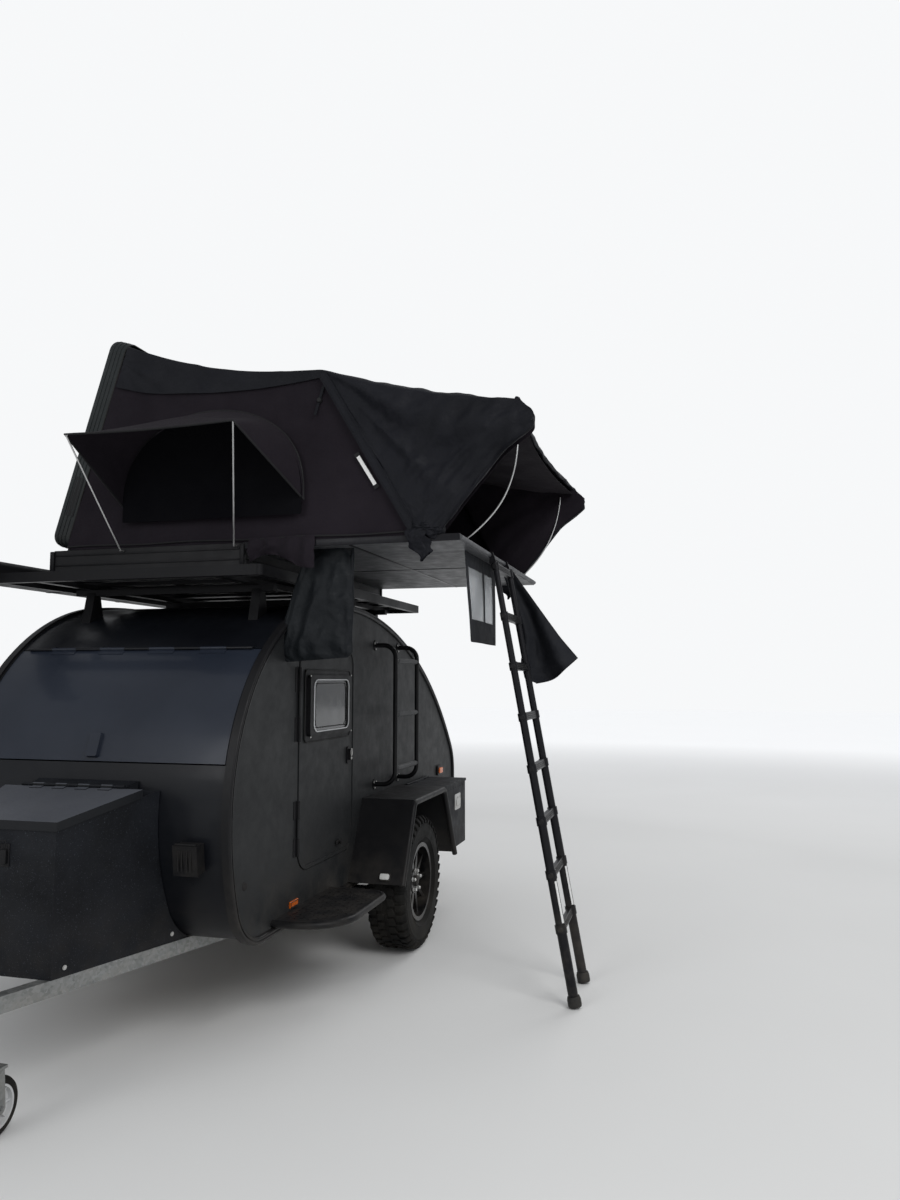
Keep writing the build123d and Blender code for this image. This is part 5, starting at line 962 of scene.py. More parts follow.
# %% Cloth grid helper
def cloth_grid(across, along, place, thickness=0.0016, levels=1, flip=False):
    """A sheet of cloth: a flat grid whose points move to place(across share, along share)."""
    deselect()
    bpy.ops.mesh.primitive_grid_add(x_subdivisions=across, y_subdivisions=along, size=2.0)
    obj = bpy.context.object
    for point in obj.data.vertices:
        point.co = place(point.co.x / 2 + 0.5, point.co.y / 2 + 0.5)
    if flip:
        bpy.ops.object.mode_set(mode="EDIT")
        bpy.ops.mesh.select_all(action="SELECT")
        bpy.ops.mesh.flip_normals()
        bpy.ops.object.mode_set(mode="OBJECT")
    if levels:
        apply_modifier(obj, "SUBSURF", levels=levels, render_levels=levels)
    area = sum(face.area for face in obj.data.polygons)
    if thickness:
        apply_modifier(obj, "SOLIDIFY", thickness=thickness, offset=-1.0)
    return obj, area


def declare_sheet(obj, area):
    """Print a sheet's name and its measured area."""
    print(obj.name, "cloth area", round(area, 3), "m2")


# %% [markdown]
# The walls and roof come first, in a charcoal cloth with a little brown in it.

# %% Tent canopy
def wall_point(share, turn):
    """A point of the walls and roof, drawn in under the fly beyond the ridge."""
    return in_frame(tent_point(share, turn, -0.045 * min(1.0, max(0.0, share - 0.552) / 0.04)))


canopy, canopy_area = cloth_grid(60, 96, wall_point)
finished(canopy, "tent_walls_and_roof", tent_wall_cloth, smooth=60)
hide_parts("tent_canopy")
declare_sheet(canopy, canopy_area)

# %% [markdown]
# A black rain fly lies over the roof. Near the shell it overlaps the wall by a hand's width, and beyond the
# ridge it covers the side right down to the floor, where it is gathered in a roll.

# %% Rain fly
FLY_OUT = 0.009
FLY_START = 0.08
HEM_AT_SHELL, HEM_AT_RIDGE, HEM_AT_FLOOR = 0.80, 0.955, 0.04
RIDGE_HEAD = Vector((TENT_FRONT_X, 0.90, 2.97))


def fly_low(share):
    """How far up the wall the fly's hem lies. Beyond the ridge it drops to the floor."""
    if share < FLY_START:
        return HEM_AT_SHELL
    if share < RIDGE:
        return mix(HEM_AT_SHELL, HEM_AT_RIDGE, (share - FLY_START) / (RIDGE - FLY_START))
    return max(HEM_AT_FLOOR, HEM_AT_RIDGE - (share - RIDGE) * 40)


def fly_point(share, turn):
    """A point of the fly: the tent's surface a little further out, starting at the hem."""
    share = 0.004 + share * 0.996
    extra = FLY_OUT + (0.010 * hump((share - RIDGE) / (1 - RIDGE)) if share > RIDGE else 0.0)
    place = tent_point(share, turn, extra, fly_low(share))
    if share > RIDGE:
        strength = min(1.0, (share - RIDGE) / 0.1)
        fold = creases(place, RIDGE_HEAD, 1.4, 0.030, 9.0)
        fold += 0.024 * crumples(place, 5.0) + 0.010 * noise.noise(place * 4.0)
        if turn < WALL_END or turn > 1 - WALL_END:
            lift = 0.004 + strength * max(0.0, 0.012 + fold * 0.8)
            place.x += lift if turn < 0.5 else -lift
    return in_frame(place)


fly, fly_area = cloth_grid(110, 110, fly_point)
finished(fly, "tent_rain_fly", fly_cloth, smooth=60)
declare_sheet(fly, fly_area)

# %% [markdown]
# A double-stitched band covers the seam from the ridge down to the floor. At its foot the spare cloth of the
# fly is rolled up and held by a strap, so it bulges in soft knots.

# %% Seam band and rolled fly
SEAM_FOOT = (1.336, 2.20)
SEAM_HEAD = (0.890, 2.955)
for side, wall_x, outward in (("front", TENT_FRONT_X, 1), ("rear", TENT_REAR_X, -1)):
    line = [at(wall_x + 0.020 * outward, *mix(SEAM_HEAD, SEAM_FOOT, step / 12)) for step in range(13)]
    band = [ribbon(line, (0, 0.036, 0.020), 0.003)]
    for shift in (-0.012, 0.012):
        stitch_out = Vector((0.0022 * outward, shift, shift * 0.55))
        band.append(pipe([point + stitch_out for point in line], 0.0012))
    finished(band, f"seam_band_{side}", fly_cloth)


def roll_piece(start, end, radius, seed):
    """A soft roll of cloth between two points: a cylinder that is swollen and knotted by noise."""
    deselect()
    start, end = Vector(start), Vector(end)
    length = (end - start).length
    bpy.ops.mesh.primitive_cylinder_add(vertices=28, radius=1.0, depth=1.0, end_fill_type="NGON")
    obj = bpy.context.object
    bpy.ops.object.mode_set(mode="EDIT")
    bpy.ops.mesh.select_all(action="SELECT")
    bpy.ops.mesh.subdivide(number_cuts=1)
    bpy.ops.object.mode_set(mode="OBJECT")
    apply_modifier(obj, "SUBSURF", levels=3, render_levels=3)
    aim = (end - start).to_track_quat("Z", "Y").to_matrix()
    for point in obj.data.vertices:
        along = point.co.z + 0.5
        turn = Vector((point.co.x, point.co.y, along * 3.0 + seed))
        swell = radius * (0.82 + 0.32 * noise.noise(turn * 2.2) + 0.14 * noise.noise(turn * 7.0))
        local = Vector((point.co.x * swell, point.co.y * swell, along * length))
        point.co = start + aim @ local
    return obj


FLY_ROLLS = (
    # side, start, end, radius, seed
    ("front", (TENT_FRONT_X - 0.01, 1.315, 2.225), (TENT_FRONT_X - 0.02, 1.475, 2.200), 0.060, 3.0),
    ("rear", (TENT_REAR_X + 0.03, 1.32, 2.235), (TENT_REAR_X + 0.03, 1.49, 2.205), 0.048, 8.0),
)
for side, start, end, radius, seed in FLY_ROLLS:
    fly_roll = roll_piece(at(*start), at(*end), radius, seed)
    finished(fly_roll, f"fly_roll_{side}", fly_cloth, smooth=80)

# %% [markdown]
# The end of the fly hangs over the floor's edge in a bunch. It is a sleeve of cloth, pinched at its neck and
# pleated, that ends in an uneven point.

# %% Hanging ends
def bunch_point(turn, down, foot):
    """A point of a bunch of cloth that hangs from the floor's edge and narrows."""
    angle = 2 * pi * turn
    ring = Vector((cos(angle), sin(angle), down * 2.5))
    width = mix(0.062, 0.030, down ** 1.5) * (0.8 + 0.6 * noise.noise(ring * 1.7))
    depth = mix(0.020, 0.010, down) * (0.8 + 0.6 * noise.noise(ring * 2.9))
    x = foot[0] + depth * sin(angle) + 0.010 * sin(6.0 * down)
    y = foot[1] + width * cos(angle) - 0.018 * sin(4.0 * down + 0.5)
    return at(x, y, mix(foot[2], foot[2] - 0.13, down) + 0.020 * cos(angle) * down)


for side, foot_x in (("front", TENT_FRONT_X + 0.012), ("rear", TENT_REAR_X - 0.012)):
    foot = (foot_x, 1.372, 2.210)
    bunch, _ = cloth_grid(36, 26, lambda turn, down, foot=foot: bunch_point(turn, down, foot), thickness=0.0)
    tidy_normals(bunch)
    finished(bunch, f"fly_bunch_{side}", fly_cloth, smooth=80)

# %% [markdown]
# The fly's edge is rolled round a thin bow at the porch, in a soft wrinkled roll. Sprung rods inside push the
# porch outwards, so they bend.

# %% Porch hem and bows
def hem_point(turn, along):
    """A point of the rolled hem: a ring of cloth round the porch's edge, swollen here and pinched there."""
    centre = in_frame(tent_point(1.0, along, 0.004))
    ahead = tent_point(1.0, min(along + 0.01, 1.0), 0.004) - tent_point(1.0, max(along - 0.01, 0.0), 0.004)
    across = Vector((0, 1, 0))
    upward = ahead.normalized().cross(across).normalized()
    angle = 2 * pi * turn
    ring = Vector((cos(angle), sin(angle), along * 40.0))
    radius = 0.015 * (0.8 + 0.5 * noise.noise(ring) + 0.3 * noise.noise(ring * 2.3))
    return centre + across * radius * cos(angle) - Vector((0, 0.008, 0)) + upward * radius * sin(angle)


porch_hem, _ = cloth_grid(12, 170, hem_point, thickness=0.0)
tidy_normals(porch_hem)
finished(porch_hem, "porch_hem", fly_cloth, smooth=80)
PORCH_BOWS = (
    ((1.02, 1.455, 2.175), (1.0, 1.618, 2.289), (1.0, 1.744, 2.532), (1.0, 1.745, 2.700)),
    ((-0.52, 1.455, 2.175), (-0.53, 1.600, 2.300), (-0.54, 1.722, 2.570), (-0.54, 1.730, 2.705)),
)
for index, bow_line in enumerate(PORCH_BOWS):
    bow = pipe([at(*point) for point in bow_line], 0.0045, smooth=True, sides=6)
    finished(bow, f"porch_bow_{index + 1}", rod_steel)

# %% [markdown]
# ## The window hood
# A half-round hood stands out from the front wall over the window. Its cloth runs from an arch on the wall to
# a front edge that two sprung rods push outwards. It is one curved sheet between those two lines.

# %% Hood
HOOD_CENTRE_Y = 0.325
HOOD_HALF = 0.475
HOOD_FOOT_Z = 2.37
HOOD_TOP_Z = 2.826
HOOD_CORNERS = ((1.694, -0.222, 2.655), (1.694, 0.628, 2.655))


def hood_arch(share):
    """The arch on the wall, from its right foot to its left foot."""
    turn = pi * (1 - share)
    height = mix(HOOD_FOOT_Z, HOOD_TOP_Z, sin(turn) ** 0.75)
    return Vector((TENT_FRONT_X + 0.004, HOOD_CENTRE_Y + HOOD_HALF * cos(turn), height))


def hood_edge(share):
    """The front edge, from the wall to one corner, along to the other, and back to the wall."""
    right, left = Vector(HOOD_CORNERS[0]), Vector(HOOD_CORNERS[1])
    if share < 0.3:
        return hood_arch(0.0).lerp(right, share / 0.3)
    if share > 0.7:
        return left.lerp(hood_arch(1.0), (share - 0.7) / 0.3)
    middle = right.lerp(left, (share - 0.3) / 0.4)
    middle.z -= 0.010 * hump((share - 0.3) / 0.4)
    return middle


def hood_point(across, out):
    """A point of the hood's cloth, sagging a little between the arch and the edge."""
    place = hood_arch(across).lerp(hood_edge(across), out)
    loose = hump(out) * hump(across) ** 0.5
    place.z += 0.020 * loose * hump((across - 0.1) / 0.8) - 0.012 * loose
    place.z += 0.006 * noise.noise(place * 5.0) * loose
    place.y += 0.010 * loose * (1 if across > 0.5 else -1)
    return in_frame(place)


hood, hood_area = cloth_grid(40, 14, hood_point, flip=True)
finished(hood, "window_hood", tent_wall_cloth, smooth=60)
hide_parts("window_awning")
hood_hem = pipe([in_frame(hood_edge(step / 40)) for step in range(41)], 0.005, sides=6)
finished(hood_hem, "window_hood_hem", strap_cloth, smooth=60)
arch_line = [in_frame(hood_arch(step / 32) + Vector((0.003, 0, 0))) for step in range(33)]
arch_piping = pipe(arch_line, 0.004, sides=6)
finished(arch_piping, "window_arch_piping", strap_cloth, smooth=60)
declare_sheet(hood, hood_area)

# %% [markdown]
# Under the hood the window is black insect mesh, sewn in with a zip. Its tone is made darker still as a
# painted shade under the hood. It is set just off the wall cloth.

# %% Window mesh
def mesh_point(across, up):
    """A point of the mesh panel, filled from the sill to the arch."""
    arch = hood_arch(0.03 + 0.94 * across)
    place = Vector((TENT_FRONT_X + 0.012, arch.y, mix(2.30, arch.z - 0.02, up)))
    place.x -= 0.020 * hump(up) * hump(across) - 0.012
    return in_frame(place)


mesh_panel, mesh_area = cloth_grid(24, 12, mesh_point, thickness=0.001)
finished(mesh_panel, "window_mesh", mesh_cloth_painted_shade, smooth=60)
declare_sheet(mesh_panel, mesh_area)

# %% [markdown]
# ## Loose cloth at the tent's edge
# A stuff bag hangs from the floor's edge. It is a lofted shell: rings of points from its gathered neck to its
# sagging bottom, each ring as wide as the bag is at that height, with folds that deepen downwards.

# %% Hanging bag
BAG_ROWS = (
    # height, right edge Y, left edge Y, half thickness
    (2.165, 0.790, 1.012, 0.006),
    (2.110, 0.762, 1.014, 0.016),
    (2.022, 0.727, 1.014, 0.024),
    (1.907, 0.695, 1.012, 0.028),
    (1.800, 0.660, 1.012, 0.030),
    (1.700, 0.636, 1.010, 0.028),
    (1.655, 0.640, 1.008, 0.018),
    (1.632, 0.680, 0.990, 0.004),
)
BAG_X = 1.235


def bag_creases(place):
    """Sharp, angular folds of a light bag: ridges between flat facets, in two sizes."""
    leaning = Vector((place.x * 3.0, place.y * 5.0 + place.z * 2.0, place.z * 4.0 - place.y * 2.0))
    finer = leaning * 2.1 + Vector((4.0, 1.0, 2.0))
    return 0.5 - 1.5 * abs(noise.noise(leaning)) - 0.8 * abs(noise.noise(finer))


def bag_point(turn, down):
    """A point of the bag's skin: around it and down it."""
    z, right, left, half = along_line(BAG_ROWS, down)
    angle = 2 * pi * turn
    y = (right + left) / 2 + (left - right) / 2 * cos(angle) * (1 + 0.012 * sin(17 * down))
    front = Vector((sin(angle), y, z))
    fold = 0.030 * bag_creases(front) + 0.006 * sin(7 * angle + 5 * down) * (1 - down)
    fold *= min(1.0, half / 0.02)
    return at(BAG_X + (half + fold) * sin(angle), y, z + 0.010 * cos(angle) * down)


bag, _ = cloth_grid(72, 72, bag_point, thickness=0.0)
tidy_normals(bag)
finished(bag, "hanging_bag", bag_cloth, smooth=80)
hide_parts("loose_cloth")
neck_line = [at(BAG_X + 0.008, 0.800 + 0.0205 * step, 2.150 + 0.002 * sin(step)) for step in range(11)]
finished(ribbon(neck_line, (0, 0, 0.016), 0.0025), "bag_neck_band", strap_cloth)

# %% [markdown]
# The organizer is a panel with a clear window, a dark border and a pocket along its foot. It hangs by the
# ladder, and the clear film catches the light.

# %% Organizer
film = clear("film", (0.62, 0.64, 0.66), 0.18, transmission=0.6)
ORGANIZER_Y = 1.490
ORGANIZER_BACK_X = 0.36
ORGANIZER_FRONT_X = (0.89, 1.03)
ORGANIZER_Z = (1.722, 2.150)


def organizer_point(across, up, out=0.0):
    """A point of the panel, waving gently below its hem."""
    x, z = mix(ORGANIZER_BACK_X, mix(*ORGANIZER_FRONT_X, up), across), mix(*ORGANIZER_Z, up)
    wave = 0.0035 * sin(9 * across + 2.0) * (1 - up) + 0.002 * noise.noise(Vector((x * 6, 0, z * 6)))
    return at(x, ORGANIZER_Y + wave + out, z)


organizer, organizer_area = cloth_grid(24, 22, lambda a, b: organizer_point(a, b, -0.001), thickness=0.0008)
finished(organizer, "organizer_window", film, smooth=60)
ORGANIZER_BORDERS = (
    # from and to, as shares across and up the panel: top, pocket, back, front and middle
    ((0.0, 0.84), (1.0, 1.0)),
    ((0.0, 0.0), (1.0, 0.26)),
    ((0.0, 0.0), (0.10, 1.0)),
    ((0.93, 0.0), (1.0, 1.0)),
    ((0.40, 0.2), (0.45, 0.9)),
)


def border_strip(low, high):
    """One strip of the dark border, sewn on the panel's outer face."""
    def place(across, up):
        return organizer_point(mix(low[0], high[0], across), mix(low[1], high[1], up), 0.0016)

    return cloth_grid(8, 8, place, thickness=0.0014)[0]


borders = [border_strip(low, high) for low, high in ORGANIZER_BORDERS]
organizer_border = finished(borders, "organizer_border", flap_cloth, smooth=60)
declare_sheet(organizer, organizer_area)

# %% [markdown]
# The porch flap hangs below the floor behind the ladder and is blown outwards. It is cut as a long triangle.

# %% Flap
FLAP_RIGHT = (
    (1.500, 2.175), (1.560, 2.00), (1.612, 1.86), (1.636, 1.751), (1.618, 1.640), (1.640, 1.545),
    (1.700, 1.520),
)
FLAP_LEFT = (
    (1.560, 2.150), (1.630, 2.05), (1.698, 1.954), (1.762, 1.862), (1.823, 1.775), (1.876, 1.710),
    (1.920, 1.656),
)


def flap_point(across, down):
    """A point of the flap between its two edges, with long folds from its top corner."""
    right, left = along_line(FLAP_RIGHT, down), along_line(FLAP_LEFT, down)
    y, z = mix(right, left, across)
    z -= 0.030 * hump(across) * down ** 2
    x = 0.245 + 0.045 * sin(8.0 * across + 2.0 * down) * down
    x += 0.020 * noise.noise(Vector((y * 5, z * 4, 2.0)))
    x += 0.020 * bag_creases(Vector((0.3, y, z)))
    return at(x, y, z)


flap, flap_area = cloth_grid(36, 48, flap_point)
finished(flap, "porch_flap", flap_cloth, smooth=60)
flap_edge = [flap_point(1.0, step / 20) for step in range(21)]
flap_edge += [flap_point(1 - step / 12, 1.0) for step in range(13)]
flap_hem = pipe(flap_edge, 0.003)
finished(flap_hem, "porch_flap_hem", strap_cloth)
declare_sheet(flap, flap_area)

# %% [markdown]
# Below the tent's front wall, the spare end of the wall cloth is gathered over the tray, and a piping runs
# along the wall's foot.

# %% Gathered skirt
def skirt_point(across, down):
    """A point of the gathered skirt that hangs over the tray's front edge."""
    y = mix(0.53, 0.86, across) + 0.015 * noise.noise(Vector((across * 6, down * 3, 1.0)))
    z = mix(2.200, 2.085 + 0.035 * sin(5 * across), down)
    x = 1.336 + 0.012 * hump(down) + 0.010 * sin(22 * across + 2 * down) * hump(down) ** 0.5
    return at(x, y, z)


skirt, skirt_area = cloth_grid(44, 14, skirt_point)
finished(skirt, "gathered_skirt", tent_wall_cloth, smooth=80)
declare_sheet(skirt, skirt_area)
foot_line = [at(1.334, mix(-0.47, 1.30, step / 20), 2.196 + 0.003 * sin(step)) for step in range(21)]
finished(pipe(foot_line, 0.004), "wall_foot_piping", strap_cloth)

# %% [markdown]
# ## Tent shell and tray
# The lid's edge has three fine ridges that run right round it and stiffen the moulding. The tray has rails,
# hinge plates and corner caps, and the folded-out floor has edge profiles and joints between its panels.

# %% Shell ridges
SHELL_LEAN = radians(17.0)
SHELL_FOOT = (-0.577, 2.220)
SHELL_LENGTH = 1.93
SHELL_HEIGHT = 1.08
SHELL_MIDDLE_X = (TENT_FRONT_X + TENT_REAR_X) / 2
SHELL_RIB = ((-0.02, 0.10), (0.02, 0.10), (0.028, 0.98), (-0.028, 0.98))
SHELL_LABEL = ((0.040, 0.16), (0.085, 0.16), (0.085, 0.36), (0.040, 0.36))


def shell_place(x, depth, height):
    """A point of the open shell: X, depth inward from its skin, height along its lean."""
    return at(
        x,
        SHELL_FOOT[0] + height * sin(SHELL_LEAN) + depth * cos(SHELL_LEAN),
        SHELL_FOOT[1] + height * cos(SHELL_LEAN) - depth * sin(SHELL_LEAN),
    )


def shell_ring(depth, grow, corner, radius):
    """A thin round bar that runs round the shell's edge at a depth from its skin."""
    return pipe([
        shell_place(SHELL_MIDDLE_X + x, depth, SHELL_HEIGHT / 2 + height)
        for x, height in rounded_outline(SHELL_LENGTH + grow, SHELL_HEIGHT + grow, corner)
    ], radius, closed=True)


ridges = [shell_ring(depth, 0.001, 0.060, 0.0028) for depth in (0.030, 0.052, 0.074)]
finished(ridges, "shell_ridges", shell_black)
finished(shell_ring(0.099, -0.004, 0.058, 0.004), "shell_seal", seal_rubber)
rib_out = (0, -0.006 * cos(SHELL_LEAN), 0.006 * sin(SHELL_LEAN))
panel_ribs = [
    plate([shell_place(x + across, 0.001, height) for across, height in SHELL_RIB], rib_out, 0.003)
    for x in (-0.35, 0.05, 0.45, 0.85, 1.10)
]
finished(panel_ribs, "shell_back_ribs", shell_black)

# %% Tray and floor fittings
HINGE_X = (-0.35, 1.05)


def blocks(corners, bevel=0.002):
    """Boxes between pairs of corners, each measured from the axle and the ground."""
    return [block(at(*low), at(*high), bevel) for low, high in corners]


tray_parts = [
    block(at(x - 0.012, y - 0.012, 2.078), at(x + 0.012, y + 0.012, 2.176), 0.004)
    for x in (TENT_REAR_X, TENT_FRONT_X) for y in (-0.556, 0.491)
]
for z in (2.100, 2.150):
    tray_parts += blocks((
        ((-0.58, 0.4935, z), (1.31, 0.4985, z + 0.010)),
        ((1.3285, -0.54, z), (1.3335, 0.475, z + 0.010)),
    ))
tray_parts += blocks(((x - 0.05, 0.494, 2.155), (x + 0.05, 0.500, 2.180)) for x in HINGE_X)
finished(tray_parts, "tray_fittings", rack_black)
hinge_bolts = [bolt(at(x + dx, 0.500, 2.167), (0, 1, 0), 0.006) for x in HINGE_X for dx in (-0.03, 0.03)]
finished(hinge_bolts, "tray_hinge_bolts", bolt_zinc)
floor_edge = blocks(
    ((x, 0.50, 2.150), (x + 0.006, 1.545, 2.182)) for x in (TENT_FRONT_X + 0.0005, TENT_REAR_X - 0.0065)
)
finished(floor_edge, "floor_edge_profiles", anodised_black)
panel_joints = blocks((
    ((0.36, 0.50, 2.1475), (0.38, 1.53, 2.1505)),
    ((-0.59, 1.02, 2.1475), (1.32, 1.035, 2.1505)),
), 0.001)
finished(panel_joints, "floor_panel_joints", anodised_black)
strap_line = [at(0.30, y, z) for y, z in ((0.62, 2.146), (0.64, 2.06), (0.655, 1.98), (0.64, 1.93))]
finished(ribbon(strap_line, (0.025, 0, 0), 0.002), "floor_strap", strap_cloth)
label_corners = [shell_place(TENT_FRONT_X + 0.0035, depth, height) for depth, height in SHELL_LABEL]
finished(plate(label_corners, (0.0008, 0, 0)), "shell_blank_label", moulded_black)

# %% [markdown]
# The tent ladder is a telescope of black tubes. Each rung has grip lines and end caps, and each foot a
# rubber shoe. Blank pale strips lie on the rails between the lowest two rungs.

# %% Tent ladder fittings
LADDER_X, LADDER_HALF = 0.55, 0.18
LADDER_FOOT = Vector((0, 1.950, 0.0))
LADDER_HEAD = Vector((0, 1.572, 2.125))
RUNG_COUNT = 8
FIRST_RUNG = 0.130
RUNG_CAP = [(0, 0), (0.014, 0), (0.014, 0.006), (0.010, 0.010), (0, 0.010)]
SHOE = [(0, -0.003), (0.031, -0.003), (0.033, 0.004), (0.033, 0.030), (0.029, 0.045), (0, 0.045)]
STRIP = ((-0.006, 0.0), (0.006, 0.0), (0.006, 0.195), (-0.006, 0.195))
STRAP_LOOP = (
    # across from the ladder's middle, then out and up from the place where the strap starts
    (-0.205, 0.0, 0.0), (-0.222, 0.01, -0.07), (-0.216, 0.02, -0.15), (-0.206, 0.02, -0.08),
    (-0.204, 0.005, -0.01),
)
ladder_run = LADDER_HEAD - LADDER_FOOT
ladder_up = ladder_run.normalized()
ladder_out = Vector((0, ladder_up.z, -ladder_up.y))
rung_pitch = (ladder_run.length - FIRST_RUNG) / RUNG_COUNT
rung_caps, rung_lines = [], []
for rung in range(RUNG_COUNT):
    place = LADDER_FOOT + ladder_up * (FIRST_RUNG + (rung + 1) * rung_pitch - 0.020)
    for side in (-1, 1):
        centre = at(LADDER_X + side * (LADDER_HALF + 0.020), place.y, place.z)
        rung_caps.append(knob_shape(centre, (side, 0, 0), RUNG_CAP, 14))
    for step in (-0.009, 0.0, 0.009):
        low = at(LADDER_X - 0.130, place.y, place.z) + ladder_out * 0.0118 + ladder_up * step
        rung_lines.append(pipe([low, low + Vector((0.26, 0, 0))], 0.0022))
finished(rung_caps, "ladder_rung_caps", moulded_black)
finished(rung_lines, "ladder_rung_grips", seal_rubber)
strip_out = (ladder_out * 0.77 + Vector((0.64, 0, 0))).normalized()
strip_across = ladder_up.cross(strip_out)
shoes, blank_strips = [], []
for side in (-1, 1):
    rail_x = LADDER_X + side * LADDER_HALF
    shoes.append(knob_shape(at(rail_x, LADDER_FOOT.y - 0.001, 0.010), ladder_up, SHOE, 24))
    foot = at(rail_x, 0, 0) + LADDER_FOOT + ladder_up * 0.392 + strip_out * 0.0221
    corners = [foot + strip_across * across + ladder_up * up for across, up in STRIP]
    blank_strips.append(plate(corners, strip_out * 0.0016))
finished(shoes, "ladder_shoes", seal_rubber)
finished(blank_strips, "ladder_blank_strips", blank_white)
start = LADDER_FOOT + ladder_up * 0.36
loop_line = [at(LADDER_X + across, start.y + out, start.z + up) for across, out, up in STRAP_LOOP]
finished(pipe(loop_line, 0.004, smooth=True), "ladder_strap", strap_cloth)

# %% [markdown]
# ## Wheels
# A tyre is a carcass that is spun round the wheel's axis. Its tread blocks are made once for each row, and
# spun as copies. Only half of the section is written down, because the other half is its mirror.

# %% Tyres
SIDES = ((1, "left"), (-1, "right"))
TYRE_R = 0.372
TYRE_Y = 0.872
TREAD_PITCHES = 40
TYRE_HALF_SECTION = (
    # out from the tyre's middle, radius
    (0.0000, 0.3635), (0.0560, 0.3632), (0.0900, 0.3590), (0.1035, 0.3460), (0.1075, 0.3300),
    (0.1100, 0.3190), (0.1108, 0.3175), (0.1108, 0.3150), (0.1102, 0.3135), (0.1115, 0.2990),
    (0.1120, 0.2850), (0.1095, 0.2630), (0.1090, 0.2525), (0.1102, 0.2510), (0.1102, 0.2480),
    (0.1070, 0.2465), (0.1010, 0.2350), (0.0910, 0.2270), (0.0885, 0.2195), (0.0820, 0.2190),
    (0.0820, 0.2035), (0.0700, 0.2035), (0.0900, 0.2700), (0.0900, 0.3300), (0.0600, 0.3480),
    (0.0000, 0.3490),
)
TREAD_BLOCKS = (
    # section of the block as out and radius, share of the pitch that it fills, skew, turn in pitches
    (
        ((0.052, 0.358), (0.052, 0.3716), (0.088, 0.3716), (0.1085, 0.3475), (0.11, 0.33), (0.095, 0.33)),
        0.62, 0.006, 0.0,
    ),
    (((0.006, 0.358), (0.006, 0.372), (0.045, 0.372), (0.045, 0.358)), 0.74, 0.012, 0.45),
)


def spun_copies(obj, centre, axis, count):
    """The piece and its copies, evenly round an axis."""
    choose(obj)
    bpy.ops.object.mode_set(mode="EDIT")
    bpy.ops.mesh.select_all(action="SELECT")
    turn = 2 * pi * (count - 1) / count
    bpy.ops.mesh.spin(steps=count - 1, dupli=True, angle=turn, center=centre, axis=axis)
    bpy.ops.object.mode_set(mode="OBJECT")
    return obj


def tread_row(side, half, section, share, skew, turn):
    """One row of tread blocks: a block on top of the wheel, turned to its place, then spun."""
    length = 2 * pi * TYRE_R / TREAD_PITCHES * share
    outline = [at(-length / 2, side * (TYRE_Y + half * out), TYRE_R + radius) for out, radius in section]
    one = plate(outline, (length, side * half * skew, 0), 0.0022, 1)
    axle = at(0, side * TYRE_Y, TYRE_R)
    angle = 2 * pi * (turn + 0.25 * half) / TREAD_PITCHES
    one.data.transform(Matrix.Translation(axle) @ Matrix.Rotation(angle, 4, "Y") @ Matrix.Translation(-axle))
    return spun_copies(one, axle, (0, 1, 0), TREAD_PITCHES)


for side, label in SIDES:
    far = [(radius, -out) for out, radius in reversed(TYRE_HALF_SECTION[1:])]
    near = [(radius, out) for out, radius in TYRE_HALF_SECTION]
    carcass = knob_shape(at(0, side * TYRE_Y, TYRE_R), (0, 1, 0), far + near + far[:1], 96)
    rows = [tread_row(side, half, *row) for half in (1, -1) for row in TREAD_BLOCKS]
    tyre = finished([carcass] + rows, f"tyre_{label}_with_tread", tyre_rubber, f"wheel_{label}", 40)
    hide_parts(f"tyre_{label}")

# %% [markdown]
# Each wheel is held by five nuts in their seats, with a domed cap in the middle and a rubber valve.

# %% Wheel fittings
DISC_Y = 0.9325
NUT_CIRCLE = 0.056
NUT_SEAT = [(0, 0), (0.013, 0), (0.0125, 0.0025), (0.010, 0.0045), (0, 0.0045)]
NUT = [(0, 0.004), (0.0098, 0.004), (0.0098, 0.017), (0.007, 0.021), (0, 0.022)]
HUB_CAP = [
    (0, 0), (0.0305, 0), (0.0305, 0.003), (0.028, 0.005), (0.0265, 0.0035), (0.024, 0.0035),
    (0.018, 0.0075), (0, 0.010),
]
VALVE = [
    (0, 0), (0.007, 0), (0.007, 0.006), (0.0045, 0.012), (0.0042, 0.026), (0.005, 0.0265),
    (0.005, 0.034), (0, 0.036),
]


def side_knob(side, x, z, out, profile, sides=20):
    """A turned piece that stands outwards on one side of the trailer."""
    return knob_shape(at(x, side * out, z), (0, side, 0), profile, sides)


for side, label in SIDES:
    wheel = f"wheel_{label}"
    nuts = []
    for index in range(5):
        angle = 2 * pi * index / 5 + pi / 10
        place = (NUT_CIRCLE * cos(angle), TYRE_R + NUT_CIRCLE * sin(angle))
        nuts += [side_knob(side, *place, DISC_Y, NUT_SEAT), side_knob(side, *place, DISC_Y, NUT, 6)]
    finished(nuts, f"wheel_nuts_{label}", bolt_zinc, wheel, 30)
    cap = side_knob(side, 0, TYRE_R, DISC_Y + 0.010, HUB_CAP, 40)
    finished(cap, f"hub_cap_{label}", moulded_black, wheel, 40)
    valve = side_knob(side, 0.128, TYRE_R - 0.136, 0.930, VALVE, 16)
    finished(valve, f"valve_{label}", seal_rubber, wheel, 40)

# %% [markdown]
# The jockey wheel has a pale moulded rim with eight ribs on its web, and a solid rubber tyre with a shallow
# groove. Its axis comes from the CAD piece that it takes the place of.

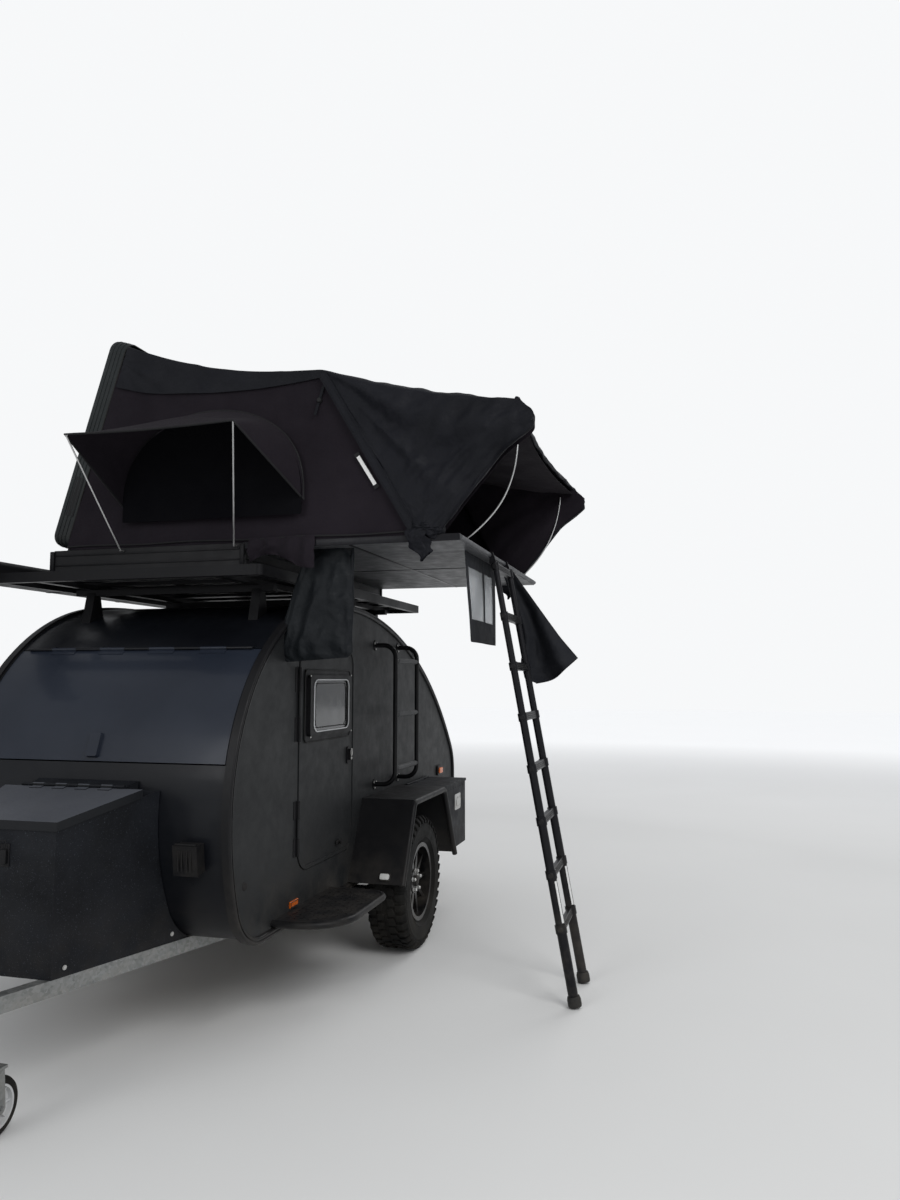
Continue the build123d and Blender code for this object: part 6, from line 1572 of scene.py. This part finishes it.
# %% Jockey wheel
jockey_low, jockey_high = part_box("jockey_wheel")
jockey_axle = (jockey_low + jockey_high) / 2
JOCKEY_HALF = (jockey_high.y - jockey_low.y) / 2
JOCKEY_TYRE = (
    # radius, out from the wheel's middle
    (0.0970, 0.004), (0.0998, 0.006), (0.0995, 0.017), (0.096, 0.025), (0.088, JOCKEY_HALF),
    (0.074, JOCKEY_HALF),
)
JOCKEY_RIM = (
    (0.0745, 0.024), (0.077, 0.0265), (0.077, 0.029), (0.067, 0.0285), (0.065, 0.012), (0.056, 0.005),
    (0.0215, 0.008), (0.0215, 0.0285), (0.020, 0.030), (0.0085, 0.030),
)


def whole_section(half):
    """A closed section from its half: the same points on the other side, the half, and the first again."""
    far = [(radius, -out) for radius, out in reversed(half)]
    return [*far, *half, far[0]]


jockey_tyre = knob_shape(jockey_axle, (0, 1, 0), whole_section(JOCKEY_TYRE), 64)
finished(jockey_tyre, "jockey_tyre", tyre_rubber, "jockey_wheel")
rim_body = knob_shape(jockey_axle, (0, 1, 0), whole_section(JOCKEY_RIM), 64)
rib_low, rib_high = Vector((-0.003, -0.020, 0.020)), Vector((0.003, 0.020, 0.067))
rib = block(jockey_axle + rib_low, jockey_axle + rib_high, 0.0015)
rim_ribs = spun_copies(rib, jockey_axle, (0, 1, 0), 8)
jockey_rim = finished([rim_body, rim_ribs], "jockey_rim", pale_plastic, "jockey_wheel")
for piece in (jockey_tyre, jockey_rim):
    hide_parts("jockey_wheel")

# %% [markdown]
# ## Drawbar
# Rubber grips cover the handbrake lever and the jockey wheel's crank, and a clamp handle crosses its clamp.
# A grip's ribs are the same few steps in its profile, again and again.

# %% Drawbar fittings
JOCKEY_X = 2.480
CRANK_X = JOCKEY_X + 0.130
LEVER_START = at(2.620, 0.0, 0.528)
LEVER_LEAN = radians(24.0)
CLAMP_KNOB = [(0, 0), (0.009, 0.002), (0.011, 0.009), (0.008, 0.016), (0, 0.018)]


def ribbed(count, pitch, outer, inner, start=0.0):
    """The ribs of a grip along its axis. outer and inner are (radius, first, last) within one pitch."""
    profile = []
    for step in range(count):
        along = start + step * pitch
        profile += [(outer[0], along + outer[1]), (outer[0], along + outer[2])]
        profile += [(inner[0], along + inner[1]), (inner[0], along + inner[2])]
    return profile


stem_low, stem_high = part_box("jockey_stem")
stem_y = (stem_low.y + stem_high.y) / 2
crank_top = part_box("jockey_clamp")[1].z - GROUND_Z
crank_ribs = ribbed(9, 0.0085, (0.0140, 0.0, 0.0060), (0.0125, 0.0065, 0.0083))
crank_profile = [(0, -0.002), *crank_ribs, (0.0120, 0.0780), (0.0060, 0.0815), (0, 0.0820)]
crank_grip = knob_shape(at(CRANK_X, stem_y, crank_top - 0.080), (0, 0, 1), crank_profile, 24)
finished(crank_grip, "crank_grip", seal_rubber)
clamp_line = [at(JOCKEY_X + 0.058, stem_y + 0.020, 0.480), at(JOCKEY_X + 0.060, stem_y + 0.075, 0.470)]
clamp_knob = knob_shape(at(JOCKEY_X + 0.060, stem_y + 0.073, 0.470), (0, 1, -0.1), CLAMP_KNOB, 20)
finished([pipe(clamp_line, 0.005, sides=12), clamp_knob], "clamp_handle", bolt_zinc)

lever_way = Vector((cos(LEVER_LEAN), 0, sin(LEVER_LEAN)))
lever_ribs = ribbed(12, 0.0095, (0.0150, 0.0, 0.0068), (0.0132, 0.0073, 0.0092))
lever_profile = [(0, 0), (0.0092, 0), *lever_ribs, (0.0140, 0.1150), (0.0100, 0.1220), (0, 0.1240)]
lever_grip = knob_shape(LEVER_START + lever_way * 0.132, lever_way, lever_profile, 24)
finished(lever_grip, "handbrake_grip", seal_rubber)
drawbar_bolts = [
    bolt(LEVER_START + Vector((0.0, side * 0.008, -0.010)), (0, side, 0), 0.007) for side in (1, -1)
]
drawbar_bolts += [
    bolt(at(x, side * 0.040, 0.450), (0, 0, 1), 0.009) for x in (2.490, 2.735) for side in (1, -1)
]
finished(drawbar_bolts, "drawbar_bolts", bolt_zinc, smooth=30)

# %% [markdown]
# ## Doors
# The fittings of a door are made once for the left side and once for the right, and ride on their door. A
# pale bead runs round the pane, and the flush latch has a ring pull over its paddle with a lock under it.

# %% Helpers for the side walls
def outline_at(centre, size, radius, steps=8):
    """A rectangle with round corners about a centre, as X and height."""
    return [(centre[0] + across, centre[1] + up) for across, up in rounded_outline(*size, radius, steps)]


def on_side(points, side, out):
    """Points of a side outline, as X and height, placed out from the middle on one side."""
    return [at(x, side * out, z) for x, z in points]


def side_bead(side, centre, size, corner, out, radius, sides=8, steps=8):
    """A round bead round a rectangle with round corners, on one side."""
    return pipe(on_side(outline_at(centre, size, corner, steps), side, out), radius, closed=True, sides=sides)


def side_plate(side, centre, size, corner, out, depth, bevel, segments=2, steps=5, rise=0.0):
    """A plate with round corners and a depth outwards, on one side."""
    outline = on_side(outline_at(centre, size, corner, steps), side, out)
    return plate(outline, (0, side * depth, rise), bevel, segments)


# %% Door fittings
PANE_CENTRE = (0.722, 1.410)
LATCH_CENTRE = (0.434, 1.130)
DOOR_CENTRE = (0.7125, 1.170)
CATCH_CENTRE = (0.575, 0.680)
SCREW_RADIUS = 0.0045
SCREW = [
    (across * SCREW_RADIUS, up * SCREW_RADIUS)
    for across, up in ((0, 0), (1, 0), (1, 0.2), (0.7, 0.45), (0.3, 0.5), (0.25, 0.2), (0, 0.2))
]
LOCK = [
    (0, 0), (0.0075, 0), (0.0075, 0.0025), (0.006, 0.0035), (0.0022, 0.0035), (0.0018, 0.0015), (0, 0.0015),
]
CATCH = [(0, 0), (0.007, 0), (0.007, 0.010), (0.010, 0.012), (0.010, 0.016), (0, 0.017)]
PANE_BEADS = (
    # name, finish, size, corner radius, out from the middle, radius, sides
    ("pane_bead", pale_plastic, (0.460, 0.258), 0.040, 0.7008, 0.0034, 8),
    ("pane_shade_line", seal_rubber, (0.425, 0.222), 0.030, 0.6995, 0.0022, 6),
    ("window_frame_seal", seal_rubber, (0.594, 0.356), 0.024, 0.6800, 0.0035, 6),
)
RING_CENTRE = (LATCH_CENTRE[0], LATCH_CENTRE[1] + 0.012)
RING_TURNS = [2 * pi * step / 24 for step in range(24)]
LATCH_RING = [(RING_CENTRE[0] + 0.010 * cos(turn), RING_CENTRE[1] + 0.019 * sin(turn)) for turn in RING_TURNS]
HINGE_SPANS = ((0.700, 0.960), (1.240, 1.600))
HINGE_SCREWS = 4
for side, label in SIDES:
    door = f"door_{label}"
    for name, material, *bead in PANE_BEADS:
        finished(side_bead(side, PANE_CENTRE, *bead), f"{name}_{label}", material, door, 60)
    ring = pipe(on_side(LATCH_RING, side, 0.6985), 0.0022, closed=True, sides=8)
    lock = side_knob(side, LATCH_CENTRE[0], LATCH_CENTRE[1] - 0.020, 0.697, LOCK, 24)
    finished([ring, lock], f"latch_ring_{label}", bolt_zinc, door, 40)
    screws = []
    for low, high in HINGE_SPANS:
        for index in range(HINGE_SCREWS):
            height = low + 0.025 + (high - low - 0.050) * index / (HINGE_SCREWS - 1)
            screws.append(side_knob(side, 1.066, height, 0.6785, SCREW, 14))
    for x, z in outline_at(PANE_CENTRE, (0.545, 0.305), 0.004, 1)[::2]:
        screws.append(side_knob(side, x, z, 0.7000, SCREW, 14))
    finished(screws, f"door_screws_{label}", bolt_zinc, door, 30)
    catch = [
        side_plate(side, CATCH_CENTRE, (0.060, 0.022), 0.006, 0.6790, 0.006, 0.0012, steps=4),
        side_knob(side, *CATCH_CENTRE, 0.684, CATCH),
    ]
    finished(catch, f"door_hold_open_{label}", moulded_black, door)
    seal = side_bead(side, DOOR_CENTRE, (0.733, 1.108), 0.114, 0.6690, 0.0042, steps=10)
    finished(seal, f"door_seal_{label}", seal_rubber, "root", 60)

# %% [markdown]
# ## Walls
# The wall ladder has ribbed grips on its rungs and bolts through its feet. Each side has a blank rear side
# lamp and a rim round its reflector, and the fender in front of each wheel has a white marker lamp. A round
# knob stands low on the left wall's front edge.

# %% Wall ladder and wall fittings
RUNG_FACE_Y = 0.675 + 0.130
RUNG_RIBS = ribbed(30, 0.0118, (0.0158, 0.0, 0.0075), (0.0138, 0.0080, 0.0112), 0.004)
RUNG_SLEEVE = [(0.0115, 0.0), *RUNG_RIBS, (0.0115, 0.360), (0.0115, 0.0)]
REAR_LAMP_CENTRE = (-1.400, 0.865)
REFLECTOR_CENTRE = (1.111, 0.490)
MARKER_PLACE = (0.385, 0.885, 0.464)
FENDER_UP = Vector((-0.454, 0.0, 0.891))
FENDER_FACE = Vector((0.891, 0.0, 0.454))
KNOB = [
    (0, 0), (0.020, 0), (0.021, 0.004), (0.014, 0.008), (0.013, 0.018), (0.018, 0.022), (0.018, 0.028),
    (0.014, 0.031), (0, 0.032),
]
sleeves = [knob_shape(at(-0.035, RUNG_FACE_Y, z), (-1, 0, 0), RUNG_SLEEVE) for z in (1.012, 1.332, 1.652)]
finished(sleeves, "rung_grips", rung_grey, smooth=30)
foot_bolts = []
for x in (0.0, -0.430):
    for z in (0.920, 1.745):
        for turn in range(3):
            angle = 2 * pi * turn / 3 + pi / 6
            place = at(x + 0.023 * cos(angle), 0.680, z + 0.023 * sin(angle))
            foot_bolts.append(bolt(place, (0, 1, 0), 0.0042))
finished(foot_bolts, "ladder_foot_bolts", bolt_zinc, smooth=30)


def fender_plate(side, size, out, depth, bevel, segments=2):
    """A small plate with round corners on the sloping front of a fender, raised by out."""
    x, y, z = MARKER_PLACE
    centre = at(x, side * y, z) + FENDER_FACE * out
    corners = rounded_outline(*size, 0.010)
    outline = [centre + Vector((0, across, 0)) + FENDER_UP * up for across, up in corners]
    return plate(outline, FENDER_FACE * depth, bevel, segments)


for side, label in SIDES:
    marker_base = fender_plate(side, (0.066, 0.044), 0.0165, 0.008, 0.0015)
    finished(marker_base, f"marker_base_{label}", moulded_black)
    marker = fender_plate(side, (0.054, 0.032), 0.0235, 0.011, 0.004, 3)
    finished(marker, f"marker_lens_{label}", white_lens, smooth=40)
    housing = side_plate(side, REAR_LAMP_CENTRE, (0.120, 0.075), 0.018, 0.676, 0.014, 0.004, 3, 6)
    finished(housing, f"side_lamp_base_{label}", moulded_black, smooth=40)
    lens = side_plate(side, REAR_LAMP_CENTRE, (0.088, 0.042), 0.012, 0.688, 0.012, 0.005, 3, 6)
    finished(lens, f"side_lamp_lens_{label}", orange_lens, smooth=40)
    lens_rim = side_bead(side, REFLECTOR_CENTRE, (0.080, 0.022), 0.004, 0.6838, 0.0016, 6, 4)
    finished(lens_rim, f"reflector_rim_{label}", moulded_black, smooth=40)
finished(knob_shape(at(1.589, 0.652, 0.674), (0.5, 1, 0), KNOB, 28), "filler_knob", moulded_black)

# %% [markdown]
# The rear lamps get ribbed lenses, one for each of three fields, inside their moulded body.

# %% Rear lamps
LAMP_BACK_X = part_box("rear_lamps")[0].x
LAMP_Y = 0.560
RIB_PITCH = 0.0065
LAMP_FIELDS = (
    # name, foot, head, finish
    ("stop", 0.655, 0.740, red_lens),
    ("turn", 0.597, 0.652, orange_lens),
    ("reverse", 0.540, 0.594, white_lens),
)


def lamp_block(side, x, half, low, high, bevel, segments):
    """A box of a rear lamp: X from and to, half width about the lamp's middle, foot and head."""
    y = side * LAMP_Y
    return block((x[0], y - half, GROUND_Z + low), (x[1], y + half, GROUND_Z + high), bevel, segments)


for side, label in SIDES:
    for name, low, high, material in LAMP_FIELDS:
        lens = [lamp_block(side, (LAMP_BACK_X - 0.004, LAMP_BACK_X + 0.010), 0.044, low, high, 0.003, 3)]
        for step in range(int((high - low - 0.012) / RIB_PITCH)):
            foot = low + 0.006 + step * RIB_PITCH
            depth = (LAMP_BACK_X - 0.0055, LAMP_BACK_X - 0.0030)
            lens.append(lamp_block(side, depth, 0.040, foot, foot + 0.003, 0.0008, 1))
        finished(lens, f"{name}_lens_{label}", material, smooth=40)

# %% [markdown]
# ## Boxes
# The toolbox is bolted to the rails and closes with a draw latch. Each side box has a paddle latch in a
# dished plate, and rivets along the seam under its lid.

# %% Toolbox fittings
BOX_FRONT_X = 2.204
BOX_HALF = 0.223
BOX_SLANT = radians(16.0)
toolbox_bolts = []
for x in (2.150, 1.660):
    half = BOX_HALF + (BOX_FRONT_X - x) * tan(BOX_SLANT)
    for side in (1, -1):
        outward = (sin(BOX_SLANT), side * cos(BOX_SLANT), 0)
        toolbox_bolts.append(bolt(at(x, side * half, 0.475), outward, 0.006))
finished(toolbox_bolts, "toolbox_bolts", bolt_zinc, smooth=30)
latch_plate = block(at(BOX_FRONT_X, -0.022, 0.840), at(BOX_FRONT_X + 0.004, 0.022, 0.925), 0.0015)
latch_arm = block(at(BOX_FRONT_X + 0.004, -0.015, 0.850), at(BOX_FRONT_X + 0.016, 0.015, 0.905), 0.004, 3)
loop_corners = ((-0.011, 0.900), (-0.011, 0.938), (0.011, 0.938), (0.011, 0.900))
latch_loop = pipe([at(BOX_FRONT_X + 0.012, y, z) for y, z in loop_corners], 0.0022, closed=True, sides=8)
finished([latch_plate, latch_arm, latch_loop], "toolbox_latch", powder_black)

# %% Side box fittings
BOX_LATCH = (-0.910, 0.710)
BOX_LOCK = [
    (0, 0), (0.0085, 0), (0.0085, 0.003), (0.0065, 0.004), (0.002, 0.004), (0.0018, 0.002), (0, 0.002),
]
RIVET = [(0, 0), (0.0045, 0), (0.0040, 0.0012), (0.0022, 0.0020), (0, 0.0022)]
for side, label in SIDES:
    latch = [
        side_plate(side, BOX_LATCH, (0.150, 0.105), 0.014, 0.9500, 0.003, 0.001),
        side_bead(side, BOX_LATCH, (0.118, 0.074), 0.010, 0.9532, 0.0026, steps=5),
        side_plate(side, (-0.910, 0.705), (0.100, 0.044), 0.008, 0.9525, 0.008, 0.002, 3, rise=0.004),
        side_knob(side, -0.910, 0.738, 0.953, BOX_LOCK, 24),
    ]
    finished(latch, f"box_latch_{label}", bolt_zinc)
    rivets = [side_knob(side, -1.105 + step * 0.060, 0.808, 0.950, RIVET, 12) for step in range(9)]
    finished(rivets, f"box_rivets_{label}", liner_black, smooth=40)

# %% [markdown]
# ## Steps
# The step decks carry a raised pattern of slanting lozenges, which turn one way and the other. Each lozenge
# is the same small plate, and the whole deck is one joined mesh. None lies over the deck's round corner.

# %% Step treads
DECK_TOP_Z = 0.452 + 0.017 - 0.004
LOZENGE = (
    (-0.012, 0.0), (-0.006, 0.0026), (0.006, 0.0026), (0.012, 0.0), (0.006, -0.0026), (-0.006, -0.0026),
)
LOZENGE_START = (0.735, 0.720)
LOZENGE_PITCH = 0.033
DECK_CORNER = (1.345 - 0.210, 0.770)
DECK_CORNER_REACH = 0.165


def lozenge(side, row, column):
    """One lozenge of the deck, or none where the deck's round corner is."""
    x = LOZENGE_START[0] + column * LOZENGE_PITCH
    y = LOZENGE_START[1] + row * LOZENGE_PITCH
    past_x, past_y = x - DECK_CORNER[0], max(0.0, y - DECK_CORNER[1])
    if past_x > 0 and past_x ** 2 + past_y ** 2 > DECK_CORNER_REACH ** 2:
        return []
    turn = radians(45 if (row + column) % 2 else -45)
    outline = [
        at(x + u * cos(turn) - v * sin(turn), side * (y + u * sin(turn) + v * cos(turn)), DECK_TOP_Z - 0.0005)
        for u, v in LOZENGE
    ]
    return [plate(outline, (0, 0, 0.0022))]


for side, label in SIDES:
    lozenges = sum((lozenge(side, row, column) for row in range(8) for column in range(17)), [])
    finished(lozenges, f"step_tread_{label}", powder_black, smooth=30)

# %% [markdown]
# ## Labels and tabs on the tent
# The seam carries a blank woven label, slanted with it, and a strap tab that hangs from the ridge.

# %% Blank label and ridge tab
TOGGLE = [(0, -0.006), (0.012, -0.006), (0.014, 0.0), (0.010, 0.008), (0, 0.009)]


def on_wall(y, z):
    """A place just off the tent's front wall."""
    return at(TENT_FRONT_X - WALL_PULL * 0.8 + 0.022, y, z)


def wall_patch(name, start, end, half_width, material, thickness):
    """A flat strip of webbing sewn on the front wall from start to end, each a (Y, Z)."""
    line = [on_wall(*mix(start, end, step / 8)) for step in range(9)]
    slope = Vector((0, end[1] - start[1], -(end[0] - start[0]))).normalized() * half_width
    return finished(ribbon(line, slope, thickness), name, material)


wall_patch("seam_label", (1.066, 2.555), (1.150, 2.420), 0.017, blank_white, 0.003)
wall_patch("seam_label_band", (1.056, 2.571), (1.160, 2.404), 0.025, strap_cloth, 0.001)
wall_patch("ridge_tab", (0.893, 2.905), (0.850, 2.765), 0.013, fly_cloth, 0.003)
finished(knob_shape(on_wall(0.872, 2.835), (1, 0, 0), TOGGLE, 12), "ridge_tab_toggle", moulded_black)

# %% [markdown]
# ## Mattress
# The mattress is one soft block. A plate with rounded edges is cut up evenly by a voxel remesh, and the
# cloth solver blows it up like a cushion. Rows of stitches then pull the cover down, and it is held inside
# the room that its CAD solid takes up.

# %% Mattress
STITCH_PITCH = 0.20
STITCH_DEPTH = 0.012
SWELL_FRAMES = 12
MATTRESS_LOW, MATTRESS_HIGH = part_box("mattress")
start_low = MATTRESS_LOW + Vector((0.02, 0.02, 0.004))
start_high = MATTRESS_HIGH - Vector((0.02, 0.02, 0.020))
mattress = block(start_low, start_high, 0.030, 3)
apply_modifier(mattress, "REMESH", mode="VOXEL", voxel_size=0.024)
cover = mattress.modifiers.new("Cover", "CLOTH")
cover.settings.quality = 5
cover.settings.use_pressure = True
cover.settings.uniform_pressure_force = 4.0
cover.settings.tension_stiffness = 20.0
cover.settings.compression_stiffness = 20.0
cover.settings.effector_weights.gravity = 0.0
cover.point_cache.frame_start = 1
cover.point_cache.frame_end = SWELL_FRAMES
for frame_number in range(1, SWELL_FRAMES + 1):
    bpy.context.scene.frame_set(frame_number)
choose(mattress)
bpy.ops.object.modifier_apply(modifier=cover.name)
bpy.context.scene.frame_set(1)
mattress_middle = (MATTRESS_LOW + MATTRESS_HIGH) / 2
for point in mattress.data.vertices:
    flat = point.co - mattress_middle
    top = max(0.0, flat.z / (MATTRESS_HIGH.z - mattress_middle.z))
    row = abs(sin(pi * flat.x / STITCH_PITCH)) ** 0.4 * abs(sin(pi * flat.y / STITCH_PITCH)) ** 0.4
    point.co.z -= STITCH_DEPTH * top * (1 - row)
    for axis in range(3):
        point.co[axis] = min(max(point.co[axis], MATTRESS_LOW[axis]), MATTRESS_HIGH[axis])
finished(mattress, "mattress_soft", pad_cloth, smooth=80)
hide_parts("mattress")

# %% [markdown]
# ## Roof rack and awning
# Bolts hold the slats to the rack's frame. The awning lies in a zipped cover, held by straps with buckles.

# %% Rack bolts
RACK_LOW, RACK_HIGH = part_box("roof_rack")
RACK_BOLTS_X = [mix(RACK_LOW.x + 0.1, RACK_HIGH.x - 0.1, step / 6) for step in range(7)]
rack_bolts = [
    bolt((x, y, RACK_HIGH.z - 0.002), (0, 0, 1), 0.005, 0.004)
    for y in (0.030 - RACK_HIGH.y, RACK_HIGH.y - 0.030) for x in RACK_BOLTS_X
]
finished(rack_bolts, "rack_bolts", bolt_zinc)

# %% Awning cover
AWNING_LOW, AWNING_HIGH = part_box("awning_case")
AWNING_Z = (AWNING_LOW.z + AWNING_HIGH.z) / 2
AWNING_Y = (AWNING_LOW.y + AWNING_HIGH.y) / 2
end_caps = [
    block(
        (x - 0.010, AWNING_LOW.y + 0.010, AWNING_LOW.z + 0.010),
        (x + 0.010, AWNING_HIGH.y - 0.010, AWNING_HIGH.z - 0.010), 0.006, 3,
    )
    for x in (AWNING_LOW.x + 0.007, AWNING_HIGH.x - 0.007)
]
finished(end_caps, "awning_end_caps", moulded_black)


def awning_block(x, y, z, bevel):
    """A small box on the cover's outer face: X in the frame, Y from that face, Z from its middle line."""
    low, high = ((x[end], AWNING_LOW.y + y[end], AWNING_Z + z[end]) for end in (0, 1))
    return block(low, high, bevel)


zip_line = [Vector((x, AWNING_LOW.y - 0.001, AWNING_Z)) for x in (AWNING_LOW.x + 0.04, AWNING_HIGH.x - 0.04)]
zip_parts = [
    ribbon(zip_line, (0, 0, 0.010), 0.0016),
    pipe([point - Vector((0, 0.002, 0)) for point in zip_line], 0.0018),
    awning_block((AWNING_HIGH.x - 0.075, AWNING_HIGH.x - 0.065), (-0.007, -0.003), (-0.034, 0.002), 0.0015),
]
finished(zip_parts, "awning_zip", strap_cloth)
awning_straps = []
awning_size = AWNING_HIGH - AWNING_LOW
strap_section = rounded_outline(awning_size.y + 0.003, awning_size.z + 0.003, 0.028)
for share in (0.12, 0.40, 0.64, 0.90):
    x = mix(AWNING_LOW.x, AWNING_HIGH.x, share)
    around = [Vector((x, AWNING_Y + y, AWNING_Z + z)) for y, z in strap_section]
    awning_straps.append(ribbon([*around, around[0]], (0.0125, 0, 0), 0.002))
    awning_straps.append(awning_block((x - 0.018, x + 0.018), (-0.009, -0.002), (0.016, 0.040), 0.003))
finished(awning_straps, "awning_straps", strap_cloth)

# %% [markdown]
# ## Socket box
# The socket box has upright ribs on its lid, and a hinge pin across the top.

# %% Socket box
SOCKET_LOW, SOCKET_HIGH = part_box("socket_box")
socket_parts = []
for share in (0.25, 0.40, 0.60, 0.75):
    y = mix(SOCKET_LOW.y, SOCKET_HIGH.y, share)
    rib_line = [(SOCKET_HIGH.x - 0.002, y, z) for z in (SOCKET_LOW.z + 0.022, SOCKET_HIGH.z - 0.024)]
    socket_parts.append(pipe(rib_line, 0.0028, sides=8))
pin_ends = (SOCKET_LOW.y + 0.008, SOCKET_HIGH.y - 0.008)
pin_line = [(SOCKET_HIGH.x - 0.012, y, SOCKET_HIGH.z - 0.002) for y in pin_ends]
socket_parts.append(pipe(pin_line, 0.005, sides=10))
finished(socket_parts, "socket_ribs", moulded_black)
